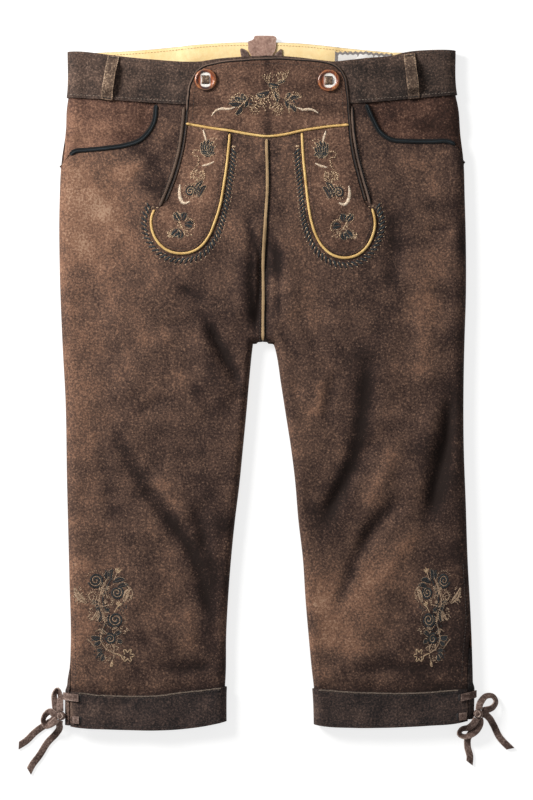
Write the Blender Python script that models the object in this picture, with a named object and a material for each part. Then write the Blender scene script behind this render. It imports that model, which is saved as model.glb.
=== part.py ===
"""Lederhosen, knee length, laid flat on a surface with the front up.

The leather is a 1.6 mm wall.  Front pieces follow one front skin, back pieces one back
skin; both roll over at the side folds and inner-leg folds and meet there.  Each piece is a
wall between two lifts off its skin, so what lies on a panel is that panel moved outwards.
+X is the wearer's left, +Y runs to the waist, +Z is up, and Z = 0 is the resting surface.
"""
import math

import bmesh
import bpy
import numpy as np
from mathutils import Matrix, Vector

MM = 0.001

# Leather, in mm
WALL = 1.6
GAP = 0.3
STACK = WALL + GAP
FLAP_WALL = 1.8
FACING_WALL = 1.4
PATCH_WALL = 1.0

# How the garment lies, in mm
SEAM_HEIGHT = 7.0
SIDE_ROLL = 13.0
INSEAM_ROLL = 9.0
BACK_ROLL = 9.0
LAP = 8.0
LAP_EASE = 9.0
LYING_HEIGHT = (          # y, front skin above the side seam
    (375.0, 7.0), (300.0, 7.6), (200.0, 8.6), (60.0, 9.2),
    (-150.0, 8.8), (-320.0, 7.4), (-390.0, 6.8),
)

# Outlines seen from above: x, y in mm
SIDE_R = (
    (-218.0, 372.6), (-218.4, 317.6), (-220.7, 300.0), (-221.5, 278.0), (-226.2, 245.0),
    (-228.6, 195.5), (-228.3, 121.8), (-225.3, 42.6), (-222.0, -19.0), (-220.4, -107.0),
    (-217.8, -212.6), (-216.4, -294.0), (-217.4, -313.8), (-219.7, -327.0),
    (-220.3, -340.2), (-220.6, -388.6),
)
SIDE_L = (
    (205.9, 372.6), (207.2, 319.8), (210.8, 302.2), (213.0, 273.6), (216.5, 245.0),
    (217.8, 206.5), (219.1, 157.0), (219.1, 91.0), (217.8, 51.4), (216.7, 3.0),
    (216.9, -74.0), (218.9, -129.0), (221.1, -195.0), (224.4, -256.6), (226.1, -299.5),
    (226.8, -331.4), (226.6, -349.0), (225.5, -388.6),
)
INSEAM_R = (
    (-15.2, 44.2), (-16.5, 33.8), (-19.1, 7.4), (-22.6, -32.2), (-26.4, -71.8),
    (-30.8, -115.8), (-35.2, -151.0), (-39.6, -195.0), (-42.9, -239.0), (-44.9, -278.6),
    (-45.3, -318.2), (-46.3, -338.0), (-46.4, -388.6),
)
INSEAM_L = (
    (7.3, 44.2), (9.9, 33.8), (15.4, -1.4), (20.9, -36.6), (26.4, -71.8), (30.8, -107.0),
    (34.5, -151.0), (39.6, -195.0), (42.4, -239.0), (46.2, -283.0), (49.1, -313.8),
    (51.9, -338.0), (53.9, -388.6),
)
CENTRE_SEAM = (
    (-0.8, 372.6), (-0.6, 269.2), (0.2, 212.0), (-2.2, 173.5), (-4.2, 141.6),
    (-4.2, 91.0), (-4.6, 45.0),
)
SLIT_R = ((-216.4, -294.0), (-216.0, -318.2), (-215.7, -388.6))
SLIT_L = ((224.8, -263.2), (220.9, -300.6), (220.4, -388.6))
POCKET_R = (
    (-120.8, 322.0), (-121.2, 314.3), (-122.1, 304.4), (-124.3, 286.8), (-132.0, 273.6),
    (-140.0, 266.5), (-154.7, 261.4), (-177.1, 257.8), (-199.5, 255.8), (-211.8, 254.3),
    (-218.9, 248.0), (-227.2, 238.4),
)
POCKET_L = (
    (103.4, 322.0), (105.6, 314.3), (108.9, 306.6), (117.3, 287.4), (125.4, 274.2),
    (136.4, 267.4), (154.0, 265.6), (179.3, 265.2), (202.4, 264.2), (210.7, 258.4),
    (217.0, 242.8),
)
WAIST = (
    (-227.7, 364.4), (-200.2, 363.5), (-176.0, 360.5), (-150.7, 357.4), (-124.3, 355.0),
    (-90.2, 352.6), (-73.7, 353.0), (-58.3, 355.5), (-26.4, 358.1), (0.0, 359.4),
    (30.8, 357.9), (62.7, 353.9), (72.6, 353.0), (88.0, 354.4), (111.1, 356.8),
    (140.8, 360.1), (150.7, 362.7), (180.4, 365.6), (217.8, 365.4),
)
BAND_SEAM = (
    (-233.2, 314.3), (-211.2, 313.2), (-170.5, 310.8), (-95.7, 306.1), (0.0, 305.0),
    (96.8, 307.2), (146.3, 311.0), (217.8, 317.6),
)
BACK_WAIST = (
    (-233.2, 363.3), (-189.2, 364.0), (-135.3, 367.1), (-100.1, 370.4), (-70.4, 373.5),
    (-13.2, 375.7), (45.1, 373.7), (74.8, 370.4), (106.7, 367.1), (140.8, 364.3),
    (179.3, 364.5), (223.3, 364.5),
)
CUFF_SEAM = (
    (-229.9, -338.5), (-209.0, -339.1), (-163.9, -343.5), (-127.6, -343.5),
    (-95.7, -340.7), (-38.5, -339.1), (42.9, -339.6), (135.3, -339.6), (214.5, -336.9),
    (234.3, -335.8),
)
HEM_R = (
    (-229.9, -374.8), (-209.0, -379.0), (-174.9, -380.9), (-139.7, -382.0),
    (-95.7, -380.9), (-38.5, -374.3),
)
HEM_L = (
    (42.9, -373.2), (58.3, -377.0), (91.3, -379.2), (135.3, -379.0), (177.1, -377.0),
    (209.0, -374.3), (234.3, -367.7),
)

# The drop-front flap and what trims it: x, y in mm
FLAP_CORNER = 320.0       # above this the flap's side edges turn into its rounded top
FLAP_EDGE = (
    (-113.9, 193.3), (-110.2, 202.1), (-104.7, 215.3), (-99.8, 229.1), (-92.6, 256.0),
    (-88.8, 283.5), (-87.5, 300.0), (-86.7, 315.4), (-85.0, 326.4), (-81.7, 334.1),
    (-77.0, 341.8), (-69.9, 347.3), (-58.9, 350.4), (-42.9, 353.0), (-26.4, 354.4),
    (0.0, 355.9), (25.3, 355.5), (49.5, 353.9), (64.9, 351.7), (73.7, 349.0),
    (81.4, 342.9), (86.0, 334.1), (87.6, 324.2), (88.7, 312.1), (89.8, 297.8),
    (90.9, 284.6), (92.4, 267.0), (95.7, 247.2), (101.2, 225.2), (105.6, 209.8),
    (109.3, 195.5),
)
OPENING_R = (
    (-91.1, 302.6), (-92.8, 283.5), (-96.8, 256.0), (-104.1, 229.1), (-109.1, 215.3),
    (-114.5, 202.1), (-118.0, 193.9),
)
OPENING_L = (
    (93.5, 303.4), (94.6, 284.6), (96.4, 267.6), (99.9, 248.3), (105.4, 226.3),
    (109.8, 211.1), (113.5, 197.2),
)
CROSS_PIPING = (
    (-85.4, 284.0), (-64.9, 280.4), (-39.9, 276.7), (-18.7, 273.0), (-0.6, 271.0),
    (19.1, 272.9), (39.4, 277.3), (69.7, 281.8), (87.4, 283.4),
)
TONGUE_R = (
    (-40.9, 273.6), (-43.1, 249.5), (-46.9, 221.7), (-52.6, 191.5), (-57.6, 176.3),
    (-64.4, 160.5), (-74.4, 148.4), (-84.7, 143.2), (-94.6, 142.0), (-105.6, 143.8),
    (-115.7, 150.0), (-123.3, 159.9), (-127.1, 172.5), (-126.7, 182.5), (-123.8, 190.0),
)
TONGUE_L = (
    (38.4, 274.3), (39.8, 249.5), (42.6, 221.7), (45.1, 199.0), (48.2, 180.1),
    (53.2, 163.6), (62.2, 148.4), (72.2, 140.3), (84.8, 137.1), (97.5, 139.6),
    (108.8, 148.4), (115.8, 161.1), (118.6, 173.7), (117.9, 182.5), (115.7, 191.1),
)
CENTRE_PIPING_SPAN = (267.6, 47.5)

# Trim sections, in mm
EDGE_ROLL = 2.6
OPENING_ROLL = 3.6
PIPING = 3.0
POCKET_ROLL = 5.2

# Buttons and belt loops, in mm
BUTTONS = ((-67.6, 332.4), (67.6, 331.6))
SLOT = (8.6, 2.4)
SLOT_OFFSET = 3.6
THONG_WIDTH = 7.6
BELT_LOOPS = (            # side, top x, top y, bottom x, bottom y
    ("r", -168.9, 357.4, -176.0, 313.6),
    ("l", 156.5, 359.4, 161.5, 315.0),
)
BELT_LOOP_WIDTH = 12.0
BELT_ROOM = 5.0

# Folds of the front: start x, y, middle x, y, end x, y, height, half width; mm
FOLDS = (
    (-64.0, 66.0, -49.0, 30.0, -23.0, -4.0, -4.2, 8.0),
    (-80.0, 52.0, -62.0, 14.0, -36.0, -22.0, 2.4, 13.0),
    (-134.0, -112.0, -116.0, -134.0, -96.0, -154.0, -2.6, 8.0),
    (-76.0, -128.0, -70.0, -160.0, -66.0, -198.0, -2.4, 8.0),
    (-196.0, 110.0, -176.0, 50.0, -170.0, -30.0, -1.8, 20.0),
    (-150.0, -220.0, -120.0, -250.0, -96.0, -300.0, 1.6, 20.0),
    (-2.5, 176.0, -4.2, 120.0, -4.4, 42.0, -4.6, 9.0),
    (-24.0, 150.0, -28.0, 104.0, -32.0, 60.0, 1.8, 12.0),
    (18.0, 150.0, 24.0, 110.0, 26.0, 60.0, 1.6, 12.0),
    (123.0, -52.0, 84.0, -116.0, 58.0, -150.0, -4.2, 8.5),
    (140.0, -88.0, 112.0, -136.0, 90.0, -166.0, 2.0, 11.0),
    (154.0, -126.0, 122.0, -162.0, 96.0, -190.0, -3.0, 8.0),
    (208.0, -10.0, 193.0, -72.0, 176.0, -162.0, -4.6, 9.0),
    (186.0, -20.0, 172.0, -80.0, 160.0, -140.0, 2.4, 13.0),
    (115.0, 36.0, 116.0, 0.0, 115.0, -46.0, -1.8, 10.0),
    (31.0, 4.0, 33.0, -8.0, 36.0, -20.0, -1.4, 7.0),
    (170.0, -230.0, 140.0, -260.0, 120.0, -300.0, -1.6, 16.0),
)

# Laces: a flat thong, x, y, z in mm
LACE_WIDTH = 7.6
LACE_WALL = 1.8
KNOT_RADIUS = 4.7
KNOT_HALF_HEIGHT = 4.7
KNOT_IN = 0.4
KNOTS = {"r": -366.4, "l": -364.0}
LACE_SPACING = 6.5
STRAND_STEP = 2.2         # from one strand to the next where they leave the knot
LACE_BARS = (             # side, name, edge y, first step off the fold, eyelet x, eyelet y
    ("r", "upper", -345.0, 0, -207.0, -346.5),
    ("r", "lower", -369.0, 3, -206.5, -370.8),
    ("l", "upper", -342.5, 0, 213.0, -346.0),
    ("l", "lower", -365.0, 3, 211.0, -367.0),
)
LACE_FLAT = 90.0
LACE_TILTED = 38.0
LACE_ROUTES = (           # side, name, mid tilt, way out, route, way back; a way is
    # its direction in degrees and its level at the knot
    ("r", "loop_up", LACE_TILTED, (96.0, 1), (
        (-227.8, -353.0, 9.6), (-228.2, -343.5, 5.6), (-230.8, -338.0, 5.0),
        (-234.0, -342.5, 5.2), (-233.6, -352.0, 7.6),
    ), (128.0, -1)),
    ("r", "loop_side", LACE_TILTED, (166.0, 0), (
        (-237.6, -361.8, 11.4), (-243.6, -365.2, 8.6), (-246.4, -372.0, 7.4),
        (-244.0, -377.6, 8.0), (-239.4, -376.4, 11.6),
    ), (222.0, 1)),
    ("r", "end_a", LACE_FLAT, (202.0, -1), (
        (-236.0, -371.6, 6.6), (-243.6, -376.8, 1.6), (-255.2, -385.0, 1.2),
        (-266.8, -396.0, 1.2), (-276.1, -401.6, 1.2),
    ), None),
    ("r", "end_b", LACE_FLAT, (256.0, 0), (
        (-228.4, -379.6, 8.6), (-232.2, -386.4, 2.6), (-241.8, -396.6, 1.2),
        (-251.4, -411.6, 1.2), (-259.2, -422.0, 1.2), (-263.8, -430.9, 1.2),
    ), None),
    ("l", "loop_up", LACE_TILTED, (84.0, 1), (
        (236.0, -350.4, 9.4), (242.0, -345.0, 6.0), (249.4, -345.6, 5.2),
        (252.4, -351.4, 5.6), (248.8, -357.4, 8.0), (242.8, -359.6, 11.6),
    ), (30.0, 0)),
    ("l", "loop_low", LACE_TILTED, (246.0, 1), (
        (222.0, -379.6, 9.6), (214.0, -382.2, 7.2), (211.6, -386.4, 7.0),
        (216.0, -389.6, 7.0), (224.4, -388.0, 7.2), (231.6, -381.6, 9.4),
    ), (286.0, 0)),
    ("l", "end_a", LACE_FLAT, (352.0, -1), (
        (243.6, -368.0, 8.6), (249.6, -377.0, 2.2), (256.3, -390.6, 1.2),
        (270.4, -405.6, 1.2),
    ), None),
    ("l", "end_b", LACE_FLAT, (276.0, -1), (
        (230.4, -377.6, 5.4), (226.4, -384.4, 1.5), (221.6, -392.6, 1.2),
        (221.4, -401.7, 1.2), (223.9, -412.0, 1.2), (223.3, -422.1, 1.2),
    ), None),
)

MATERIALS = {             # name: colour, roughness, metallic
    "suede_brown": ((0.115, 0.062, 0.040), 0.92, 0.0),
    "suede_band": ((0.082, 0.050, 0.036), 0.92, 0.0),
    "binding_dark": ((0.030, 0.026, 0.026), 0.80, 0.0),
    "binding_teal": ((0.026, 0.040, 0.048), 0.75, 0.0),
    "piping_yellow": ((0.560, 0.330, 0.090), 0.65, 0.0),
    "leather_tan": ((0.680, 0.440, 0.180), 0.60, 0.0),
    "suede_mauve": ((0.230, 0.150, 0.130), 0.90, 0.0),
    "patch_cloth": ((0.700, 0.690, 0.700), 0.90, 0.0),
    "horn": ((0.330, 0.090, 0.030), 0.30, 0.0),
}


# ---------------------------------------------------------------- lines in plan

def smooth_line(table, step=4.0):
    """A smooth line through the table's points, sampled about every step mm."""
    knots = np.array(table, float)
    chord = np.concatenate([[0], np.cumsum(np.linalg.norm(np.diff(knots, axis=0), axis=1))])
    slopes = np.gradient(knots, chord, axis=0)
    line = []
    for i in range(len(knots) - 1):
        span = chord[i + 1] - chord[i]
        count = max(2, round(span / step))
        for t in np.linspace(0, 1, count, endpoint=False):
            line.append(
                (2 * t**3 - 3 * t**2 + 1) * knots[i] + (t**3 - 2 * t**2 + t) * span * slopes[i]
                + (3 * t**2 - 2 * t**3) * knots[i + 1] + (t**3 - t**2) * span * slopes[i + 1]
            )
    line.append(knots[-1])
    return np.array(line)


def lengths_along(line):
    return np.concatenate([[0], np.cumsum(np.linalg.norm(np.diff(line, axis=0), axis=1))])


def points_at(line, distances):
    """Points of a line at distances from its start."""
    marks = lengths_along(line)
    return np.stack([np.interp(distances, marks, line[:, k]) for k in range(line.shape[1])], 1)


def evenly(line, count):
    return points_at(line, np.linspace(0, lengths_along(line)[-1], count))


def paced(line, reach, turn=18.0):
    """Fewer points of a line: closer together where it bends, at most reach mm apart."""
    way = np.diff(line[:, :2], axis=0)
    heading = np.unwrap(np.arctan2(way[:, 1], way[:, 0]))
    bend = np.concatenate([[0], np.abs(np.diff(heading)), [0]])
    pace = np.linalg.norm(way, axis=1) / reach
    pace += (bend[:-1] + bend[1:]) / 2 / math.radians(turn)
    total = np.concatenate([[0], np.cumsum(pace)])
    stops = np.linspace(0, total[-1], math.ceil(total[-1]) + 1)
    return np.stack([np.interp(stops, total, line[:, k]) for k in range(line.shape[1])], 1)


def x_at(line, y):
    """X where a line that runs down the garment passes height y."""
    return np.interp(-np.asarray(y), -line[:, 1], line[:, 0])


def y_at(line, x):
    """Y of a line that runs across the garment."""
    return np.interp(x, line[:, 0], line[:, 1])


def sideways(line):
    """Unit vectors in plan to the left of the way the line runs."""
    along = np.gradient(line[:, :2], lengths_along(line), axis=0)
    along /= np.linalg.norm(along, axis=1)[:, None]
    return np.stack([-along[:, 1], along[:, 0]], 1)


def shifted(line, offset):
    """The line moved to its left by an offset, one number or one for each point."""
    offset = np.broadcast_to(np.asarray(offset, float), (len(line),))
    return line[:, :2] + sideways(line) * offset[:, None]


def smooth_step(value, low, high):
    t = np.clip((np.asarray(value, float) - low) / (high - low), 0, 1)
    return t * t * (3 - 2 * t)


SEAM_LINE = smooth_line(CENTRE_SEAM)
CROTCH = SEAM_LINE[-1]
SIDE_LINE = {"r": smooth_line(SIDE_R), "l": smooth_line(SIDE_L)}
NOTCH_LINE = {
    "r": np.vstack([CROTCH, smooth_line(INSEAM_R)]),
    "l": np.vstack([CROTCH, smooth_line(INSEAM_L)]),
}
SLIT_LINE = {"r": smooth_line(SLIT_R), "l": smooth_line(SLIT_L)}
POCKET_LINE = {"r": smooth_line(POCKET_R, 3.0), "l": smooth_line(POCKET_L, 3.0)}
HEM_LINE = {"r": smooth_line(HEM_R), "l": smooth_line(HEM_L)}
WAIST_LINE = smooth_line(WAIST)
BAND_LINE = smooth_line(BAND_SEAM)
BACK_WAIST_LINE = smooth_line(BACK_WAIST)
CUFF_LINE = smooth_line(CUFF_SEAM)
FLAP_LINE = smooth_line(FLAP_EDGE, 2.5)
CROSS_LINE = smooth_line(CROSS_PIPING)
TONGUE_LINE = {"r": smooth_line(TONGUE_R, 3.0), "l": smooth_line(TONGUE_L, 3.0)}
OPENING_LINE = {"r": smooth_line(OPENING_R), "l": smooth_line(OPENING_L)}
SIGN = {"r": -1.0, "l": 1.0}
FOLD_LINES = (            # line, side of it on which the garment lies, roll radius
    (SIDE_LINE["r"], 1.0, SIDE_ROLL),
    (SIDE_LINE["l"], -1.0, SIDE_ROLL),
    (NOTCH_LINE["r"], -1.0, INSEAM_ROLL),
    (NOTCH_LINE["l"], 1.0, INSEAM_ROLL),
)


# ---------------------------------------------------------------- front and back skins

def from_fold(plan, back=False):
    """Distance to the nearest fold in roll radii, and the way in from it."""
    best = np.full(len(plan), np.inf)
    inward = np.zeros((len(plan), 2))
    for line, hand, radius in FOLD_LINES:
        radius = BACK_ROLL if back else radius
        start, end = line[:-1], line[1:]
        way = end - start
        span = (way**2).sum(1)
        t = np.clip(((plan[:, None] - start) * way).sum(2) / span, 0, 1)
        away = plan[:, None] - (start + t[..., None] * way)
        distance = np.linalg.norm(away, axis=2)
        nearest = distance.argmin(1)
        pick = np.arange(len(plan))
        found = distance[pick, nearest]
        normal = np.stack([-way[:, 1], way[:, 0]], 1)[nearest] * hand
        normal /= np.linalg.norm(normal, axis=1)[:, None]
        off = found > 1e-4
        normal[off] = (away[pick, nearest] / np.maximum(found, 1e-9)[:, None])[off]
        closer = found / radius < best
        best[closer] = found[closer] / radius
        inward[closer] = normal[closer] / radius
    return best, inward


def roll(share):
    """Height of a rolled edge, 0 at the fold to 1 past the roll, and its slope."""
    left = 1 - np.clip(share, 1e-4, 1)
    height = np.sqrt(1 - left**2)
    height = np.where(share < 1e-6, 0, height)
    slope = np.where(share < 1, left / np.sqrt(1 - left**2), 0)
    return height, slope


def fold_relief(plan):
    """Soft troughs and ridges of the front, tapering to nothing at their ends."""
    relief = np.zeros(len(plan))
    for x0, y0, x1, y1, x2, y2, height, width in FOLDS:
        bend = smooth_line(((x0, y0), (x1, y1), (x2, y2)), 12.0)
        marks = lengths_along(bend)
        start, way = bend[:-1], np.diff(bend, axis=0)
        t = np.clip(((plan[:, None] - start) * way).sum(2) / (way**2).sum(1), 0, 1)
        distance = np.linalg.norm(plan[:, None] - (start + t[..., None] * way), axis=2)
        nearest = distance.argmin(1)
        pick = np.arange(len(plan))
        along = (marks[nearest] + t[pick, nearest] * np.diff(marks)[nearest]) / marks[-1]
        taper = smooth_step(along, 0, 0.35) * smooth_step(1 - along, 0, 0.35)
        relief += height * taper * np.exp(-(distance[pick, nearest] / width) ** 2)
    return relief


def front_rest(plan):
    share, _ = from_fold(plan)
    table = np.array(LYING_HEIGHT)[::-1]
    level = np.interp(plan[:, 1], table[:, 0], table[:, 1])
    return level, fold_relief(plan) * smooth_step(share, 0.3, 1.5)


def slope_of(field, plan, step=0.2):
    across = np.array([step, 0.0])
    up = np.array([0.0, step])
    return np.stack([
        (field(plan + across) - field(plan - across)) / (2 * step),
        (field(plan + up) - field(plan - up)) / (2 * step),
    ], 1)


def front_skin(plan, lift):
    """Points of the front at plan positions, moved outwards (up) by lift."""
    share, inward = from_fold(plan)
    height, steep = roll(share)
    level, relief = front_rest(plan)
    z = SEAM_HEIGHT + GAP / 2 + level * height + relief
    slope = (level * steep)[:, None] * inward + slope_of(lambda p: front_rest(p)[1], plan)
    normal = np.column_stack([-slope, np.ones(len(plan))])
    normal /= np.linalg.norm(normal, axis=1)[:, None]
    return np.column_stack([plan, z]) + normal * np.reshape(lift, (-1, 1))


def back_raise(plan):
    """How far the back panels rise where the waistband or a cuff lies under them."""
    waist = plan[:, 1] - y_at(BAND_LINE, plan[:, 0])
    hem = y_at(CUFF_LINE, plan[:, 0]) - plan[:, 1]
    return STACK * np.maximum(smooth_step(waist, -LAP_EASE, -0.5),
                              smooth_step(hem, -LAP_EASE, -0.5))


def back_skin(plan, lift):
    """Points of the back at plan positions, moved outwards (down) by lift."""
    share, inward = from_fold(plan, back=True)
    height, steep = roll(share)
    floor = back_raise(plan)
    rise = SEAM_HEIGHT - GAP / 2 - floor
    z = floor + rise * (1 - height)
    slope = -(rise * steep)[:, None] * inward + height[:, None] * slope_of(back_raise, plan)
    normal = np.column_stack([slope, -np.ones(len(plan))])
    normal /= np.linalg.norm(normal, axis=1)[:, None]
    return np.column_stack([plan, z]) + normal * np.reshape(lift, (-1, 1))


def over_band(plan):
    """Extra lift of the flap and its trim where they lie on the waistband."""
    below = y_at(BAND_LINE, plan[:, 0]) - plan[:, 1]
    return STACK * (1 - smooth_step(below, 4.0, 13.0))


# ---------------------------------------------------------------- solids

def material(name):
    found = bpy.data.materials.get(name)
    if found:
        return found
    colour, roughness, metallic = MATERIALS[name]
    made = bpy.data.materials.new(name)
    made.use_nodes = True
    shader = made.node_tree.nodes["Principled BSDF"]
    shader.inputs["Base Color"].default_value = (*colour, 1.0)
    shader.inputs["Roughness"].default_value = roughness
    shader.inputs["Metallic"].default_value = metallic
    made.diffuse_color = (*colour, 1.0)
    return made


def make_object(name, vertices, faces, finish, garment):
    """One closed solid from vertices in mm, with its faces turned outwards."""
    mesh = bpy.data.meshes.new(name)
    mesh.from_pydata([Vector(v) * MM for v in vertices], [], faces)
    shape = bmesh.new()
    shape.from_mesh(mesh)
    bmesh.ops.triangulate(shape, faces=[f for f in shape.faces if len(f.verts) > 3])
    bmesh.ops.recalc_face_normals(shape, faces=shape.faces)
    if shape.calc_volume(signed=True) < 0:
        bmesh.ops.reverse_faces(shape, faces=shape.faces)
    shape.to_mesh(mesh)
    shape.free()
    mesh.shade_smooth()
    mesh.set_sharp_from_angle(angle=math.radians(40))
    mesh.materials.append(material(finish))
    part = bpy.data.objects.new(name, mesh)
    bpy.context.scene.collection.objects.link(part)
    part.parent = garment
    return part


def wall(name, plan, skin, outer, inner, finish, garment):
    """A piece of leather: a grid in plan, from its outer lift in to its inner lift."""
    rows, columns = plan.shape[:2]
    flat = plan.reshape(-1, 2)
    size = rows * columns
    lifts = [np.broadcast_to(np.asarray(lift, float).reshape(-1), (size,))
             if np.ndim(lift) else np.full(size, float(lift)) for lift in (outer, inner)]
    vertices = np.vstack([skin(flat, lifts[0]), skin(flat, lifts[1])])
    faces = []
    for i in range(rows - 1):
        for j in range(columns - 1):
            a, b = i * columns + j, i * columns + j + 1
            c, d = b + columns, a + columns
            for start in (0, size):
                faces.append((start + a, start + b, start + c))
                faces.append((start + a, start + c, start + d))
    rim = [j for j in range(columns)]
    rim += [i * columns + columns - 1 for i in range(1, rows)]
    rim += [(rows - 1) * columns + j for j in range(columns - 2, -1, -1)]
    rim += [i * columns for i in range(rows - 2, 0, -1)]
    for a, b in zip(rim, rim[1:] + rim[:1]):
        faces.append((a, b, size + b))
        faces.append((a, size + b, size + a))
    return make_object(name, vertices, faces, finish, garment)


def bead(name, line, section, finish, garment, base=None):
    """A trim that runs along a line on the front: its section is (across, lift) in mm."""
    ways = sideways(line)
    size = len(section)
    extra = np.zeros(len(line)) if base is None else base(line[:, :2])
    vertices = []
    for (across, lift) in section:
        vertices.append(front_skin(line[:, :2] + ways * across, lift + extra))
    vertices = np.stack(vertices, 1).reshape(-1, 3)
    faces = [tuple(range(size)), tuple(range((len(line) - 1) * size, len(line) * size))]
    for i in range(len(line) - 1):
        for k in range(size):
            a, b = i * size + k, i * size + (k + 1) % size
            faces.append((a, b, b + size))
            faces.append((a, b + size, a + size))
    return make_object(name, vertices, faces, finish, garment)


def round_section(width, low, high):
    """Half-round section of a rolled edge."""
    half = width / 2
    return (
        (-half, low), (-half, low + 0.4 * (high - low)), (-0.55 * half, low + 0.9 * (high - low)),
        (0.0, high), (0.55 * half, low + 0.9 * (high - low)), (half, low + 0.4 * (high - low)),
        (half, low),
    )


def ruled(first, second, across):
    """Grid in plan between two lines with as many points, at shares across."""
    shares = np.asarray(across)[None, :, None]
    return first[:, None, :] * (1 - shares) + second[:, None, :] * shares


ROLL_SHARES = tuple(1 - math.cos(math.radians(a)) for a in (0.0, 22.5, 45.0, 67.5))


def steps_across(width, start_roll, end_roll, middle):
    """Distances across a piece, closer together where it rolls over a fold."""
    start = [start_roll * share for share in ROLL_SHARES] if start_roll else []
    end = [width - end_roll * share for share in reversed(ROLL_SHARES)] if end_roll else []
    inner = np.linspace(start_roll, width - end_roll, middle + 1)
    return np.array(start + list(inner) + end)


def rolled_rows(first, second, start_roll, end_roll, middle):
    """Grid of rows from one line to another, with columns gathered at the folds."""
    rows = []
    for a, b in zip(first, second):
        width = np.linalg.norm(b - a)
        shares = steps_across(width, start_roll, end_roll, middle) / width
        rows.append(a + (b - a) * shares[:, None])
    return np.array(rows)


# ---------------------------------------------------------------- panels

HEAD_REACH = 150.0        # the first rows end this far above the crotch point
LEG_ROWS = (              # outer edge y, inner edge distance past the crotch point, rows
    (40.0, 0.0, 8),
    (14.0, 11.0, 2),
    (-98.0, 130.0, 5),
    (-190.0, 224.0, 4),
)
LOWER_ROWS = 6
BACK_ROWS = (
    (40.0, 0.0, 4),
    (14.0, 11.0, 2),
    (-98.0, 130.0, 3),
    (-190.0, 224.0, 2),
)


def inner_edge(side):
    """Centre-front seam down to the crotch point, then the inner-leg fold to the hem."""
    half = np.array([SIGN[side] * GAP / 2, 0.0])
    notch = NOTCH_LINE[side].copy()
    notch[0] += half
    return np.vstack([SEAM_LINE[:-1] + half, notch])


def crotch_mark(side):
    return lengths_along(inner_edge(side))[len(SEAM_LINE) - 1]


def fan_rows(side, edge, outer_start, inner_start, table, lower_rows, bottom):
    """Matching points down the inner and the outer edge, fanned round the crotch."""
    inner = inner_edge(side)
    marks = lengths_along(inner)
    edge_marks = lengths_along(edge)
    stops = [(outer_start, inner_start, 0)]
    stops += [(y, crotch_mark(side) + below, rows) for y, below, rows in table]
    low = float(np.interp(-bottom, -inner[:, 1], marks))
    stops.append((bottom, low, lower_rows))
    outer_at, inner_at = [], []
    for (y0, mark0, _), (y1, mark1, rows) in zip(stops, stops[1:]):
        ends = np.interp([-y0, -y1], -edge[:, 1], edge_marks)
        outer_at += list(np.linspace(ends[0], ends[1], rows + 1)[1:])
        inner_at += list(np.linspace(mark0, mark1, rows + 1)[1:])
    return points_at(inner, inner_at), points_at(edge, outer_at)


def row_along(inner, outer, across_line, offset, start_roll, end_roll, middle):
    """One row that keeps a set distance from a line across the garment."""
    ends = []
    for edge in (inner, outer):
        x = float(edge[len(edge) // 2, 0])
        for _ in range(6):
            x = float(x_at(edge, y_at(across_line, x) + offset))
        ends.append(x)
    steps = steps_across(abs(ends[1] - ends[0]), start_roll, end_roll, middle)
    x = ends[0] + math.copysign(1.0, ends[1] - ends[0]) * steps
    return np.stack([x, y_at(across_line, x) + offset], 1)


def pocket_points(side):
    """Points of the pocket mouth, shared by its panel, facing and binding."""
    line = POCKET_LINE[side]
    top = float(y_at(BAND_LINE, line[0, 0])) + LAP
    start = np.array([[float(x_at(line, top)), top]])
    return paced(np.vstack([start, line[line[:, 1] < top - 0.5]]), 17.0)


def front_edge(side):
    """Side fold below the pocket, then the edge of the side slit down to the hem."""
    fold, slit = SIDE_LINE[side], SLIT_LINE[side]
    line = fold[fold[:, 1] < POCKET_LINE[side][-1, 1] + 6.0].copy()
    open_part = line[:, 1] < slit[0, 1]
    line[open_part, 0] = x_at(slit, line[open_part, 1])
    return line


def panel_bottom(side):
    """Height of the panels' lower edge, hidden under the cuff."""
    return float(y_at(CUFF_LINE, 135.0 * SIGN[side])) - LAP


def build_front_leg(side, garment):
    pocket = pocket_points(side)
    seam = inner_edge(side)
    start_mark = float(np.interp(-pocket[0, 1], -seam[:, 1], lengths_along(seam)))
    end_mark = crotch_mark(side) - HEAD_REACH
    head = points_at(seam, np.linspace(start_mark, end_mark, len(pocket)))
    inner, outer = fan_rows(side, front_edge(side), pocket[-1, 1], end_mark, LEG_ROWS,
                            LOWER_ROWS, panel_bottom(side))
    plan = rolled_rows(np.vstack([head, inner]), np.vstack([pocket, outer]), INSEAM_ROLL,
                       SIDE_ROLL, 6)
    wall(f"front_leg_{side}", plan, front_skin, 0.0, -WALL, "suede_brown", garment)


def build_back_leg(side, garment):
    seam, fold = inner_edge(side), SIDE_LINE[side]
    middle = 4
    rows = [row_along(seam[: len(SEAM_LINE)], fold, BAND_LINE, offset, BACK_ROLL, BACK_ROLL,
                      middle) for offset in (LAP, -1.0, -11.0)]
    inner_start = float(np.interp(-rows[-1][0, 1], -seam[:, 1], lengths_along(seam)))
    above_cuff = panel_bottom(side) + LAP + 30.0
    inner, outer = fan_rows(side, fold, rows[-1][-1, 1], inner_start, BACK_ROWS, 3, above_cuff)
    rows += list(rolled_rows(inner, outer, BACK_ROLL, BACK_ROLL, middle))
    rows += [row_along(seam[len(SEAM_LINE):], fold, CUFF_LINE, offset, BACK_ROLL, BACK_ROLL,
                       middle) for offset in (11.0, 1.0, -LAP)]
    wall(f"back_leg_{side}", np.array(rows), back_skin, 0.0, -WALL, "suede_brown", garment)


POCKET_CORNER = 281.0
FACING_TUCK = 5.0
FACING_BUTT = -1.8
FACING_ROWS = (0.0, 12.0, 25.0, 40.0)


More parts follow.
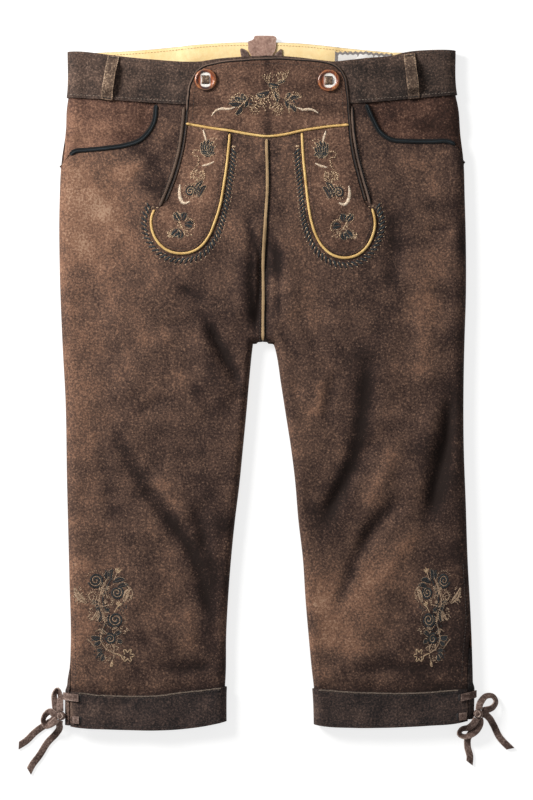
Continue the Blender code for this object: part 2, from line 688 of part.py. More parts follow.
def build_pocket_facing(side, garment):
    """Hip piece behind the pocket mouth, tucked under the front panel's edge."""
    hand = SIGN[side]
    fold = SIDE_LINE[side]
    mouth = POCKET_LINE[side]
    marks = lengths_along(mouth)
    share, _ = from_fold(mouth)
    rolled = smooth_step(share, 1.75, 2.7)
    tucked = shifted(mouth, -hand * (FACING_BUTT + (FACING_TUCK - FACING_BUTT) * rolled))
    lower = tucked[tucked[:, 1] < POCKET_CORNER]
    steep = tucked[tucked[:, 1] >= POCKET_CORNER]
    inner_end = lower[np.argmin(np.abs(hand * (x_at(fold, lower[:, 1]) - lower[:, 0])
                                       - SIDE_ROLL))]
    bottom = lower[hand * (inner_end[0] - lower[:, 0]) >= 0]
    length = lengths_along(bottom)[-1]
    along = np.array([0.0, 12.0, 25.0, length / 2, length - 24.0, length - 10.0, length])
    bottom = points_at(bottom, along)
    top_left = float(x_at(steep, y_at(BAND_LINE, steep[0, 0]) + LAP))
    top_right = float(x_at(fold, y_at(BAND_LINE, fold[0, 0]))) - hand * SIDE_ROLL
    x = top_left + (top_right - top_left) * along / length
    top = np.stack([x, y_at(BAND_LINE, x) + LAP], 1)
    height = top[0, 1] - bottom[0, 1]
    rows = []
    for rise in FACING_ROWS + (top[-1, 1] - bottom[-1, 1],):
        v = rise / (top[-1, 1] - bottom[-1, 1])
        row = bottom * (1 - v) + top * v
        level = bottom[0, 1] + height * v
        edge = np.array([float(x_at(steep, level)), level])
        row += (edge - row[0]) * (1 - along / length)[:, None]
        turn = []
        for step in reversed(ROLL_SHARES):
            y = row[-1, 1] + (1 - v) * (mouth_height(lower, fold, step * SIDE_ROLL, hand)
                                        - bottom[-1, 1])
            turn.append((float(x_at(fold, y)) - hand * step * SIDE_ROLL, y))
        rows.append(np.vstack([row, turn]))
    plan = np.array(rows)
    flat = plan.reshape(-1, 2)
    near = np.linalg.norm(flat[:, None] - mouth[None], axis=2).min(1)
    sunk = -STACK * (1 - smooth_step(near, 10.0, 20.0))
    sunk -= GAP * smooth_step(flat[:, 1] - y_at(BAND_LINE, flat[:, 0]), -6.0, 0.0)
    wall(f"pocket_facing_{side}", plan, front_skin, sunk, sunk - FACING_WALL, "suede_brown",
         garment)


def mouth_height(lower, fold, inset, hand):
    """Height at which a pocket's edge is this far in from the side fold."""
    gap = hand * (x_at(fold, lower[:, 1]) - lower[:, 0]) - inset
    return float(lower[np.argmin(np.abs(gap)), 1])


def build_pocket_binding(side, garment):
    """Leather wrapped over the pocket edge, half on the panel and half on the facing."""
    line = pocket_points(side)
    share, _ = from_fold(line)
    top_y = float(y_at(BAND_LINE, line[0, 0])) - 2.0
    top = np.array([[float(x_at(line, top_y)), top_y]])
    line = np.vstack([top, line[(line[:, 1] < top_y - 4.0) & (share > 0.6)]])
    half = POCKET_ROLL / 2
    hand = SIGN[side]
    section = (
        (-half * hand, GAP), (-half * hand, 0.9), (-0.5 * half * hand, 1.4), (0.0, 1.3),
        (0.5 * half * hand, 1.1), (half * hand, 0.2), (half * hand, 2 * GAP - STACK),
        (GAP * hand, 2 * GAP - STACK), (GAP * hand, GAP),
    )
    bead(f"pocket_binding_{side}", line, section, "binding_teal", garment)


# ---------------------------------------------------------------- waistband and back waist

def band_columns(start, end, roll_at_start, roll_at_end, middle, radius):
    width = abs(end - start)
    steps = steps_across(width, radius if roll_at_start else 0.0,
                         radius if roll_at_end else 0.0, middle)
    return start + math.copysign(1.0, end - start) * steps


def grid_between(columns_top, columns_bottom, top_line, bottom_line, shares):
    """Rows from an upper to a lower line, each row sharing the same columns."""
    rows = []
    for share in shares:
        x = columns_top * (1 - share) + columns_bottom * share
        y = y_at(top_line, x) * (1 - share) + y_at(bottom_line, x) * share
        rows.append(np.stack([x, y], 1))
    return np.array(rows)


def build_waistband_front(side, garment):
    fold = SIDE_LINE[side]
    middle_x = SEAM_LINE[0, 0] + SIGN[side] * GAP / 2
    edges = []
    for y in (362.0, 314.0):
        edges.append(band_columns(float(x_at(fold, y)), middle_x, True, False, 10, SIDE_ROLL))
    plan = grid_between(edges[0], edges[1], WAIST_LINE, BAND_LINE, (0.0, 0.33, 0.66, 1.0))
    snap_to_fold(plan, fold, 0)
    wall(f"waistband_front_{side}", plan, front_skin, STACK, GAP, "suede_band", garment)


def snap_to_fold(plan, fold, column):
    """Move one column of a grid on to the side fold."""
    plan[:, column, 0] = x_at(fold, plan[:, column, 1])


def build_waistband_back(garment):
    edges = []
    for y in (362.0, 314.0):
        start, end = (float(x_at(SIDE_LINE[side], y)) for side in "rl")
        edges.append(band_columns(start, end, True, True, 14, BACK_ROLL))
    plan = grid_between(edges[0], edges[1], BACK_WAIST_LINE, BAND_LINE, (0.0, 0.5, 1.0))
    snap_to_fold(plan, SIDE_LINE["r"], 0)
    snap_to_fold(plan, SIDE_LINE["l"], -1)
    wall("waistband_back", plan, back_skin, STACK, GAP, "suede_band", garment)


FACING_ENDS = (-196.0, 186.0)


def build_back_facing(garment):
    """Smooth leather that faces the inside of the back waistband."""
    x = np.linspace(FACING_ENDS[0], FACING_ENDS[1], 19)
    top = np.stack([x, y_at(BACK_WAIST_LINE, x) - 0.4], 1)
    floor_y = y_at(BAND_LINE, x) + LAP + GAP + 1.0
    bottom = np.stack([x, floor_y], 1)
    plan = ruled(top, bottom, (0.0, 0.5, 1.0)).transpose(1, 0, 2)
    wall("back_facing", plan, back_skin, 0.0, -FACING_WALL, "leather_tan", garment)


INSIDE_LIFT = -(FACING_WALL + GAP)
LEAF_OUTLINE = (          # y, left x, right x of the stiff centre leaf
    (338.0, -15.5, 10.0), (352.0, -16.5, 10.2), (362.0, -18.4, 9.6), (371.0, -18.9, 9.4),
    (375.5, -20.6, 10.6), (378.4, -17.2, 12.8), (380.4, -12.6, 11.2), (382.4, -8.0, 3.6),
    (383.6, -5.0, -0.6),
)
SMALL_LEAVES = (          # side, y, left x, right x
    ("r", ((346.0, -24.0, -17.6), (353.0, -27.0, -17.2), (359.0, -29.4, -19.2),
           (364.0, -26.6, -20.6), (367.0, -24.0, -21.4))),
    ("l", ((346.0, 11.6, 20.0), (353.0, 11.4, 22.4), (358.0, 11.0, 20.6),
           (362.0, 10.6, 17.4), (365.6, 12.4, 15.2))),
)


def leaf(name, outline, finish, garment):
    table = np.array(outline)
    left = np.stack([table[:, 1], table[:, 0]], 1)
    right = np.stack([table[:, 2], table[:, 0]], 1)
    plan = ruled(left, right, (0.0, 0.5, 1.0))
    wall(name, plan, back_skin, INSIDE_LIFT, INSIDE_LIFT - FACING_WALL, finish, garment)


PATCH_BOX = (74.8, 338.5, 137.5, 365.6)
PINKING = 4.4


def build_inner_patch(garment):
    """Bare woven patch with pinked edges, sewn inside the back waist."""
    x0, y0, x1, y1 = PATCH_BOX
    teeth = round((x1 - x0) / PINKING)
    x = np.linspace(x0, x1, 2 * teeth + 1)
    notch = np.where(np.arange(len(x)) % 2 == 0, 0.0, 1.4)
    top = np.stack([x, np.minimum(y1, y_at(BACK_WAIST_LINE, x) - 1.4) - notch], 1)
    bottom = np.stack([x, y0 + notch], 1)
    plan = ruled(top, bottom, (0.0, 1.0)).transpose(1, 0, 2)
    wall("inner_patch", plan, back_skin, INSIDE_LIFT, INSIDE_LIFT - PATCH_WALL, "patch_cloth",
         garment)


# ---------------------------------------------------------------- drop-front flap

BINDING_END = 199.0


def flap_edge_points():
    """Points of the flap's bound edge, shared by the flap and its binding."""
    top = int(np.argmax(FLAP_LINE[:, 1]))
    keep = FLAP_LINE[:, 1] > BINDING_END
    keep[top] = True
    return paced(FLAP_LINE[keep], 15.0)


def build_flap(garment):
    line = flap_edge_points()
    edge = shifted(line, -(EDGE_ROLL / 2 + GAP))
    top = edge[edge[:, 1] > FLAP_CORNER]
    lower = shifted(CROSS_LINE, PIPING / 2 + GAP)
    half = len(edge) // 2
    start = np.interp(lower[0, 1], edge[:half, 1], edge[:half, 0])
    end = np.interp(-lower[-1, 1], -edge[half:, 1], edge[half:, 0])
    marks = lengths_along(top) / lengths_along(top)[-1]
    x = start + (end - start) * marks
    bottom = np.stack([x, y_at(lower, x)], 1)
    shares = (0.0, 0.16, 0.32, 0.44, 0.53, 0.61, 0.69, 0.78, 0.89, 1.0)
    plan = ruled(top, bottom, shares).transpose(1, 0, 2)
    lift = GAP + over_band(plan.reshape(-1, 2))
    wall("flap", plan, front_skin, lift + FLAP_WALL, lift, "suede_brown", garment)


def build_flap_binding(garment):
    section = round_section(EDGE_ROLL, GAP, GAP + 2.1)
    bead("flap_binding", flap_edge_points(), section, "binding_dark", garment, over_band)


def build_flap_piping(garment):
    edge = EDGE_ROLL / 2 + GAP
    line = CROSS_LINE[(CROSS_LINE[:, 0] > -86.0 + edge) & (CROSS_LINE[:, 0] < 88.0 - edge)]
    section = round_section(PIPING, GAP, GAP + 1.7)
    bead("flap_seam_piping", evenly(line, 12), section, "piping_yellow", garment)


def build_tongue(side, garment):
    """Rounded tongue below the flap, between the flap's edge and its own piping."""
    hand = SIGN[side]
    piping = shifted(TONGUE_LINE[side], hand * (PIPING / 2 + 2 * GAP))
    binding = shifted(FLAP_LINE, -(EDGE_ROLL / 2 + 3 * GAP))
    half = len(binding) // 2
    binding = binding[:half][::-1] if side == "r" else binding[half:]
    lower = shifted(CROSS_LINE, -(PIPING / 2 + GAP))
    lowest = int(np.argmin(piping[:, 1]))
    inner = piping[: lowest + 1]
    inner = inner[inner[:, 1] < y_at(lower, inner[:, 0])]
    head = np.array([[inner[0, 0], y_at(lower, inner[0, 0])]])
    inner = np.vstack([head, inner])
    outer = binding[binding[:, 1] < y_at(lower, binding[:, 0])]
    head = np.array([[outer[0, 0], y_at(lower, outer[0, 0])]])
    outer = np.vstack([head, outer[outer[:, 1] > BINDING_END - 2.5], piping[lowest:][::-1]])
    marks = 0.97 * np.linspace(0, 1, 18)
    inner_row = points_at(inner, marks * lengths_along(inner)[-1])
    outer_row = points_at(outer, marks * lengths_along(outer)[-1])
    plan = ruled(inner_row, outer_row, np.linspace(0, 1, 6))
    wall(f"tongue_{side}", plan, front_skin, STACK, GAP, "suede_brown", garment)


def build_tongue_piping(side, garment):
    line = TONGUE_LINE[side]
    lower = shifted(CROSS_LINE, -(PIPING / 2 + GAP))
    line = line[line[:, 1] < y_at(lower, line[:, 0]) - 0.2]
    section = round_section(PIPING, GAP, GAP + 1.7)
    bead(f"tongue_piping_{side}", paced(line, 24.0, 20.0), section, "piping_yellow", garment)


def build_opening_binding(side, garment):
    section = round_section(OPENING_ROLL, GAP, GAP + 1.9)
    line = evenly(OPENING_LINE[side], 12)
    bead(f"opening_binding_{side}", line, section, "suede_brown", garment)


def build_centre_piping(garment):
    top, bottom = CENTRE_PIPING_SPAN
    y = np.linspace(top, bottom, 15)
    line = np.stack([x_at(SEAM_LINE, y), y], 1)
    section = round_section(PIPING, 2 * GAP, 2 * GAP + 1.3)
    bead("centre_front_piping", line, section, "piping_yellow", garment)


# ---------------------------------------------------------------- buttons and belt loops

BUTTON_PROFILE = (        # radius, height of the turned horn
    (0.0, 0.0), (9.6, 0.0), (11.6, 0.8), (12.2, 2.2), (11.6, 3.6), (10.2, 4.2),
    (8.8, 3.8), (8.0, 2.4), (0.0, 2.2),
)


def build_button(side, place, garment):
    """Dished horn button with two slots, above the flap."""
    plan = np.array([place])
    seat = front_skin(plan, float(over_band(plan)[0]) + GAP + FLAP_WALL + 0.4)[0]
    count = 20
    vertices = [(0.0, 0.0, BUTTON_PROFILE[0][1]), (0.0, 0.0, BUTTON_PROFILE[-1][1])]
    rings = BUTTON_PROFILE[1:-1]
    for radius, height in rings:
        for k in range(count):
            angle = 2 * math.pi * k / count
            vertices.append((radius * math.cos(angle), radius * math.sin(angle), height))
    faces = []
    for k in range(count):
        n = (k + 1) % count
        faces.append((0, 2 + n, 2 + k))
        last = 2 + (len(rings) - 1) * count
        faces.append((1, last + k, last + n))
        for r in range(len(rings) - 1):
            a = 2 + r * count
            faces.append((a + k, a + n, a + count + n, a + count + k))
    button = make_object(f"button_{side}", vertices, faces, "horn", garment)
    button.location = Vector(seat) * MM
    long_side, short_side = SLOT
    boxes = bmesh.new()
    for way in (-1.0, 1.0):
        bmesh.ops.create_cube(boxes, size=1.0, matrix=Matrix.LocRotScale(
            Vector((0.0, way * SLOT_OFFSET, 2.0)) * MM, None,
            Vector((long_side, short_side, 8.0)) * MM))
    mesh = bpy.data.meshes.new(f"slots_{side}")
    boxes.to_mesh(mesh)
    boxes.free()
    cutter = bpy.data.objects.new(f"slots_{side}", mesh)
    bpy.context.scene.collection.objects.link(cutter)
    cutter.location = button.location
    cutter.parent = garment
    cutter.display_type = "WIRE"
    cutter.hide_render = True
    cut = button.modifiers.new("thong slots", "BOOLEAN")
    cut.object = cutter
    cut.operation = "DIFFERENCE"
    build_button_thong(side, seat, garment)


def build_button_thong(side, seat, garment):
    """Leather thong that comes up through one slot and goes down the other."""
    section = (
        (-4.3, -0.1), (-4.3, 3.0), (-3.4, 4.0), (3.4, 4.0), (4.3, 3.0), (4.3, -0.1),
        (2.9, -0.1), (2.9, 2.6), (-2.9, 2.6), (-2.9, -0.1),
    )
    half = THONG_WIDTH / 2
    vertices = [(x, y, z) for x in (-half, half) for y, z in section]
    count = len(section)
    faces = [tuple(range(count)), tuple(range(count, 2 * count))]
    for k in range(count):
        n = (k + 1) % count
        faces.append((k, n, n + count, k + count))
    thong = make_object(f"button_thong_{side}", vertices, faces, "suede_mauve", garment)
    thong.location = Vector(seat) * MM


def build_belt_loop(side, top_x, top_y, bottom_x, bottom_y, garment):
    """Strap that arches over the waistband to let a belt through."""
    top, bottom = np.array([top_x, top_y]), np.array([bottom_x, bottom_y])
    shares = np.array((0.0, 0.08, 0.14, 0.20, 0.27, 0.40, 0.60, 0.73, 0.80, 0.86, 0.92, 1.0))
    line = top + (bottom - top) * shares[:, None]
    ways = sideways(line)
    half = BELT_LOOP_WIDTH / 2
    plan = np.stack([line + ways * across for across in (-half, 0.0, half)], 1)
    rise = smooth_step(shares, 0.07, 0.27) * smooth_step(1 - shares, 0.07, 0.27)
    lift = STACK + GAP + (BELT_ROOM - GAP) * rise
    lift = np.repeat(lift[:, None], 3, axis=1).reshape(-1)
    wall(f"belt_loop_{side}", plan, front_skin, lift + FLAP_WALL, lift, "suede_brown", garment)


# ---------------------------------------------------------------- cuffs and side slits

def build_cuff_front(side, garment):
    """Front of the hem band, from the side slit to the inner-leg fold."""
    inseam, slit = NOTCH_LINE[side], SLIT_LINE[side]
    hand = SIGN[side]
    edges = []
    for y in (-341.0, -378.0):
        start = float(x_at(inseam, y))
        end = float(x_at(slit, y)) - hand * GAP
        fold = abs(float(x_at(SIDE_LINE[side], y)) - start)
        steps = steps_across(fold, INSEAM_ROLL, SIDE_ROLL, 7)[: -len(ROLL_SHARES)]
        steps = np.concatenate([steps, [fold - SIDE_ROLL * ROLL_SHARES[3], abs(end - start)]])
        edges.append(start + hand * steps)
    plan = grid_between(edges[0], edges[1], CUFF_LINE, HEM_LINE[side], (0.0, 0.33, 0.66, 1.0))
    snap_to_fold(plan, inseam, 0)
    wall(f"cuff_front_{side}", plan, front_skin, STACK + GAP / 2, 1.5 * GAP, "suede_band",
         garment)


def build_cuff_back(side, garment):
    inseam, fold = NOTCH_LINE[side], SIDE_LINE[side]
    edges = []
    for y in (-341.0, -378.0):
        start, end = float(x_at(inseam, y)), float(x_at(fold, y))
        edges.append(band_columns(start, end, True, True, 6, BACK_ROLL))
    plan = grid_between(edges[0], edges[1], CUFF_LINE, HEM_LINE[side], (0.0, 0.5, 1.0))
    snap_to_fold(plan, inseam, 0)
    snap_to_fold(plan, fold, -1)
    wall(f"cuff_back_{side}", plan, back_skin, STACK, GAP, "suede_band", garment)


SLIT_GAP = 0.9
SLIT_TOP = {"r": -314.0, "l": -292.0}


def build_slit_strip(side, garment):
    """Back edge of the side slit, which shows beside the front panel and the cuff."""
    fold, slit = SIDE_LINE[side], SLIT_LINE[side]
    hand = SIGN[side]
    hem = HEM_LINE[side]
    bottom = float(y_at(hem, x_at(fold, -370.0)))
    y = np.concatenate([np.linspace(SLIT_TOP[side], -332.0, 4), np.linspace(-338.0, bottom, 5)])
    rows = []
    for level in y:
        a = float(x_at(fold, level))
        b = float(x_at(slit, level)) + hand * SLIT_GAP
        width = abs(b - a)
        second = min(SIDE_ROLL * ROLL_SHARES[2], 0.7 * width)
        shares = np.array([0.0, min(SIDE_ROLL * ROLL_SHARES[1], 0.4 * width), second, width])
        rows.append(np.stack([a + (b - a) * shares / width, np.full(4, level)], 1))
    plan = np.array(rows)
    cuff_y = y_at(CUFF_LINE, 216.0 * hand)
    lift = STACK * smooth_step(cuff_y + 8.0 - plan[:, :, 1].reshape(-1), 0.0, 8.0)
    wall(f"slit_strip_{side}", plan, front_skin, lift, lift - WALL, "suede_band", garment)


# ---------------------------------------------------------------- laces

def knot_centre(side):
    """Where the knot sits, against the rolled side of the cuff."""
    y = KNOTS[side]
    seat = np.array([[float(x_at(SIDE_LINE[side], y)) - SIGN[side] * KNOT_IN, y]])
    return front_skin(seat, STACK + 2 * GAP + KNOT_RADIUS)[0]


def build_knot(side, garment):
    """The pulled-tight knot: a squat bundle that every strand leaves."""
    centre = knot_centre(side)
    heights = (-0.96, -0.72, 0.0, 0.72, 0.96)
    count = 12
    vertices = [centre - (0, 0, KNOT_HALF_HEIGHT), centre + (0, 0, KNOT_HALF_HEIGHT)]
    for share in heights:
        radius = KNOT_RADIUS * (1 - abs(share) ** 4) ** 0.25
        for k in range(count):
            angle = 2 * math.pi * k / count
            vertices.append(centre + (radius * math.cos(angle), radius * math.sin(angle),
                                      share * KNOT_HALF_HEIGHT))
    faces = []
    last = 2 + (len(heights) - 1) * count
    for k in range(count):
        n = (k + 1) % count
        faces.append((0, 2 + n, 2 + k))
        faces.append((1, last + k, last + n))
        for ring in range(len(heights) - 1):
            a = 2 + ring * count
            faces.append((a + k, a + n, a + count + n, a + count + k))
    make_object(f"lace_knot_{side}", vertices, faces, "suede_mauve", garment)


def strand_start(side, way):
    """Two points on a strand where it meets the knot, the nearer one first."""
    angle, level = math.radians(way[0]), way[1] * STRAND_STEP
    out = np.array([math.cos(angle), math.sin(angle), 0.0])
    root = knot_centre(side) + (0, 0, level)
    return [root + out * (KNOT_RADIUS + 1.3 * GAP), root + out * (KNOT_RADIUS + 3.0)]


def build_lace_bar(side, name, edge_y, first, eyelet_x, eyelet_y, garment):
    """The stretch of thong that lies on the cuff from near the side fold to its eyelet."""
    start = np.array([float(x_at(SIDE_LINE[side], edge_y)), edge_y])
    end = np.array([eyelet_x, eyelet_y])
    width = np.linalg.norm(end - start)
    steps = [SIDE_ROLL * share for share in ROLL_SHARES[first:]]
    line = start + (end - start) * (np.array(steps + [width]) / width)[:, None]
    half = LACE_WIDTH / 2
    plan = np.stack([line + (0.0, across) for across in (-half, 0.0, half)], 1)
    plan[:, :, 0] += x_at(SIDE_LINE[side], plan[:, :, 1]) - x_at(SIDE_LINE[side], line[:, 1:])
    lift = STACK + 2 * GAP
    wall(f"lace_bar_{name}_{side}", plan, front_skin, lift + LACE_WALL, lift, "suede_mauve",
         garment)


def build_lace(side, name, tilt, way_out, route, way_back, garment):
    """A free stretch of flat thong: flat at the knot, tilted about its line between."""
    knots = strand_start(side, way_out) + [np.array(place) for place in route]
    if way_back:
        knots += strand_start(side, way_back)[::-1]
    smooth = smooth_line(knots, 1.5)
    points = evenly(smooth, round(lengths_along(smooth)[-1] / LACE_SPACING) + 1)
    shares = np.linspace(0, 1, len(points))
    turns = LACE_FLAT + (tilt - LACE_FLAT) * np.sin(math.pi * shares) ** 2
    curve = bpy.data.curves.new(f"lace_{name}_{side}", "CURVE")
    curve.dimensions = "3D"
    curve.fill_mode = "FULL"
    curve.bevel_depth = LACE_WALL / 2 * MM
    curve.bevel_resolution = 2
    curve.extrude = (LACE_WIDTH - LACE_WALL) / 2 * MM
    curve.use_fill_caps = True
    curve.twist_mode = "Z_UP"
    spline = curve.splines.new("POLY")
    spline.points.add(len(points) - 1)
    for point, place, turn in zip(spline.points, points, turns):
        point.co = (*(Vector(place) * MM), 1.0)
        point.tilt = math.radians(turn)
    curve.materials.append(material("suede_mauve"))
    lace = bpy.data.objects.new(f"lace_{name}_{side}", curve)
    bpy.context.scene.collection.objects.link(lace)
    lace.parent = garment


# ---------------------------------------------------------------- the garment

def build_all():
    for existing in list(bpy.data.objects):
        bpy.data.objects.remove(existing, do_unlink=True)
    garment = bpy.data.objects.new("lederhosen", None)
    bpy.context.scene.collection.objects.link(garment)
    for side in "rl":
        build_front_leg(side, garment)
        build_back_leg(side, garment)
        build_pocket_facing(side, garment)
        build_pocket_binding(side, garment)
        build_waistband_front(side, garment)
        build_tongue(side, garment)
        build_tongue_piping(side, garment)
        build_opening_binding(side, garment)
        build_cuff_front(side, garment)
        build_cuff_back(side, garment)
        build_slit_strip(side, garment)
    build_waistband_back(garment)
    build_back_facing(garment)
    leaf("back_leaf", LEAF_OUTLINE, "suede_mauve", garment)
    for side, outline in SMALL_LEAVES:
        leaf(f"back_leaf_small_{side}", outline, "suede_band", garment)
    build_inner_patch(garment)
    build_flap(garment)
    build_flap_binding(garment)
    build_flap_piping(garment)
    build_centre_piping(garment)
    for side, place in zip("rl", BUTTONS):
        build_button(side, place, garment)
    for row in BELT_LOOPS:
        build_belt_loop(*row, garment)
    for side in KNOTS:
        build_knot(side, garment)
    for row in LACE_BARS:
        build_lace_bar(*row, garment)
    for row in LACE_ROUTES:
        build_lace(*row, garment)


build_all()
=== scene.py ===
"""Lederhosen, finished: worn suede panels, trims, stitching, embroidery and laces.

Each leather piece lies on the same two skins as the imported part's solids.  +X is the
wearer's left, +Y runs to the waist and +Z is up.  Plans are in mm, meshes in metres.
"""

import logging
import math
from dataclasses import dataclass
from enum import Enum
from typing import Any, Callable, Mapping, Optional, Sequence, Union

import bmesh
import bpy
import numpy as np
from mathutils import Matrix, Vector


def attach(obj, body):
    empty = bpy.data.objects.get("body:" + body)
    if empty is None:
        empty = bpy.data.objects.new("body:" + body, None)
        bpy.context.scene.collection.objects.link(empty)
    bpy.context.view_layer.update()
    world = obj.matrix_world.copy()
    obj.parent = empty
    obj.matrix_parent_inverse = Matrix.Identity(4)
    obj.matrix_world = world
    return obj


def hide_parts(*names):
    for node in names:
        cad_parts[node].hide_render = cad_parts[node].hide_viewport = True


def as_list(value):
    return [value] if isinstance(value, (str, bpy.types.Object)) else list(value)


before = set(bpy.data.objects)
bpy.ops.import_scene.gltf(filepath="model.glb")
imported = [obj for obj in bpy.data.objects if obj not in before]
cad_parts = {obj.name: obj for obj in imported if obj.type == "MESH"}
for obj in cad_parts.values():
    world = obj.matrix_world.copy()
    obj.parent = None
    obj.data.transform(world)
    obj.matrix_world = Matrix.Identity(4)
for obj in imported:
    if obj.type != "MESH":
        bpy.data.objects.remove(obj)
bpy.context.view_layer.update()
LOG = logging.getLogger("lederhosen")

MM = 0.001
Colour = tuple[float, float, float]
Table = Sequence[Sequence[float]]
Marks = Mapping[str, np.ndarray]
Lift = Callable[[np.ndarray], np.ndarray]

# Leather and how the garment lies, in mm
WALL = 1.6
GAP = 0.3
STACK = WALL + GAP
FLAP_WALL = 1.8
FACING_WALL = 1.4
PATCH_WALL = 1.0
SEAM_HEIGHT = 7.0
SIDE_ROLL = 13.0
INSEAM_ROLL = 9.0
BACK_ROLL = 9.0
LAP = 8.0
LAP_EASE = 9.0
BAND_STEP = (4.0, 13.0)       # below the band's seam, where the flap comes down off it
LYING_HEIGHT = (
    (375.0, 7.0), (300.0, 7.6), (200.0, 8.6), (60.0, 9.2),
    (-150.0, 8.8), (-320.0, 7.4), (-390.0, 6.8),
)

# Outlines seen from above: x, y in mm
SIDE_R = (
    (-218, 372.6), (-218.4, 317.6), (-220.7, 300), (-221.5, 278), (-226.2, 245),
    (-228.6, 195.5), (-228.3, 121.8), (-225.3, 42.6), (-222, -19), (-220.4, -107),
    (-217.8, -212.6), (-216.4, -294), (-217.4, -313.8), (-219.7, -327), (-220.3, -340.2),
    (-220.6, -388.6),
)
SIDE_L = (
    (205.9, 372.6), (207.2, 319.8), (210.8, 302.2), (213, 273.6), (216.5, 245), (217.8, 206.5),
    (219.1, 157), (219.1, 91), (217.8, 51.4), (216.7, 3), (216.9, -74), (218.9, -129),
    (221.1, -195), (224.4, -256.6), (226.1, -299.5), (226.8, -331.4), (226.6, -349),
    (225.5, -388.6),
)
INSEAM_R = (
    (-15.2, 44.2), (-16.5, 33.8), (-19.1, 7.4), (-22.6, -32.2), (-26.4, -71.8), (-30.8, -115.8),
    (-35.2, -151), (-39.6, -195), (-42.9, -239), (-44.9, -278.6), (-45.3, -318.2),
    (-46.3, -338), (-46.4, -388.6),
)
INSEAM_L = (
    (7.3, 44.2), (9.9, 33.8), (15.4, -1.4), (20.9, -36.6), (26.4, -71.8), (30.8, -107),
    (34.5, -151), (39.6, -195), (42.4, -239), (46.2, -283), (49.1, -313.8), (51.9, -338),
    (53.9, -388.6),
)
CENTRE_SEAM = (
    (-0.8, 372.6), (-0.6, 269.2), (0.2, 212), (-2.2, 173.5), (-4.2, 141.6), (-4.2, 91),
    (-4.6, 45),
)
SLIT_R = ((-216.4, -294), (-216, -318.2), (-215.7, -388.6))
SLIT_L = ((224.8, -263.2), (220.9, -300.6), (220.4, -388.6))
POCKET_R = (
    (-120.8, 322), (-121.2, 314.3), (-122.1, 304.4), (-124.3, 286.8), (-132, 273.6),
    (-140, 266.5), (-154.7, 261.4), (-177.1, 257.8), (-199.5, 255.8), (-211.8, 254.3),
    (-218.9, 248), (-227.2, 238.4),
)
POCKET_L = (
    (103.4, 322), (105.6, 314.3), (108.9, 306.6), (117.3, 287.4), (125.4, 274.2),
    (136.4, 267.4), (154, 265.6), (179.3, 265.2), (202.4, 264.2), (210.7, 258.4), (217, 242.8),
)
WAIST = (
    (-227.7, 364.4), (-200.2, 363.5), (-176, 360.5), (-150.7, 357.4), (-124.3, 355),
    (-90.2, 352.6), (-73.7, 353), (-58.3, 355.5), (-26.4, 358.1), (0, 359.4), (30.8, 357.9),
    (62.7, 353.9), (72.6, 353), (88, 354.4), (111.1, 356.8), (140.8, 360.1), (150.7, 362.7),
    (180.4, 365.6), (217.8, 365.4),
)
BAND_SEAM = (
    (-233.2, 314.3), (-211.2, 313.2), (-170.5, 310.8), (-95.7, 306.1), (0, 305), (96.8, 307.2),
    (146.3, 311), (217.8, 317.6),
)
BACK_WAIST = (
    (-233.2, 363.3), (-189.2, 364), (-135.3, 367.1), (-100.1, 370.4), (-70.4, 373.5),
    (-13.2, 375.7), (45.1, 373.7), (74.8, 370.4), (106.7, 367.1), (140.8, 364.3),
    (179.3, 364.5), (223.3, 364.5),
)
CUFF_SEAM = (
    (-229.9, -338.9), (-207, -340.4), (-189.5, -342.4), (-163.9, -343.8), (-140.3, -344.4),
    (-112.9, -342.7), (-91, -339.7), (-67.3, -337.1), (-47.2, -334.6), (-38.5, -334.2),
    (42.9, -335.8), (62, -337.4), (85.4, -339.1), (118, -340.5), (150.7, -340.8),
    (175.2, -339.8), (199.8, -338), (214.5, -336.9), (234.3, -335.8),
)
HEM_R = (
    (-229.9, -374.8), (-209, -379), (-174.9, -380.9), (-139.7, -382), (-95.7, -380.9),
    (-67.3, -377.2), (-49, -373.2), (-38.5, -370),
)
HEM_L = (
    (42.9, -373.2), (58.3, -377), (91.3, -379.2), (135.3, -379), (177.1, -377), (209, -374.3),
    (234.3, -367.7),
)

# The drop-front flap and what trims it: x, y in mm
FLAP_CORNER = 320.0       # above this the flap's side edges turn into its rounded top
FLAP_EDGE = (
    (-113.9, 193.3), (-110.2, 202.1), (-104.7, 215.3), (-99.8, 229.1), (-92.6, 256),
    (-88.8, 283.5), (-87.5, 300), (-86.7, 315.4), (-85, 326.4), (-81.7, 334.1), (-77, 341.8),
    (-69.9, 347.3), (-58.9, 350.4), (-42.9, 353), (-26.4, 354.4), (0, 355.9), (25.3, 355.5),
    (49.5, 353.9), (64.9, 351.7), (73.7, 349), (81.4, 342.9), (86, 334.1), (87.6, 324.2),
    (88.7, 312.1), (89.8, 297.8), (90.9, 284.6), (92.4, 267), (95.7, 247.2), (101.2, 225.2),
    (105.6, 209.8), (109.3, 195.5),
)
OPENING_R = (
    (-91.1, 302.6), (-92.8, 283.5), (-96.8, 256), (-104.1, 229.1), (-109.1, 215.3),
    (-114.5, 202.1), (-118, 193.9),
)
OPENING_L = (
    (93.5, 303.4), (94.6, 284.6), (96.4, 267.6), (99.9, 248.3), (105.4, 226.3), (109.8, 211.1),
    (113.5, 197.2),
)
CROSS_PIPING = (
    (-85.4, 284), (-64.9, 280.4), (-39.9, 276.7), (-18.7, 273), (-0.6, 271), (19.1, 272.9),
    (39.4, 277.3), (69.7, 281.8), (87.4, 283.4),
)
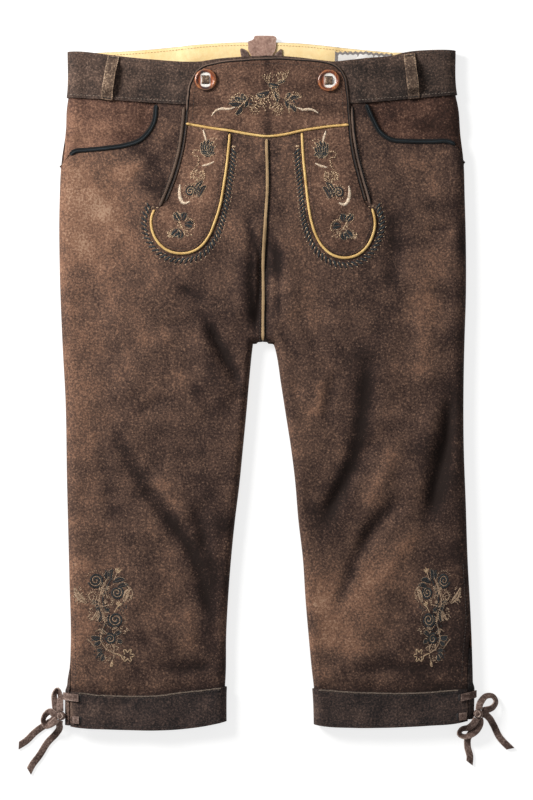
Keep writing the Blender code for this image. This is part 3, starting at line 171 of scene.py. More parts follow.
TONGUE_R = (
    (-40.9, 273.6), (-43.1, 249.5), (-46.9, 221.7), (-52.6, 191.5), (-57.6, 176.3),
    (-64.4, 160.5), (-74.4, 148.4), (-84.7, 143.2), (-94.6, 142), (-105.6, 143.8),
    (-115.7, 150), (-123.3, 159.9), (-127.1, 172.5), (-126.7, 182.5), (-123.8, 190),
)
TONGUE_L = (
    (38.4, 274.3), (39.8, 249.5), (42.6, 221.7), (45.1, 199), (48.2, 180.1), (53.2, 163.6),
    (62.2, 148.4), (72.2, 140.3), (84.8, 137.1), (97.5, 139.6), (108.8, 148.4), (115.8, 161.1),
    (118.6, 173.7), (117.9, 182.5), (115.7, 191.1),
)

CENTRE_PIPING_SPAN = (267.6, 47.5)

# Trim sections, in mm
EDGE_ROLL = 2.6
OPENING_ROLL = 3.6
PIPING = 3.0
POCKET_ROLL = 5.2

# Buttons and belt loops, in mm
BUTTONS = ((-67.6, 332.4), (67.6, 331.6))
SLOT = (8.6, 2.4)
SLOT_OFFSET = 3.6
THONG_WIDTH = 7.6
BELT_LOOPS = (            # side, top x, top y, bottom x, bottom y
    ("r", -168.9, 357.4, -176, 313.6), ("l", 156.5, 359.4, 161.5, 315),
)
BELT_LOOP_WIDTH = 12.0
BELT_ROOM = 5.0

# Folds of the front: start x, y, middle x, y, end x, y, height, half width; mm
FOLDS = (
    (-64, 66, -49, 30, -23, -4, -4.2, 8), (-80, 52, -62, 14, -36, -22, 2.4, 13),
    (-134, -112, -116, -134, -96, -154, -2.6, 8), (-76, -128, -70, -160, -66, -198, -2.4, 8),
    (-196, 110, -176, 50, -170, -30, -1.8, 20), (-150, -220, -120, -250, -96, -300, 1.6, 20),
    (-2.5, 176, -4.2, 120, -4.4, 42, -4.6, 9), (-24, 150, -28, 104, -32, 60, 1.8, 12),
    (18, 150, 24, 110, 26, 60, 1.6, 12), (123, -52, 84, -116, 58, -150, -4.2, 8.5),
    (140, -88, 112, -136, 90, -166, 2, 11), (154, -126, 122, -162, 96, -190, -3, 8),
    (208, -10, 193, -72, 176, -162, -4.6, 9), (186, -20, 172, -80, 160, -140, 2.4, 13),
    (115, 36, 116, 0, 115, -46, -1.8, 10), (31, 4, 33, -8, 36, -20, -1.4, 7),
    (170, -230, 140, -260, 120, -300, -1.6, 16),
)

# Laces: a flat thong, x, y, z in mm
LACE_WIDTH = 7.6
LACE_WALL = 1.8
KNOT_RADIUS = 4.7
KNOT_IN = 0.4
KNOT_TURNS = ((8, -2.4, 0), (-16, 0.4, 0.3), (52, 1.4, -0.2))     # tilt, height, reach
KNOT_POLES = (-4.2, 4.4)
KNOTS = {"r": -366.4, "l": -364.0}
STRAND_STEP = 2.2         # from one strand to the next where they leave the knot
LACE_BARS = (             # side, name, edge y, first step off the fold, eyelet x, eyelet y
    ("r", "upper", -345, 0, -207, -346.5), ("r", "lower", -369, 3, -206.5, -370.8),
    ("l", "upper", -342.5, 0, 213, -346), ("l", "lower", -365, 3, 211, -367),
)
LACE_FLAT = 90.0
LACE_TILTED = 38.0
LACE_ROUTES = (           # side, name, mid tilt, way out, route, way back; a way is
    # its direction in degrees and its level at the knot
    ("r", "loop_up", LACE_TILTED, (96, 1), (
        (-227.8, -353, 9.6), (-228.2, -343.5, 5.6), (-230.8, -338, 5),
        (-234, -342.5, 5.2), (-233.6, -352, 7.6),
    ), (128, -1)),
    ("r", "loop_side", LACE_TILTED, (166, 0), (
        (-237.6, -361.8, 11.4), (-243.6, -365.2, 8.6), (-246.4, -372, 7.4),
        (-244, -377.6, 8), (-239.4, -376.4, 11.6),
    ), (222, 1)),
    ("r", "end_a", LACE_FLAT, (202, -1), (
        (-236, -371.6, 6.6), (-243.6, -376.8, 1.6), (-255.2, -385, 1.2),
        (-266.8, -396, 1.2), (-276.1, -401.6, 1.2),
    ), None),
    ("r", "end_b", LACE_FLAT, (256, 0), (
        (-228.4, -379.6, 8.6), (-232.2, -386.4, 2.6), (-241.8, -396.6, 1.2),
        (-251.4, -411.6, 1.2), (-259.2, -422, 1.2), (-263.8, -430.9, 1.2),
    ), None),
    ("l", "loop_up", LACE_TILTED, (84, 1), (
        (236, -350.4, 9.4), (242, -345, 6), (249.4, -345.6, 5.2),
        (252.4, -351.4, 5.6), (248.8, -357.4, 8), (242.8, -359.6, 11.6),
    ), (30, 0)),
    ("l", "loop_low", LACE_TILTED, (246, 1), (
        (222, -379.6, 9.6), (214, -382.2, 7.2), (211.6, -386.4, 7),
        (216, -389.6, 7), (224.4, -388, 7.2), (231.6, -381.6, 9.4),
    ), (286, 0)),
    ("l", "end_a", LACE_FLAT, (352, -1), (
        (243.6, -368, 8.6), (249.6, -377, 2.2), (256.3, -390.6, 1.2),
        (270.4, -405.6, 1.2),
    ), None),
    ("l", "end_b", LACE_FLAT, (276, -1), (
        (230.4, -377.6, 5.4), (226.4, -384.4, 1.5), (221.6, -392.6, 1.2),
        (221.4, -401.7, 1.2), (223.9, -412, 1.2), (223.3, -422.1, 1.2),
    ), None),
)

CREASE_END = 0.24             # share of a fold's length over which it rises at either end

# Creases that only the finished leather shows: start, middle, end, height, half width; mm
CREASES = (
    (-99, 104, -85, 100, -68, 88, -1.8, 6), (-74, 82, -51, 39, -25, -10, -3.7, 5.2),
    (-104, 22, -90, -8, -66, -46, 1, 8), (-120, 61, -96, 66, -70, 67, -1, 4),
    (-145, -36, -123, -22, -98, -19, -0.9, 5), (-176, -33, -140, -107, -85, -184, -1.9, 7.5),
    (-118, -129, -79, -195, -57, -272, -2.7, 7), (-85, -121, -66, -184, -52, -239, -1.6, 6),
    (-128, -100, -104, -130, -88, -160, 1.2, 7), (-188, -60, -176, -104, -172, -160, -1, 8),
    (-150, 232, -134, 222, -122, 204, -1.3, 6), (-138, 256, -120, 234, -112, 190, -1.5, 9),
    (-206, 214, -178, 190, -160, 150, 1.5, 12), (-190, -250, -160, -274, -120, -290, -1.1, 7),
    (-123, -313, -90, -315, -57, -309, -1.8, 5), (-90, -240, -84, -276, -78, -306, 1.2, 8),
    (-18, 176, -17, 108, -13, 46, -2.2, 3.8), (6, 176, 10.5, 133, 13, 62, -2.3, 4),
    (-24, 188, -16, 164, -8, 136, -1.6, 3.2), (-6.5, 152, -8, 104, -14, 50, -2.2, 3),
    (1.5, 186, -0.5, 140, 0.5, 70, -2, 2.6), (15, 154, 14, 130, 18, 100, -1.6, 3),
    (34, 84, 44, 56, 60, 30, -1, 5), (12, 66, 22, 44, 40, 20, -1.2, 4.5),
    (56, 8, 58, -14, 53, -41, 1.3, 7), (77, 17, 69, -14, 64, -47, -1.7, 5),
    (110, 44, 101, -60, 54, -176, -3, 8), (140, -60, 128, -100, 100, -140, 1.4, 9),
    (154, -112, 115, -162, 73, -256, -2.6, 7), (212, 12, 195, -80, 176, -168, -3.1, 8.5),
    (172, -150, 146, -186, 116, -230, 1.4, 9), (143, 204, 141, 157, 138, 98, -1.6, 9),
    (174, 167, 190, 169, 207, 172, -1.3, 3.4), (170, 140, 172, 60, 164, -20, 1.2, 12),
    (70, 206, 90, 203, 112, 208, -0.8, 2.4), (-124, 246, -150, 236, -172, 226, 1.1, 6),
    (136, 250, 160, 242, 188, 240, 1, 6), (86, -318, 146, -313, 212, -314, -1.4, 5),
    (200, -240, 188, -270, 176, -300, -1.2, 8),
)
SWELLS = (                # the legs' broad crowns
    (-136, 140, -142, 60, -136, -40, 2.2, 46), (-130, -120, -128, -210, -130, -310, 1.8, 42),
    (118, 150, 122, 60, 124, -30, 2, 46), (128, -120, 132, -210, 134, -310, 1.8, 42),
)
BACK_CREASES = (          # the underside only rises off what it lies on
    (-30, 96, -80, 82, -150, 96, 2.2, 9), (-26, 66, -70, 44, -130, 44, 1.6, 7),
    (26, 96, 80, 80, 150, 92, 2.2, 9), (26, 64, 74, 40, 132, 38, 1.6, 7),
    (-190, -70, -130, -92, -70, -80, 2, 8), (-180, -106, -130, -118, -84, -112, 1.3, 6),
    (190, -80, 130, -98, 70, -86, 2, 8), (184, -118, 134, -128, 90, -124, 1.3, 6),
    (-160, 250, -140, 200, -136, 130, 1.4, 12), (160, 246, 142, 196, 138, 128, 1.4, 12),
    (-120, -200, -116, -250, -120, -310, 1.2, 10), (130, -210, 126, -260, 130, -314, 1.2, 10),
)
# Worn patches together with painted highlight and painted shade: lit left flanks, dark right
# flanks and dark valleys by the centre seam
WEAR_AND_SHADE_AREAS = (            # centre x, y, half width, half height in mm; lighter (+) or darker
    (-214, 236, 44, 70, 0.62), (-180, 168, 60, 66, 0.40), (-120, 150, 40, 40, 0.16),
    (-212, 20, 26, 190, 0.30), (-208, -270, 26, 90, 0.34), (-126, 262, 26, 56, -0.34),
    (-84, 96, 34, 24, -0.34), (-56, 20, 30, 60, -0.44), (-66, -130, 30, 90, -0.34),
    (-60, -236, 20, 90, -0.52), (-92, -306, 60, 26, -0.36), (-150, -140, 50, 90, -0.12),
    (-66, 240, 30, 60, 0.38), (-66, 330, 40, 22, 0.06), (-36, 160, 20, 50, 0.10),
    (-22, 110, 12, 80, -0.42), (-12, 96, 7, 62, -0.5), (2, 118, 5, 60, -0.5),
    (36, 190, 40, 90, 0.20), (72, 240, 26, 56, 0.20), (128, 300, 30, 36, -0.62),
    (158, 296, 24, 20, -0.06), (200, 290, 18, 26, -0.85), (0, 288, 70, 16, 0.20),
    (108, -10, 40, 90, -0.34), (62, -4, 18, 40, 0.26), (172, 110, 34, 110, 0.20),
    (226, 0, 19, 330, -0.85), (192, -90, 24, 90, -0.56), (70, -146, 34, 50, -0.42),
    (62, -256, 30, 74, 0.62), (104, -250, 34, 50, 0.42), (130, -200, 34, 44, 0.16),
    (196, -270, 44, 70, -0.46), (140, 150, 24, 80, -0.30), (130, 20, 120, 330, -0.12),
    (150, -316, 70, 16, -0.34),
)

# Embroidery: threads, widths and points in mm, for the wearer's right
LEG_ROPES = (        # thread, width, line
    ("tan", 1.1, ((-174.9, -214.8), (-179.3, -223.6), (-183.7, -234.6), (-184.8, -243.4),
     (-180.4, -252.2), (-178.2, -263.2), (-181.5, -274.2), (-182.6, -283), (-177.1, -291.8),
     (-168.3, -297.3))),
    ("dark", 1.4, ((-172.7, -218.1), (-177.1, -228), (-180.4, -237.9), (-178.2, -246.7),
     (-172.7, -252.2))),
    ("tan", 0.9, ((-167.8, -217), (-166.1, -212.6), (-164.5, -208.7))),
    ("cream", 0.9, ((-167.4, -251.7), (-165, -247.8), (-162.8, -245))),
    ("tan", 0.9, ((-179.3, -220.3), (-181.5, -228), (-179.3, -235.7))),
    ("tan", 0.9, ((-176, -223.6), (-177.1, -230.2), (-174.9, -236.8))),
    ("tan", 0.9, ((-183.7, -225.8), (-185.4, -232.4), (-188.7, -240.1))),
    ("tan", 1, ((-184.8, -243.4), (-190.3, -241.2), (-194.7, -236.8), (-194.7, -231.8), (-190.9,
     -229.6))),
    ("cream", 1, ((-168.3, -297.3), (-163.9, -298.9), (-159.5, -300.6))),
    ("tan", 1, ((-167.8, -297.3), (-168.3, -301.7), (-170.5, -306.1))),
    ("tan", 0.9, ((-156.2, -220.3), (-152.9, -223.6), (-147.4, -230.2), (-150.7, -239))),
    ("tan", 0.9, ((-188.1, -273.1), (-182.6, -270.9), (-176, -275.3))),
    ("tan", 0.9, ((-196.9, -281.9), (-192.5, -286.3), (-188.1, -291.8))),
)
LEG_SPIRALS = (      # thread, centre x, y, radius, turns, start in degrees, hand
    ("dark", -188.1, -217.2, 8.2, 2, 200, 1), ("dark", -164.9, -230.7, 7.2, 1.9, 60, -1),
    ("tan", -192.4, -235.4, 5.2, 1.5, 0, 1), ("dark", -166.5, -260.4, 8.6, 2, 140, 1),
    ("dark", -172.4, -281.6, 6, 1.6, 120, -1),
)
LEG_LEAVES = (       # thread, base x, y, tip x, y, width
    ("dark", -176, -217, -174.4, -206.5, 3.2), ("dark", -172.2, -216.4, -169.4, -204.3, 3.4),
    ("dark", -170, -219.7, -155.7, -216.4, 3.8), ("dark", -165, -224.7, -151.2, -222.5, 3.2),
    ("dark", -184.8, -241.2, -192.5, -240.1, 3), ("dark", -182.6, -246.7, -188.1, -249.4, 3.2),
    ("tan", -185.1, -248.4, -194.7, -262.1, 3.4), ("tan", -184.3, -250, -188.7, -263.2, 3),
    ("dark", -183.7, -251.1, -184.5, -263.7, 2.6), ("dark", -179.3, -252.2, -172.7, -248.9, 3),
    ("dark", -182.6, -280.8, -193.6, -279.1, 3.6), ("dark", -183.2, -284.1, -189.8, -288.5, 3),
    ("tan", -178.2, -276.4, -183.7, -272, 2.6), ("dark", -168.3, -278.6, -159, -273.6, 3.2),
    ("dark", -166.1, -283, -159, -286.3, 3), ("tan", -170.5, -272, -163.9, -268.7, 2.6),
    ("dark", -180.4, -294, -187, -293.4, 3), ("dark", -181, -296.2, -186.5, -300.6, 3),
    ("dark", -179.3, -298.4, -182.1, -306.1, 3), ("tan", -196.9, -243.4, -211.8, -224.7, 6.5),
    ("tan", -157.3, -242.3, -149.6, -225.8, 6), ("cream", -164.3, -209.3, -165.7, -203.8, 2.2),
    ("cream", -163.9, -209.3, -162.4, -202.9, 2.2),
    ("cream", -163.5, -209.5, -159.5, -205.3, 2), ("cream", -163, -245.6, -165, -240.7, 2.2),
    ("cream", -162.8, -245.6, -161.7, -239.9, 2.2),
    ("cream", -162.4, -245.6, -158.6, -242.3, 2), ("cream", -170, -305.5, -171.9, -312.7, 3.2),
)
FLAP_ROPES = (
    ("tan", 1, ((2.2, 328.1), (-1.7, 331.4), (-3, 335.8), (-1.1, 340.5))),
    ("tan", 0.9, ((-2.2, 334.1), (-5.2, 336.9), (-4.8, 339.6))),
    ("tan", 0.9, ((2.8, 329.2), (2.5, 336.3), (5, 341.6))),
    ("tan", 0.9, ((0, 331.4), (0.7, 336.9), (1.5, 339.1))),
    ("tan", 1, ((11, 328.6), (17.6, 331.4), (22, 336.3), (24.6, 344.6))),
    ("tan", 0.9, ((18.2, 331.9), (16.8, 337.4), (18.5, 341.5))),
    ("tan", 0.9, ((21.5, 335.2), (20, 339.2), (20.9, 342.4))),
    ("tan", 1, ((3.9, 326.4), (6.1, 318.7), (11, 308.8))),
    ("tan", 1, ((8.8, 325.3), (11.3, 317.6), (14.3, 309.9))),
    ("tan", 0.9, ((-19.8, 316.5), (-12.1, 312.7), (-5.5, 306.6), (-0.6, 297.4))),
    ("tan", 0.9, ((-9.9, 313.2), (-3.3, 307.7), (1.1, 301.1))),
    ("tan", 0.9, ((1.1, 314.3), (3.3, 307.7), (5.5, 303.9))),
    ("tan", 0.9, ((-19.8, 314.3), (-23.1, 309.9), (-27.5, 305.5), (-31.9, 301.7))),
    ("tan", 0.9, ((18.7, 313.2), (22, 308.8), (26.4, 305.5), (32.5, 302.2))),
    ("tan", 0.9, ((-29.7, 318.2), (-34.1, 316.5), (-39.6, 311.6))),
    ("tan", 0.9, ((28.6, 319.3), (34.1, 317.6), (38.5, 313.2))),
)
FLAP_SPIRALS = (
    ("tan", -12.9, 300.8, 4.6, 1.4, 20, 1), ("tan", 11.8, 300.2, 5.2, 1.6, 160, -1),
)
FLAP_LEAVES = (
    ("dark", 13.8, 325.3, 0.6, 328, 4.4), ("dark", 11, 328.1, 20.4, 330.8, 2.6),
    ("dark", 7.7, 319.8, 11.7, 307.7, 3.6), ("dark", 3.5, 319.5, -12.1, 315.9, 4.4),
    ("dark", -23.1, 309.9, -28.1, 317.6, 3.2), ("dark", -24.8, 309.9, -35.8, 313.7, 3.4),
    ("dark", -27.5, 306.6, -41.8, 306.8, 3.4), ("dark", -21.6, 309.9, -24.8, 301.7, 3),
    ("dark", -27.5, 303.3, -34.7, 294, 3), ("dark", 21.5, 311.6, 26.4, 318.3, 3),
    ("dark", 23.1, 310.5, 35.9, 313.7, 3.2), ("dark", 20.4, 311, 22.6, 301.1, 3),
    ("dark", 25.3, 305.5, 31.9, 297.2, 3), ("tan", 23.1, 304.4, 24.2, 295.6, 2.4),
)
FLAP_CRESCENTS = (   # thread, greatest width, line
    ("cream", 3.2, ((-60.9, 293.2), (-56.7, 298), (-50.4, 300.8), (-42.9, 300.5), (-35.1,
     302))),
    ("cream", 3.1, ((32.8, 302), (39.1, 300), (45.7, 300.7), (51.2, 299.4), (56.2, 296.1))),
)
TONGUE_CRESCENTS = (
    ("cream", 2.8, ((-70.1, 277.7), (-68.6, 272.5), (-66.7, 265.4))),
    ("cream", 2.8, ((-71.2, 238.2), (-66, 239.3), (-58.5, 242.5))),
    ("cream", 4.4, ((-95.4, 217.3), (-96.1, 210.9), (-95.5, 203.8), (-91.3, 197.1), (-84.5,
     198.8))),
)
TONGUE_ROPES = (
    ("tan", 1, ((-74.2, 254.9), (-78.7, 255.5), (-81.4, 252.4), (-79.4, 248.8), (-75.4, 249),
     (-74.8, 245), (-76.8, 240.1))),
    ("tan", 1, ((-74.8, 240.6), (-79.1, 235.1), (-83.3, 228.5), (-82.8, 222.5))),
    ("tan", 1, ((-69.9, 234), (-68.4, 227.4), (-70.4, 221.4))),
    ("tan", 0.9, ((-96.8, 179.6), (-94.1, 172.4), (-90.2, 165.8))),
    ("tan", 0.9, ((-86.9, 181.2), (-80.9, 177.9), (-79.8, 170.2), (-84.7, 166.9))),
    ("tan", 0.9, ((-105.1, 169.1), (-106.2, 163.1), (-101.8, 157.6))),
    ("tan", 0.9, ((-73.7, 219.2), (-80.3, 209.8), (-82.5, 203.2))),
)
TONGUE_SPIRALS = (
    ("tan", -76.1, 228.2, 5, 1.5, 90, 1), ("dark", -84, 210.4, 5.6, 1.6, 20, 1),
)
TONGUE_LEAVES = (
    ("dark", -64.9, 247.2, -72.1, 264.3, 2.8), ("dark", -64.9, 247.2, -68.2, 267, 2.8),
    ("dark", -64.6, 247.2, -63.5, 268.1, 2.8), ("dark", -64.2, 247.2, -59.2, 265.9, 2.8),
    ("dark", -63.8, 247.2, -57.2, 259.9, 2.8), ("dark", -64.9, 252.7, -73, 253.8, 2.6),
    ("dark", -63.8, 252.2, -57.2, 251.1, 2.6), ("dark", -79, 204.8, -70.4, 222.4, 4.2),
    ("dark", -75.8, 202.6, -66.6, 217, 3.6), ("dark", -95, 177.4, -100.6, 187.4, 5.4),
    ("dark", -92.6, 177.6, -89, 186.8, 5), ("dark", -91, 174.4, -81.6, 172.6, 6.4),
    ("dark", -96.2, 169.6, -105, 161.6, 5.6), ("dark", -94.4, 168.4, -96.6, 158, 5),
)
LEG_SEEDS = (        # thread, centre x, y, half width, half height, stitches, slant in degrees
    ("tan", -208, -233, 5, 10, 30, 35), ("tan", -152.6, -232, 5, 9, 26, 60),
    ("tan", -179, -226, 5.5, 9, 60, 20), ("dark", -178, -230, 5, 9, 16, 50),
    ("dark", -176, -213, 7, 7, 20, 75), ("tan", -184, -243, 9, 4, 40, 5),
    ("tan", -173, -240, 6, 5, 24, 40), ("dark", -181, -248, 9, 5, 20, 80),
    ("tan", -193, -256, 4.5, 9, 22, 60), ("tan", -177.6, -257, 4.5, 6.5, 22, 25),
    ("dark", -176, -268, 9, 5.5, 24, 40), ("tan", -158, -273, 7, 4, 18, 160),
    ("tan", -171, -291.5, 8.5, 4.5, 40, 115), ("dark", -176, -276, 8, 6, 24, 60),
    ("dark", -184, -297, 6, 7, 26, 20), ("tan", -178, -303, 8, 4.5, 16, 150),
    ("dark", -187, -283.5, 7.5, 4, 20, 30), ("dark", -158.5, -246, 5, 5, 12, 100),
)
FLAP_SEEDS = (
    ("dark", -28, 308, 12, 6, 34, 30), ("tan", -30, 312, 11, 5, 26, 35),
    ("tan", -8, 311, 9, 6, 40, 130), ("tan", 8, 318, 5.5, 9, 34, 100),
    ("dark", 26, 309, 9, 7, 30, 140), ("tan", 28, 313, 9, 5, 18, 150),
    ("tan", 11, 303, 8, 5, 22, 60), ("tan", 12, 336, 12, 5, 30, 70),
    ("tan", -13, 301, 6, 4.5, 16, 20),
)
TONGUE_SEEDS = (
    ("dark", -65, 257, 7, 9, 26, 80), ("tan", -59, 264, 4.5, 5.5, 14, 60),
    ("tan", -77, 228, 8, 7, 26, 30), ("tan", -96, 172, 3, 6, 20, 100),
    ("tan", -105, 165, 4.5, 6.5, 18, 40), ("tan", -86, 164, 5.5, 4, 14, 150),
    ("tan", -99, 185, 5, 3.5, 12, 120), ("tan", -78, 215, 5, 8, 20, 60),
)


class Side(Enum):
    """Which of the wearer's sides a piece is on."""

    RIGHT = "r"
    LEFT = "l"

    @property
    def hand(self) -> float:
        """-1 on the wearer's right, where X is negative, and 1 on the left."""
        return -1.0 if self is Side.RIGHT else 1.0


class Thread(Enum):
    """The three embroidery threads."""

    DARK = "dark"
    TAN = "tan"
    CREAM = "cream"


# ---------------------------------------------------------------- lines in plan

def smooth_step(value: Any, low: float, high: float) -> np.ndarray:
    """Eased rise from 0 to 1.

    Args:
        value: Numbers to ease.
        low: Where the rise starts.
        high: Where it ends.

    Returns:
        Shares from 0 to 1, shaped as value.
    """
    t = np.clip((np.asarray(value, float) - low) / (high - low), 0, 1)
    return t * t * (3 - 2 * t)


def unit(vectors: np.ndarray) -> np.ndarray:
    """Rows of vectors, each scaled to length 1."""
    return vectors / np.linalg.norm(vectors, axis=1)[:, None]


def heading(angle: float) -> np.ndarray:
    """The unit vector in plan at an angle in radians."""
    return np.array([math.cos(angle), math.sin(angle)])


def left_of(ways: np.ndarray) -> np.ndarray:
    """Plan vectors turned a quarter turn to the left."""
    return np.stack([-ways[..., 1], ways[..., 0]], -1)


def axes(base: np.ndarray, tip: np.ndarray) -> tuple[np.ndarray, np.ndarray, float]:
    """The way from a leaf's base to its tip.

    Args:
        base: Where the leaf starts.
        tip: Its point.

    Returns:
        Unit vectors along the leaf and to its left, and its length.
    """
    length = float(np.linalg.norm(tip - base))
    way = (tip - base) / length
    return way, left_of(way), length


@dataclass(frozen=True)
class Level:
    """A lift that is the same at every plan point."""

    height: float = 0.0

    def __call__(self, plan: np.ndarray) -> np.ndarray:
        """The lift at plan points."""
        return np.full(len(plan), self.height)


class Line:
    """A line in plan or in space, as a row of points in mm."""

    BATCH = 1500000           # how many distances nearest works out at a time

    def __init__(self, points: Any) -> None:
        """Keeps the points and how far each lies from the start.

        Args:
            points: Rows of two or three coordinates.
        """
        self.points = np.asarray(points, float)
        steps = np.linalg.norm(np.diff(self.points, axis=0), axis=1)
        self.marks = np.concatenate([[0], np.cumsum(steps)])

    @classmethod
    def smooth(cls, table: Table, step: float = 4.0) -> "Line":
        """A smooth line through a table's points.

        Args:
            table: The points that it passes.
            step: About how far apart its own points are.

        Returns:
            The line.
        """
        knots = np.array(table, float)
        chord = np.concatenate([[0], np.cumsum(np.linalg.norm(np.diff(knots, axis=0), axis=1))])
        slopes = np.gradient(knots, chord, axis=0)
        line = []
        for i in range(len(knots) - 1):
            span = chord[i + 1] - chord[i]
            for t in np.linspace(0, 1, max(2, round(span / step)), endpoint=False):
                line.append(
                    (2 * t**3 - 3 * t**2 + 1) * knots[i]
                    + (t**3 - 2 * t**2 + t) * span * slopes[i]
                    + (3 * t**2 - 2 * t**3) * knots[i + 1] + (t**3 - t**2) * span * slopes[i + 1]
                )
        line.append(knots[-1])
        return cls(line)

    @property
    def length(self) -> float:
        """How long the line is, in mm."""
        return float(self.marks[-1])

    def at(self, distances: Any) -> np.ndarray:
        """Points at distances from the start."""
        columns = [np.interp(distances, self.marks, column) for column in self.points.T]
        return np.stack(columns, 1)

    def evenly(self, count: int) -> "Line":
        """The same line with this many points, evenly apart."""
        return Line(self.at(np.linspace(0, self.length, count)))

    def reached(self, before: float, after: float) -> "Line":
        """The line drawn out straight at its start and its end.

        Args:
            before: How far before its start, in mm.
            after: How far past its end.

        Returns:
            The longer line.
        """
        first, last = self.points[0] - self.points[1], self.points[-1] - self.points[-2]
        first, last = first / np.linalg.norm(first), last / np.linalg.norm(last)
        return Line(np.vstack([[self.points[0] + before * first], self.points,
                               [self.points[-1] + after * last]]))

    def spaced(self, step: float) -> "Line":
        """The same line with its points about step mm apart."""
        return self.evenly(max(2, round(self.length / step) + 1))

    def x_at(self, y: Any) -> np.ndarray:
        """X where a line that runs down the garment passes height y."""
        return np.interp(-np.asarray(y), -self.points[:, 1], self.points[:, 0])

    def y_at(self, x: Any) -> np.ndarray:
        """Y of a line that runs across the garment, at x."""
        return np.interp(x, self.points[:, 0], self.points[:, 1])

    def sideways(self) -> np.ndarray:
        """Unit vectors in plan to the left of the way the line runs."""
        return left_of(unit(np.gradient(self.points[:, :2], self.marks, axis=0)))

    def over(self, x: np.ndarray, rise: float) -> "Line":
        """The stretch of a line that runs across the garment at these x, raised by rise."""
        return Line(np.stack([x, self.y_at(x) + rise], 1))

    def shifted(self, offset: Any) -> "Line":
        """The line moved to its left by an offset in mm, one number or one for each point."""
        return Line(self.points[:, :2] + self.sideways() * np.reshape(offset, (-1, 1)))

    def where(self, keep: np.ndarray) -> "Line":
        """The points of the line that a mask keeps."""
        return Line(self.points[keep])

    def nearest(self, plan: np.ndarray) -> tuple[np.ndarray, ...]:
        """The nearest place on the line to each plan point.

        Args:
            plan: Points, one row each.

        Returns:
            Distance, offset vector from the line, unit normal of the nearest stretch and
            share of the line's length, one row for each point.
        """
        start, way = self.points[:-1, :2], np.diff(self.points[:, :2], axis=0)
        span = (way**2).sum(1)
        found = []
        for part in np.array_split(plan, max(1, len(plan) * len(way) // self.BATCH + 1)):
            t = np.clip(((part[:, None] - start) * way).sum(2) / span, 0, 1)
            away = part[:, None] - (start + t[..., None] * way)
            distance = np.linalg.norm(away, axis=2)
            near = distance.argmin(1)
            pick = np.arange(len(part))
            normal = unit(left_of(way)[near])
            share = (self.marks[near] + t[pick, near] * np.diff(self.marks)[near]) / self.length
            found.append((distance[pick, near], away[pick, near], normal, share))
        return tuple(np.concatenate(column) for column in zip(*found))


class Cut:
    """The garment's lines, smooth: folds, seams, edges and openings."""

    def __init__(self) -> None:
        """Draws every line from its table."""
        smooth = Line.smooth
        self.seam = smooth(CENTRE_SEAM)
        crotch = self.seam.points[-1]
        sides = (Side.RIGHT, Side.LEFT)
        tables = ((SIDE_R, SIDE_L), (SLIT_R, SLIT_L), (HEM_R, HEM_L), (OPENING_R, OPENING_L))
        self.fold, self.slit, self.hem, self.opening = (
            {side: smooth(table) for side, table in zip(sides, pair)} for pair in tables)
        self.notch = {side: Line(np.vstack([crotch, smooth(table).points]))
                      for side, table in zip(sides, (INSEAM_R, INSEAM_L))}
        self.pocket = {Side.RIGHT: smooth(POCKET_R, 3.0), Side.LEFT: smooth(POCKET_L, 3.0)}
        self.tongue = {Side.RIGHT: smooth(TONGUE_R, 3.0), Side.LEFT: smooth(TONGUE_L, 3.0)}
        self.waist = smooth(WAIST)
        self.band = smooth(BAND_SEAM)
        self.back_waist = smooth(BACK_WAIST)
        self.cuff = smooth(CUFF_SEAM)
        self.flap = smooth(FLAP_EDGE, 2.5)
        self.cross = smooth(CROSS_PIPING)

    def inner_edge(self, side: Side) -> Line:
        """Centre seam down to the crotch point, then the inner-leg fold to the hem.

        Args:
            side: Which leg.

        Returns:
            The line.
        """
        half = np.array([side.hand * GAP / 2, 0.0])
        notch = self.notch[side].points.copy()
        notch[0] += half
        return Line(np.vstack([self.seam.points[:-1] + half, notch]))

    def front_edge(self, side: Side) -> Line:
        """Side fold below the pocket, then the edge of the side slit down to the hem.

        Args:
            side: Which leg.

        Returns:
            The line.
        """
        points = self.fold[side].points
        line = points[points[:, 1] < self.pocket[side].points[-1, 1] + 6.0].copy()
        slit = self.slit[side]
        open_part = line[:, 1] < slit.points[0, 1]
        line[open_part, 0] = slit.x_at(line[open_part, 1])
        return Line(line)

    def over_band(self, plan: np.ndarray) -> np.ndarray:
        """Extra lift of the flap and its trim where they lie on the waistband."""
        return STACK * (1 - smooth_step(self.band.y_at(plan[:, 0]) - plan[:, 1], *BAND_STEP))

    def from_fold(self, plan: np.ndarray, back: bool = False) -> tuple[np.ndarray, np.ndarray]:
        """Distance to the nearest fold in roll radii, and the way in from it.

        Args:
            plan: Points in plan.
            back: True for the back, which rolls over more tightly.

        Returns:
            The distances and the ways in.
        """
        best = np.full(len(plan), np.inf)
        inward = np.zeros((len(plan), 2))
        rolls = ((self.fold[Side.RIGHT], 1.0, SIDE_ROLL), (self.fold[Side.LEFT], -1.0, SIDE_ROLL),
                 (self.notch[Side.RIGHT], -1.0, INSEAM_ROLL),
                 (self.notch[Side.LEFT], 1.0, INSEAM_ROLL))
        for line, hand, radius in rolls:
            radius = BACK_ROLL if back else radius
            distance, away, normal, _ = line.nearest(plan)
            normal = normal * hand
            off = distance > 1e-4
            normal[off] = away[off] / distance[off][:, None]
            closer = distance / radius < best
            best[closer] = distance[closer] / radius
            inward[closer] = normal[closer] / radius
        return best, inward


# ---------------------------------------------------------------- how the leather lies

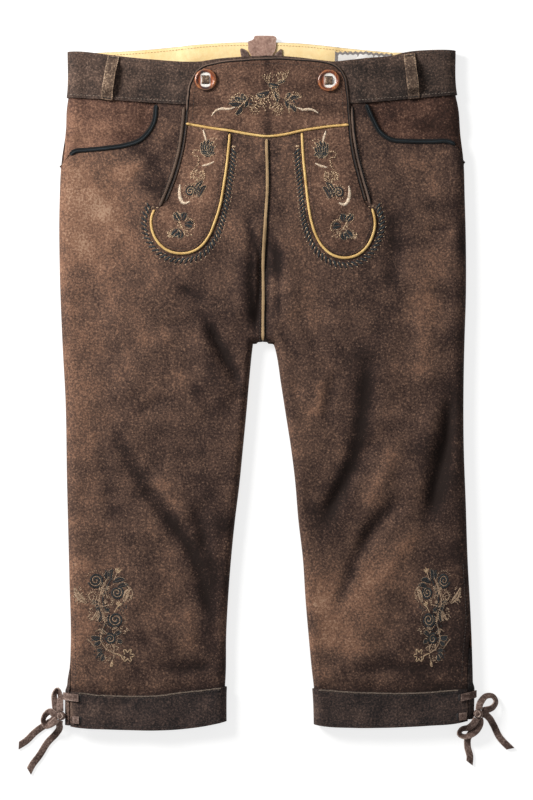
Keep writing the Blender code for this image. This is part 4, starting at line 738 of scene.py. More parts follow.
def ripples(plan: np.ndarray, wave: float, seed: int, count: int = 22) -> np.ndarray:
    """Smooth unevenness of about unit size.

    Args:
        plan: Points in plan.
        wave: Middle wavelength in mm.
        seed: Which pattern.
        count: How many waves are summed.

    Returns:
        One number for each point.
    """
    rng = np.random.default_rng(seed)
    total = np.zeros(len(plan))
    for _ in range(count):
        angle, phase = rng.uniform(0, 2 * math.pi, 2)
        pace = 2 * math.pi / (wave * rng.uniform(0.65, 1.5))
        total += np.sin((plan[:, 0] * math.cos(angle) + plan[:, 1] * math.sin(angle)) * pace
                        + phase)
    return total / math.sqrt(count / 2)


class Relief:
    """Height that wear and folds add to a skin, with the worn patches, painted shade and painted
    crease shading that colour it, kept on a raster that pieces share.
    """

    STEP = 1.5
    LOW = np.array([-246.0, -400.0])
    SIZE = (331, 531)
    TAPER = (0.3, 1.5)        # roll radii from a fold where it starts and is full

    def __init__(self, cut: Cut, back: bool) -> None:
        """Works the relief out once.

        Args:
            cut: The garment's lines.
            back: True for the underside, which only rises off what it lies on.
        """
        x, y = (self.LOW[k] + self.STEP * np.arange(self.SIZE[k]) for k in (0, 1))
        plan = np.stack(np.meshgrid(x, y, indexing="ij"), 2).reshape(-1, 2)
        coarse = Cut()
        for lines in (coarse.fold, coarse.notch):
            for side in Side:
                lines[side] = lines[side].spaced(9.0)
        taper = smooth_step(coarse.from_fold(plan, back)[0], *self.TAPER)
        if back:
            total = self.creased(plan, BACK_CREASES)
            total += np.clip(ripples(plan, 46.0, 5) - 0.7, 0, 1) * 0.9
            seam = cut.seam.x_at(plan[:, 1]) - plan[:, 0]
            total += 0.7 * np.exp(-(seam / 3.0) ** 2) * (1 + np.sin(plan[:, 1] * 0.62)) * 0.5
            self.wear = ripples(plan, 90.0, 7) * 0.2
        else:
            total = self.creased(plan, FOLDS) + self.creased(plan, CREASES)
            total += self.creased(plan, SWELLS)
            total += ripples(plan, 62.0, 1) * 0.42 + ripples(plan, 24.0, 2) * 0.16
            total += self.puckers(cut, plan)
            # Worn patches mixed with painted shade and painted highlight of the flanks and
            # valleys
            self.wear = self.worn(plan)
        height = (total * taper).reshape(self.SIZE)
        self.fields = [height, *np.gradient(height, self.STEP)]
        self.wear = self.wear.reshape(self.SIZE)
        # Painted shading of the creases: lighter on their ridges, darker in their troughs
        fine = self.creased(plan, BACK_CREASES if back else CREASES)
        self.ridge = (fine * taper).reshape(self.SIZE)

    @staticmethod
    def creased(plan: np.ndarray, table: Table) -> np.ndarray:
        """Soft troughs and ridges that taper to nothing at their ends.

        Args:
            plan: Points in plan.
            table: Rows of start, middle and end, height and half width.

        Returns:
            Heights in mm.
        """
        relief = np.zeros(len(plan))
        for x0, y0, x1, y1, x2, y2, height, width in table:
            bend = Line.smooth(((x0, y0), (x1, y1), (x2, y2)), 12.0)
            low, high = bend.points.min(0) - 3 * width, bend.points.max(0) + 3 * width
            near = ((plan > low) & (plan < high)).all(1)
            distance, _, _, along = bend.nearest(plan[near])
            taper = smooth_step(along, 0, CREASE_END) * smooth_step(1 - along, 0, CREASE_END)
            relief[near] += height * taper * np.exp(-(distance / width) ** 2)
        return relief

    @staticmethod
    def puckers(cut: Cut, plan: np.ndarray) -> np.ndarray:
        """Small gathers where a seam draws the panels in.

        Args:
            cut: The garment's lines.
            plan: Points in plan.

        Returns:
            Heights in mm.
        """
        wobble = 0.5 * ripples(plan, 30.0, 3)
        below_band = cut.band.y_at(plan[:, 0]) - plan[:, 1]
        above_cuff = plan[:, 1] - cut.cuff.y_at(plan[:, 0])
        beside_seam = np.abs(plan[:, 0] - cut.seam.x_at(plan[:, 1]))
        beside_seam[plan[:, 1] < 50] = 99.0
        wave = np.sin(plan[:, 0] * 0.55 + 3 * wobble)
        total = 0.30 * wave * np.exp(-np.abs(below_band) / 8.0)
        total += 0.42 * wave * np.exp(-np.abs(above_cuff - 3.0) / 9.0)
        total += -1.1 * np.exp(-((above_cuff - 4.0) / 4.0) ** 2) * (1 + 0.4 * wobble)
        total += 0.34 * np.sin(plan[:, 1] * 0.6 + 3 * wobble) * np.exp(-beside_seam / 8.0)
        return total

    @staticmethod
    def worn(plan: np.ndarray) -> np.ndarray:
        """Broad patches where the nap is rubbed light or has stayed dark, with painted highlight
        on the lit left flanks and painted shade on the right flanks and in the valley by the
        centre seam.

        Args:
            plan: Points in plan.

        Returns:
            Lighter above 0 and darker below it.
        """
        bent = plan + np.stack([ripples(plan, 60.0, 11), ripples(plan, 60.0, 12)], 1) * 9.0
        total = np.zeros(len(plan))
        for x, y, wide, high, strength in WEAR_AND_SHADE_AREAS:
            far = ((bent[:, 0] - x) / wide) ** 2 + ((bent[:, 1] - y) / high) ** 2
            total += strength * np.exp(-far)
        return total + 0.09 * ripples(plan, 34.0, 13)

    def read(self, field: np.ndarray, plan: np.ndarray) -> np.ndarray:
        """A field of the raster at plan points.

        Args:
            field: Which raster.
            plan: Points in plan.

        Returns:
            One number for each point.
        """
        at = (plan - self.LOW) / self.STEP
        cell = np.clip(np.floor(at).astype(int), 0, np.array(self.SIZE) - 2)
        u, v = np.clip(at - cell, 0, 1).T
        i, j = cell.T
        return ((field[i, j] * (1 - u) + field[i + 1, j] * u) * (1 - v)
                + (field[i, j + 1] * (1 - u) + field[i + 1, j + 1] * u) * v)


class Skin:
    """A side of the garment as a surface that pieces are lifted off."""

    def __init__(self, cut: Cut, back: bool) -> None:
        """Prepares the relief of this side.

        Args:
            cut: The garment's lines.
            back: True for the underside.
        """
        self.cut = cut
        self.back = back
        self.relief = Relief(cut, back)

    @staticmethod
    def roll(share: np.ndarray) -> tuple[np.ndarray, np.ndarray]:
        """Height of a rolled edge, 0 at the fold to 1 past the roll, and its slope.

        Args:
            share: Distances from the fold, in roll radii.

        Returns:
            Heights and slopes.
        """
        left = 1 - np.clip(share, 1e-4, 1)
        height = np.where(share < 1e-6, 0, np.sqrt(1 - left**2))
        slope = np.where(share < 1, left / np.sqrt(1 - left**2), 0)
        return height, slope

    @staticmethod
    def level(y: Any) -> Any:
        """How far the front lies above the seams, at y."""
        table = np.array(LYING_HEIGHT)[::-1]
        return np.interp(y, table[:, 0], table[:, 1])

    def back_raise(self, plan: np.ndarray) -> np.ndarray:
        """How far the back panels rise where the waistband or a cuff lies under them.

        Args:
            plan: Points in plan.

        Returns:
            Heights in mm.
        """
        waist = plan[:, 1] - self.cut.band.y_at(plan[:, 0])
        hem = self.cut.cuff.y_at(plan[:, 0]) - plan[:, 1]
        return STACK * np.maximum(smooth_step(waist, -LAP_EASE, -0.5),
                                  smooth_step(hem, -LAP_EASE, -0.5))

    def points(self, plan: np.ndarray, lift: Any) -> np.ndarray:
        """Points of this side, moved outwards by lift.

        Args:
            plan: Points in plan.
            lift: Outward distance in mm, one number or one for each point.

        Returns:
            Points in space, in mm.
        """
        share, inward = self.cut.from_fold(plan, self.back)
        height, steep = self.roll(share)
        extra, across, up = (self.relief.read(field, plan) for field in self.relief.fields)
        bend = np.stack([across, up], 1)
        if self.back:
            floor = self.back_raise(plan)
            rise = SEAM_HEIGHT - GAP / 2 - floor
            z = floor + rise * (1 - height) + extra
            bend += -(rise * steep)[:, None] * inward
            normal = np.column_stack([bend, -np.ones(len(plan))])
        else:
            level = self.level(plan[:, 1])
            z = SEAM_HEIGHT + GAP / 2 + level * height + extra
            bend += (level * steep)[:, None] * inward
            normal = np.column_stack([-bend, np.ones(len(plan))])
        return np.column_stack([plan, z]) + unit(normal) * np.reshape(lift, (-1, 1))

    def marks(self, plan: np.ndarray) -> dict[str, np.ndarray]:
        """What the leather's colour follows: worn patches with painted shade, painted shading of
        ridges and creases, and grime with painted shade by the seams and trims.

        Args:
            plan: Points in plan.

        Returns:
            Named numbers, one for each point.
        """
        wear = self.relief.read(self.relief.wear, plan)
        ridge = self.relief.read(self.relief.ridge, plan)
        cut = self.cut
        # Dark bands along the waistband seam, the cuff seam and the hems: grime and painted shade
        band = np.exp(-np.abs(plan[:, 1] - cut.band.y_at(plan[:, 0])) / 5.0)
        above = plan[:, 1] - cut.cuff.y_at(plan[:, 0])
        cuff = np.exp(-np.abs(above - 1.0) / np.where(above > 0, 4.5, 7.0))
        grime = np.maximum(0.5 * band, cuff)
        for side in Side:
            foot = np.abs(plan[:, 1] - cut.hem[side].y_at(plan[:, 0]))
            near = plan[:, 0] * side.hand > 0
            grime = np.maximum(grime, 0.8 * near * np.exp(-foot / 5.0))
        if not self.back:
            # Painted shade with grime beside the raised trims of the tongues, openings and
            # pockets
            for lines, reach, most in ((cut.tongue, 7.0, 0.5), (cut.opening, 7.0, 0.55),
                                       (cut.pocket, 6.0, 0.4)):
                for side in Side:
                    distance = lines[side].spaced(6.0).nearest(plan)[0]
                    grime = np.maximum(grime, most * np.exp(-distance / reach))
            # Painted shadow along the centre seam, reaching further on its right side, away from
            # the light
            seam = plan[:, 0] - cut.seam.x_at(plan[:, 1])
            reach = np.where(plan[:, 1] > 44, 5.0 + 2.0 * np.sign(seam), 1e-3)
            grime = np.maximum(grime, 0.75 * np.exp(-np.abs(seam) / reach))
        return {"wear": wear, "ridge": ridge, "grime": grime}


# ---------------------------------------------------------------- shader arithmetic

Value = Union["Sock", float, int, Sequence[float]]


class Sock:
    """A shader socket that takes part in Python arithmetic."""

    def __init__(self, graph: "Graph", socket: bpy.types.NodeSocket) -> None:
        """Wraps a socket of a graph.

        Args:
            graph: The material's nodes.
            socket: The output to wrap.
        """
        self.graph = graph
        self.socket = socket

    def _with(self, operation: str, first: Value, second: Value) -> "Sock":
        """A Math node of two values."""
        return self.graph.node("ShaderNodeMath", {"operation": operation},
                               {0: first, 1: second})

    def __add__(self, other: Value) -> "Sock":
        """self + other."""
        return self._with("ADD", self, other)

    def __radd__(self, other: Value) -> "Sock":
        """other + self."""
        return self._with("ADD", other, self)

    def __sub__(self, other: Value) -> "Sock":
        """self - other."""
        return self._with("SUBTRACT", self, other)

    def __rsub__(self, other: Value) -> "Sock":
        """other - self."""
        return self._with("SUBTRACT", other, self)

    def __mul__(self, other: Value) -> "Sock":
        """self * other."""
        return self._with("MULTIPLY", self, other)

    def __rmul__(self, other: Value) -> "Sock":
        """other * self."""
        return self._with("MULTIPLY", other, self)

    def __truediv__(self, other: Value) -> "Sock":
        """self / other."""
        return self._with("DIVIDE", self, other)

    def __pow__(self, other: Value) -> "Sock":
        """self ** other."""
        return self._with("POWER", self, other)

    def sine(self) -> "Sock":
        """The sine of the value."""
        return self._with("SINE", self, 0.0)

    def rise(self, low: float, high: float) -> "Sock":
        """0 below low to 1 above high, eased.

        Args:
            low: Where it starts.
            high: Where it ends.

        Returns:
            The share.
        """
        return self.graph.node(
            "ShaderNodeMapRange", {"interpolation_type": "SMOOTHSTEP", "clamp": True},
            {"Value": self, "From Min": low, "From Max": high})


class Graph:
    """One material's nodes."""

    def __init__(self, name: str) -> None:
        """Makes the material and its Principled shader.

        Args:
            name: The material's name.
        """
        self.material = bpy.data.materials.new(name)
        self.material.use_nodes = True
        self.tree = self.material.node_tree
        self.shader = next(n for n in self.tree.nodes if n.type == "BSDF_PRINCIPLED")

    def plug(self, socket: bpy.types.NodeSocket, value: Value) -> None:
        """Links a value to a socket, or sets it there.

        Args:
            socket: An input.
            value: A number, a colour, a vector or another socket.
        """
        if isinstance(value, Sock):
            self.tree.links.new(value.socket, socket)
        elif isinstance(value, (tuple, list)) and socket.type == "RGBA":
            socket.default_value = (*value[:3], 1.0)
        else:
            socket.default_value = value

    def node(self, kind: str, settings: Mapping[str, Any], values: Mapping[Any, Value],
             output: Union[int, str] = 0) -> Sock:
        """Adds a node.

        Args:
            kind: The node's type.
            settings: Its properties, set first; "stops" are a ramp's.
            values: Its sockets' values or links, by name or place.
            output: Which output is wanted.

        Returns:
            That output.
        """
        made = self.tree.nodes.new(kind)
        for key, value in settings.items():
            if key == "stops":
                ramp = made.color_ramp.elements
                while len(ramp) < len(value):
                    ramp.new(0.5)
                for element, (place, colour) in zip(ramp, value):
                    element.position = place
                    element.color = (*colour, 1.0)
            else:
                setattr(made, key, value)
        for key, value in values.items():
            self.plug(made.inputs[key], value)
        return Sock(self, made.outputs[output])

    def place(self) -> Sock:
        """Where the surface is, in metres."""
        return self.node("ShaderNodeTexCoord", {}, {}, "Object")

    def mark(self, name: str) -> Sock:
        """A number that the mesh carries."""
        return self.node("ShaderNodeAttribute", {"attribute_name": name}, {}, "Fac")

    def noise(self, where: Sock, size: float, detail: float = 2.0, rough: float = 0.5,
              bend: float = 0.0) -> Sock:
        """Noise whose grains are about size metres.

        Args:
            where: The coordinates.
            size: Grain size in metres.
            detail: How many finer layers it has.
            rough: How strong those are.
            bend: How much it is distorted.

        Returns:
            The noise, from 0 to 1.
        """
        return self.node("ShaderNodeTexNoise", {}, {
            "Vector": where, "Scale": 1.0 / size, "Detail": detail, "Roughness": rough,
            "Distortion": bend})

    def stretched(self, where: Sock, scale: Sequence[float]) -> Sock:
        """Coordinates multiplied by a scale for each axis."""
        return self.node("ShaderNodeVectorMath", {"operation": "MULTIPLY"},
                         {0: where, 1: scale})

    def mix(self, share: Value, first: Value, second: Value) -> Sock:
        """A colour between two, by share."""
        return self.node("ShaderNodeMix", {"data_type": "RGBA", "clamp_factor": True},
                         {0: share, 6: first, 7: second}, 2)

    def ramp(self, value: Sock, stops: Sequence[tuple[float, Colour]]) -> Sock:
        """A colour that follows a value through stops."""
        return self.node("ShaderNodeValToRGB", {"stops": stops}, {0: value})

    def bump(self, height: Sock, depth: float, strength: float = 1.0) -> None:
        """Relief finer than the mesh, depth metres high.

        Args:
            height: The relief, from 0 to 1.
            depth: Its height in metres.
            strength: How strongly it shades.
        """
        normal = self.node("ShaderNodeBump", {}, {
            "Height": height, "Distance": depth, "Strength": strength}, "Normal")
        self.plug(self.shader.inputs["Normal"], normal)

    def surface(self, **sockets: Value) -> None:
        """Sets or links the Principled shader's sockets; _ stands for a space."""
        for key, value in sockets.items():
            self.plug(self.shader.inputs[key.replace("_", " ")], value)


# ---------------------------------------------------------------- finishes

@dataclass(frozen=True)
class Finish:
    """A finish that is made once and dresses many pieces."""

    name: str
    slot: str

    def paint(self, graph: Graph) -> None:
        """Wires the finish."""
        raise NotImplementedError

    def dress(self, piece: bpy.types.Object) -> None:
        """Puts the finish on a piece.

        Args:
            piece: The object to dress.
        """
        made = bpy.data.materials.get(self.name)
        if made is None:
            graph = Graph(self.name)
            self.paint(graph)
            made = graph.material
        piece.data.materials.clear()
        piece.data.materials.append(made)


@dataclass(frozen=True)
class Suede(Finish):
    """Aged nubuck: mottled, rubbed light with painted highlight on ridges, and dark with painted
    shade in creases and by seams.
    """

    deep: Colour
    body: Colour
    worn: Colour
    fleck: Colour
    flecks: float = 0.5
    nap: float = 1.0
    shift: float = 0.0

    def paint(self, graph: Graph) -> None:
        """Wires the suede.

        Args:
            graph: The material's nodes.
        """
        where = graph.place()
        cloud = graph.noise(where, 0.085, 3.0, 0.5, 0.4)
        mottle = graph.noise(where, 0.021, 3.0, 0.55, 0.6)
        grain = graph.noise(where, 0.0023, 2.0, 0.6)
        pores = graph.noise(where, 0.0015, 2.0, 0.6)
        scuff = graph.noise(graph.stretched(where, (1.0, 0.3, 1.0)), 0.005, 3.0, 0.6, 0.8)
        # Lighter and darker by worn patches with painted shade, and by the painted shading of
        # ridges and creases
        tone = 0.47 + self.shift + graph.mark("wear") * 0.42 + graph.mark("ridge") * 0.125
        tone = tone + (cloud - 0.5) * 0.30 + (mottle - 0.5) * 0.20 + (grain - 0.5) * 0.92
        tone = tone + (pores - 0.5) * 0.5 + (scuff - 0.5) * 0.3
        # Darker by seams and trims: grime and painted shade
        tone = tone - graph.mark("grime") * 0.36
        colour = graph.ramp(tone, (
            (0.0, tuple(0.4 * c for c in self.deep)), (0.24, self.deep), (0.5, self.body),
            (0.78, self.worn), (1.0, self.fleck)))
        specks = (pores + grain * 0.6 + tone * 0.3).rise(1.0, 1.24) * self.flecks * 0.6
        colour = graph.mix(specks, colour, self.fleck)
        height = pores * 0.5 + grain * 0.8 + mottle * 0.9
        graph.bump(height, 0.0007, 0.75 * self.nap)
        graph.surface(Base_Color=colour, Roughness=0.80 + grain * 0.18, Sheen_Weight=0.12,
                      Sheen_Roughness=0.45, Sheen_Tint=self.worn, Specular_IOR_Level=0.22)


@dataclass(frozen=True)
class GrainLeather(Finish):
    """Smooth leather with fine pores, light wrinkles and soft gloss; some trims carry a painted
    line along them, dark for shade and light for a highlight.
    """

    dark: Colour
    light: Colour
    gloss: float = 0.5
    wrinkle: float = 1.0
    # A painted line along the trim: its strength, below 0 a shadow and above 0 a highlight, its
    # place across and its width
    shading_line: float = 0.0
    base: float = 0.5
    shading_line_at: float = 0.08
    shading_line_width: float = 0.24
    swap_at: float = 0.0

    def paint(self, graph: Graph) -> None:
        """Wires the leather.

        Args:
            graph: The material's nodes.
        """
        where = graph.place()
        cloud = graph.noise(where, 0.028, 3.0, 0.6)
        crease = graph.noise(where, 0.0042, 3.0, 0.6, 0.8)
        pores = graph.noise(where, 0.0011, 2.0, 0.6)
        tone = self.base + (cloud - 0.5) * 0.9 + (crease - 0.5) * 0.7 + (pores - 0.5) * 0.3
        # The painted line of shade or highlight, which can swap sides along the trim
        if self.shading_line:
            place = self.shading_line_at
            if self.swap_at:
                place = (graph.mark("along").rise(self.swap_at - 4.0, self.swap_at + 4.0)
                         * -2.0 + 1.0) * self.shading_line_at
            line = (graph.mark("across") - place) * (1.0 / self.shading_line_width)
            line = 1.0 - line ** 2.0
            tone = tone + line.rise(0.0, 1.0) * self.shading_line
        colour = graph.mix(tone.rise(0.1, 0.9), self.dark, self.light)
        colour = graph.mix(graph.mark("grime") * 0.6, colour, tuple(0.4 * c for c in self.dark))
        graph.bump(crease * self.wrinkle + pores * 0.35, 0.0005, 0.6)
        graph.surface(Base_Color=colour, Roughness=1.0 - self.gloss * (0.8 + cloud * 0.4),
                      Specular_IOR_Level=0.4)


@dataclass(frozen=True)
class Floss(Finish):
    """Twisted embroidery thread, each stitch a little different."""

    dark: Colour
    light: Colour

    def paint(self, graph: Graph) -> None:
        """Wires the thread.

        Args:
            graph: The material's nodes.
        """
        where = graph.place()
        twist = (graph.mark("along") * 9.0 + graph.mark("across") * 3.0).sine()
        fibre = graph.noise(where, 0.0007, 2.0, 0.6)
        each = graph.mark("each")
        tone = 0.5 + twist * 0.22 + (fibre - 0.5) * 0.7 + (each - 0.5) * 0.7
        colour = graph.mix(tone.rise(0.0, 1.0), self.dark, self.light)
        graph.bump(twist * 0.5 + fibre, 0.00025, 0.7)
        graph.surface(Base_Color=colour, Roughness=0.62 + fibre * 0.2, Sheen_Weight=0.15,
                      Sheen_Roughness=0.4)


@dataclass(frozen=True)
class HornPolish(Finish):
    """Polished horn, pale in the dish and streaked round the rim, with a painted highlight round
    the rim's crest.
    """

    pale: Colour
    amber: Colour
    smoke: Colour

    def paint(self, graph: Graph) -> None:
        """Wires the horn.

        Args:
            graph: The material's nodes.
        """
        where = graph.place()
        streak = graph.noise(graph.stretched(where, (1.0, 0.3, 1.0)), 0.004, 3.0, 0.6, 1.5)
        fine = graph.noise(graph.stretched(where, (1.0, 0.2, 1.0)), 0.0012, 2.0, 0.6, 0.8)
        rim = graph.mark("rim")
        ring = graph.ramp((streak * 0.8 + fine * 0.3).rise(0.3, 0.8),
                          ((0.0, self.smoke), (0.55, self.amber), (1.0, (0.50, 0.20, 0.06))))
        ring = graph.mix(graph.mark("smoky").rise(0.1, 0.9), ring, self.smoke)
        dish = graph.mix(fine.rise(0.35, 0.75), self.pale, tuple(0.72 * c for c in self.pale))
        dish = graph.mix(graph.mark("worn").rise(0.1, 0.9), dish,
                         tuple(1.4 * c for c in self.amber))
        colour = graph.mix(rim.rise(0.60, 0.72), dish, ring)
        # A painted highlight: a light amber band round the crest of the rim
        edge = (1.0 - (rim - 0.90) ** 2.0 * 420.0).rise(0.2, 1.0) * 0.5
        colour = graph.mix(edge * 0.6, colour, (0.72, 0.36, 0.14))
        graph.bump(fine + streak * 0.5, 0.0002, 0.5)
        graph.surface(Base_Color=colour, Roughness=0.24 + fine * 0.14, Coat_Weight=0.35,
                      Coat_Roughness=0.12)


@dataclass(frozen=True)
class PlainWeave(Finish):
    """Woven cloth of crossing threads."""

    warp: Colour
    weft: Colour
    border: Colour
    pitch: float = 0.0011

    def paint(self, graph: Graph) -> None:
        """Wires the weave.

        Args:
            graph: The material's nodes.
        """
        where = graph.place()
        pace = 2 * math.pi / self.pitch
        over, under = ((graph.node("ShaderNodeSeparateXYZ", {}, {0: where}, axis) * pace).sine()
                       for axis in (0, 1))
        fuzz = graph.noise(where, 0.0009, 2.0, 0.6)
        weave = over * under * 0.5 + 0.5
        colour = graph.mix(weave * 0.8 + fuzz * 0.3, self.warp, self.weft)
        edge = graph.mark("border").rise(0.4, 0.6)
        colour = graph.mix(edge * (0.55 + fuzz * 0.6), colour, self.border)
        graph.bump(weave + fuzz * 0.5, 0.0003, 0.7)
        graph.surface(Base_Color=colour, Roughness=0.85 + fuzz * 0.1, Sheen_Weight=0.1)


@dataclass(frozen=True)
class StudioFloor(Finish):
    """Plain pale floor with the faintest tooth."""

    colour: Colour
    glow: float

    def paint(self, graph: Graph) -> None:
        """Wires the floor.

        Args:
            graph: The material's nodes.
        """
        tooth = graph.noise(graph.place(), 0.004, 2.0, 0.5)
        paper = graph.mix(tooth, self.colour, tuple(0.985 * c for c in self.colour))
        graph.surface(Base_Color=paper, Roughness=0.9, Emission_Color=(1.0, 1.0, 1.0),
                      Emission_Strength=self.glow, Specular_IOR_Level=0.1)


LEG_SUEDE = Suede("nubuck_leg", "suede_brown", (0.036, 0.020, 0.016), (0.098, 0.056, 0.040),
                  (0.220, 0.112, 0.070), (0.36, 0.225, 0.150), shift=-0.015)
FLAP_SUEDE = Suede("nubuck_flap", "suede_brown", (0.042, 0.022, 0.016), (0.112, 0.060, 0.041),
                   (0.230, 0.120, 0.077), (0.38, 0.25, 0.17))
FACING_SUEDE = Suede("nubuck_facing", "suede_brown", (0.052, 0.025, 0.018),
                     (0.125, 0.064, 0.044), (0.250, 0.128, 0.082), (0.38, 0.23, 0.15),
                     shift=-0.05)
BAND_SUEDE = Suede("nubuck_band", "suede_band", (0.028, 0.020, 0.017), (0.078, 0.050, 0.039),
                   (0.170, 0.106, 0.078), (0.34, 0.24, 0.18), flecks=0.4, shift=-0.04)
CUFF_SUEDE = Suede("nubuck_cuff", "suede_band", (0.018, 0.014, 0.014), (0.056, 0.037, 0.032),
                   (0.140, 0.090, 0.068), (0.22, 0.15, 0.12), flecks=0.3)
STRAP_SUEDE = Suede("nubuck_strap", "suede_brown", (0.040, 0.025, 0.019),
                    (0.098, 0.064, 0.046), (0.230, 0.150, 0.100), (0.46, 0.34, 0.24),
                    flecks=0.7)
LEAF_SUEDE = Suede("nubuck_tab", "suede_mauve", (0.260, 0.155, 0.122),
                   (0.360, 0.222, 0.176), (0.450, 0.300, 0.240), (0.55, 0.42, 0.37),
                   flecks=0.3)
LACE_SUEDE = Suede("nubuck_lace", "suede_mauve", (0.050, 0.030, 0.025),
                   (0.120, 0.078, 0.064), (0.240, 0.165, 0.140), (0.40, 0.31, 0.26),
                   flecks=0.3, shift=0.02)
# Painted shadow: a dark line along the flap's roll, on one side of it and then the other
EDGE_TRIM = GrainLeather("trim_edge", "binding_dark", (0.012, 0.010, 0.010),
                         (0.150, 0.096, 0.070), gloss=0.1, shading_line=-1.7, base=0.66,
                         shading_line_at=0.55, shading_line_width=0.62, swap_at=104.0)
DARK_TRIM = GrainLeather("trim_dark", "binding_dark", (0.010, 0.009, 0.010),
                         (0.040, 0.032, 0.030), gloss=0.35)
# Painted shadow: a dark line along the outer side of the left opening's roll
SHADED_TRIM = GrainLeather("trim_shaded", "binding_dark", (0.008, 0.007, 0.008),
                           (0.150, 0.098, 0.072), gloss=0.1, shading_line=-1.8, base=0.72,
                           shading_line_at=0.8, shading_line_width=0.7)
# Painted highlight: a light line along the middle of the pocket's double roll
TEAL_TRIM = GrainLeather("trim_teal", "binding_teal", (0.002, 0.003, 0.004),
                         (0.022, 0.033, 0.040), gloss=0.1, shading_line=0.8, base=0.02,
                         shading_line_at=0.05, shading_line_width=0.2)
OPENING_TRIM = GrainLeather("trim_opening", "suede_brown", (0.050, 0.030, 0.022),
                            (0.165, 0.108, 0.075), gloss=0.15)
YELLOW_TRIM = GrainLeather("trim_yellow", "piping_yellow", (0.52, 0.29, 0.085),
                           (0.86, 0.60, 0.24), gloss=0.4)
# Painted shadow: a dark line along one side of the centre piping
SEAM_TRIM = GrainLeather("trim_seam", "piping_yellow", (0.012, 0.010, 0.009),
                         (0.40, 0.265, 0.135), gloss=0.2, shading_line=-2.2, base=0.86,
                         shading_line_at=0.86, shading_line_width=0.46)
TAN_LEATHER = GrainLeather("hide_tan", "leather_tan", (0.86, 0.61, 0.27),
                           (1.0, 0.80, 0.44), gloss=0.35, wrinkle=0.6)
DARK_FLOSS = Floss("floss_dark", "binding_teal", (0.003, 0.005, 0.007), (0.026, 0.038, 0.043))
TAN_FLOSS = Floss("floss_tan", "leather_tan", (0.28, 0.18, 0.10), (0.80, 0.58, 0.37))
DUSK_FLOSS = Floss("floss_dusk", "leather_tan", (0.19, 0.12, 0.075), (0.58, 0.41, 0.27))
CREAM_FLOSS = Floss("floss_cream", "patch_cloth", (0.72, 0.54, 0.38), (1.0, 0.86, 0.68))
SEWING = Floss("thread_sewing", "suede_band", (0.022, 0.017, 0.015), (0.062, 0.046, 0.038))
PALE_SEWING = Floss("thread_pale", "suede_mauve", (0.16, 0.12, 0.09), (0.30, 0.23, 0.18))
GOLD_SEWING = Floss("thread_gold", "leather_tan", (0.50, 0.30, 0.12), (0.70, 0.46, 0.20))
HORN = HornPolish("horn_polish", "horn", (0.90, 0.86, 0.80), (0.24, 0.055, 0.016),
                  (0.055, 0.026, 0.026))
PATCH = PlainWeave("weave_patch", "patch_cloth", (0.78, 0.75, 0.72), (0.92, 0.89, 0.86),
                   (0.15, 0.125, 0.12))
FLOOR = StudioFloor("floor_paper", "patch_cloth", (0.40, 0.40, 0.40), 0.74)
FLOSS = {Thread.DARK: DARK_FLOSS, Thread.TAN: TAN_FLOSS, Thread.CREAM: CREAM_FLOSS}
LEG_FLOSS = {Thread.DARK: DARK_FLOSS, Thread.TAN: DUSK_FLOSS, Thread.CREAM: TAN_FLOSS}


# ---------------------------------------------------------------- pieces

# Edges sharper than this many degrees stay sharp
SHELL_CRISP, BEAD_CRISP, STITCH_CRISP, HORN_CRISP = 50.0, 60.0, 80.0, 35.0


def make_piece(name: str, points: np.ndarray, faces: Sequence[Sequence[int]], finish: Finish,
               nodes: Sequence[str] = (), marks: Optional[Marks] = None,
               crisp: float = SHELL_CRISP) -> bpy.types.Object:
    """Puts a closed mesh in the scene, dressed and riding on the garment.

    Args:
        name: The piece's name.
        points: Its vertices in mm.
        faces: Its faces, all turned the same way.
        finish: What it is made of.
        nodes: CAD nodes that it stands for.
        marks: Named numbers on its vertices.
        crisp: Edges sharper than this many degrees stay sharp.

    Returns:
        The object.
    """
    mesh = bpy.data.meshes.new(name)
    mesh.from_pydata((np.asarray(points) * MM).tolist(), [], faces)
    shape = bmesh.new()
    shape.from_mesh(mesh)
    if shape.calc_volume(signed=True) < 0:
        bmesh.ops.reverse_faces(shape, faces=shape.faces)
    shape.to_mesh(mesh)
    shape.free()
    for key, values in (marks or {}).items():
        layer = mesh.attributes.new(key, "FLOAT", "POINT")
        layer.data.foreach_set("value", np.asarray(values, np.float32))
    mesh.shade_smooth()
    mesh.set_sharp_from_angle(angle=math.radians(crisp))
    piece = bpy.data.objects.new(name, mesh)
    bpy.context.scene.collection.objects.link(piece)
    finish.dress(piece)
    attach(piece, "root")
    if nodes:
        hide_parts(*nodes)
    return piece


def swept_faces(count: int, size: int) -> list[list[int]]:
    """Faces of a section swept along a line, closed at both ends.

    Args:
        count: How many times the section stands.
        size: How many points it has.

    Returns:
        Rows of vertex numbers.
    """
    a = np.arange((count - 1) * size)
    b = a + 1 - size * (a % size == size - 1)
    faces = np.stack([a, b, b + size, a + size], 1).tolist()
    return faces + [list(range(size))[::-1], list(range((count - 1) * size, count * size))]


def turned(profile: Table, sides: int) -> tuple[np.ndarray, list[list[int]]]:
    """A solid turned about Z.

    Args:
        profile: Radius and height, from the lower pole to the upper one.
        sides: How many points each ring has.

    Returns:
        Its points, both poles first, and its faces.
    """
    angle = np.linspace(0, 2 * math.pi, sides, endpoint=False)
    points = [(0.0, 0.0, profile[0][1]), (0.0, 0.0, profile[-1][1])]
    for radius, height in profile[1:-1]:
        points += [(radius * math.cos(a), radius * math.sin(a), height) for a in angle]
    faces, last = [], len(points) - sides
    for k in range(sides):
        n = (k + 1) % sides
        faces += [[0, 2 + n, 2 + k], [1, last + k, last + n]]
        faces += [[a + k, a + n, a + sides + n, a + sides + k]
                  for a in range(2, last, sides)]
    return np.array(points), faces


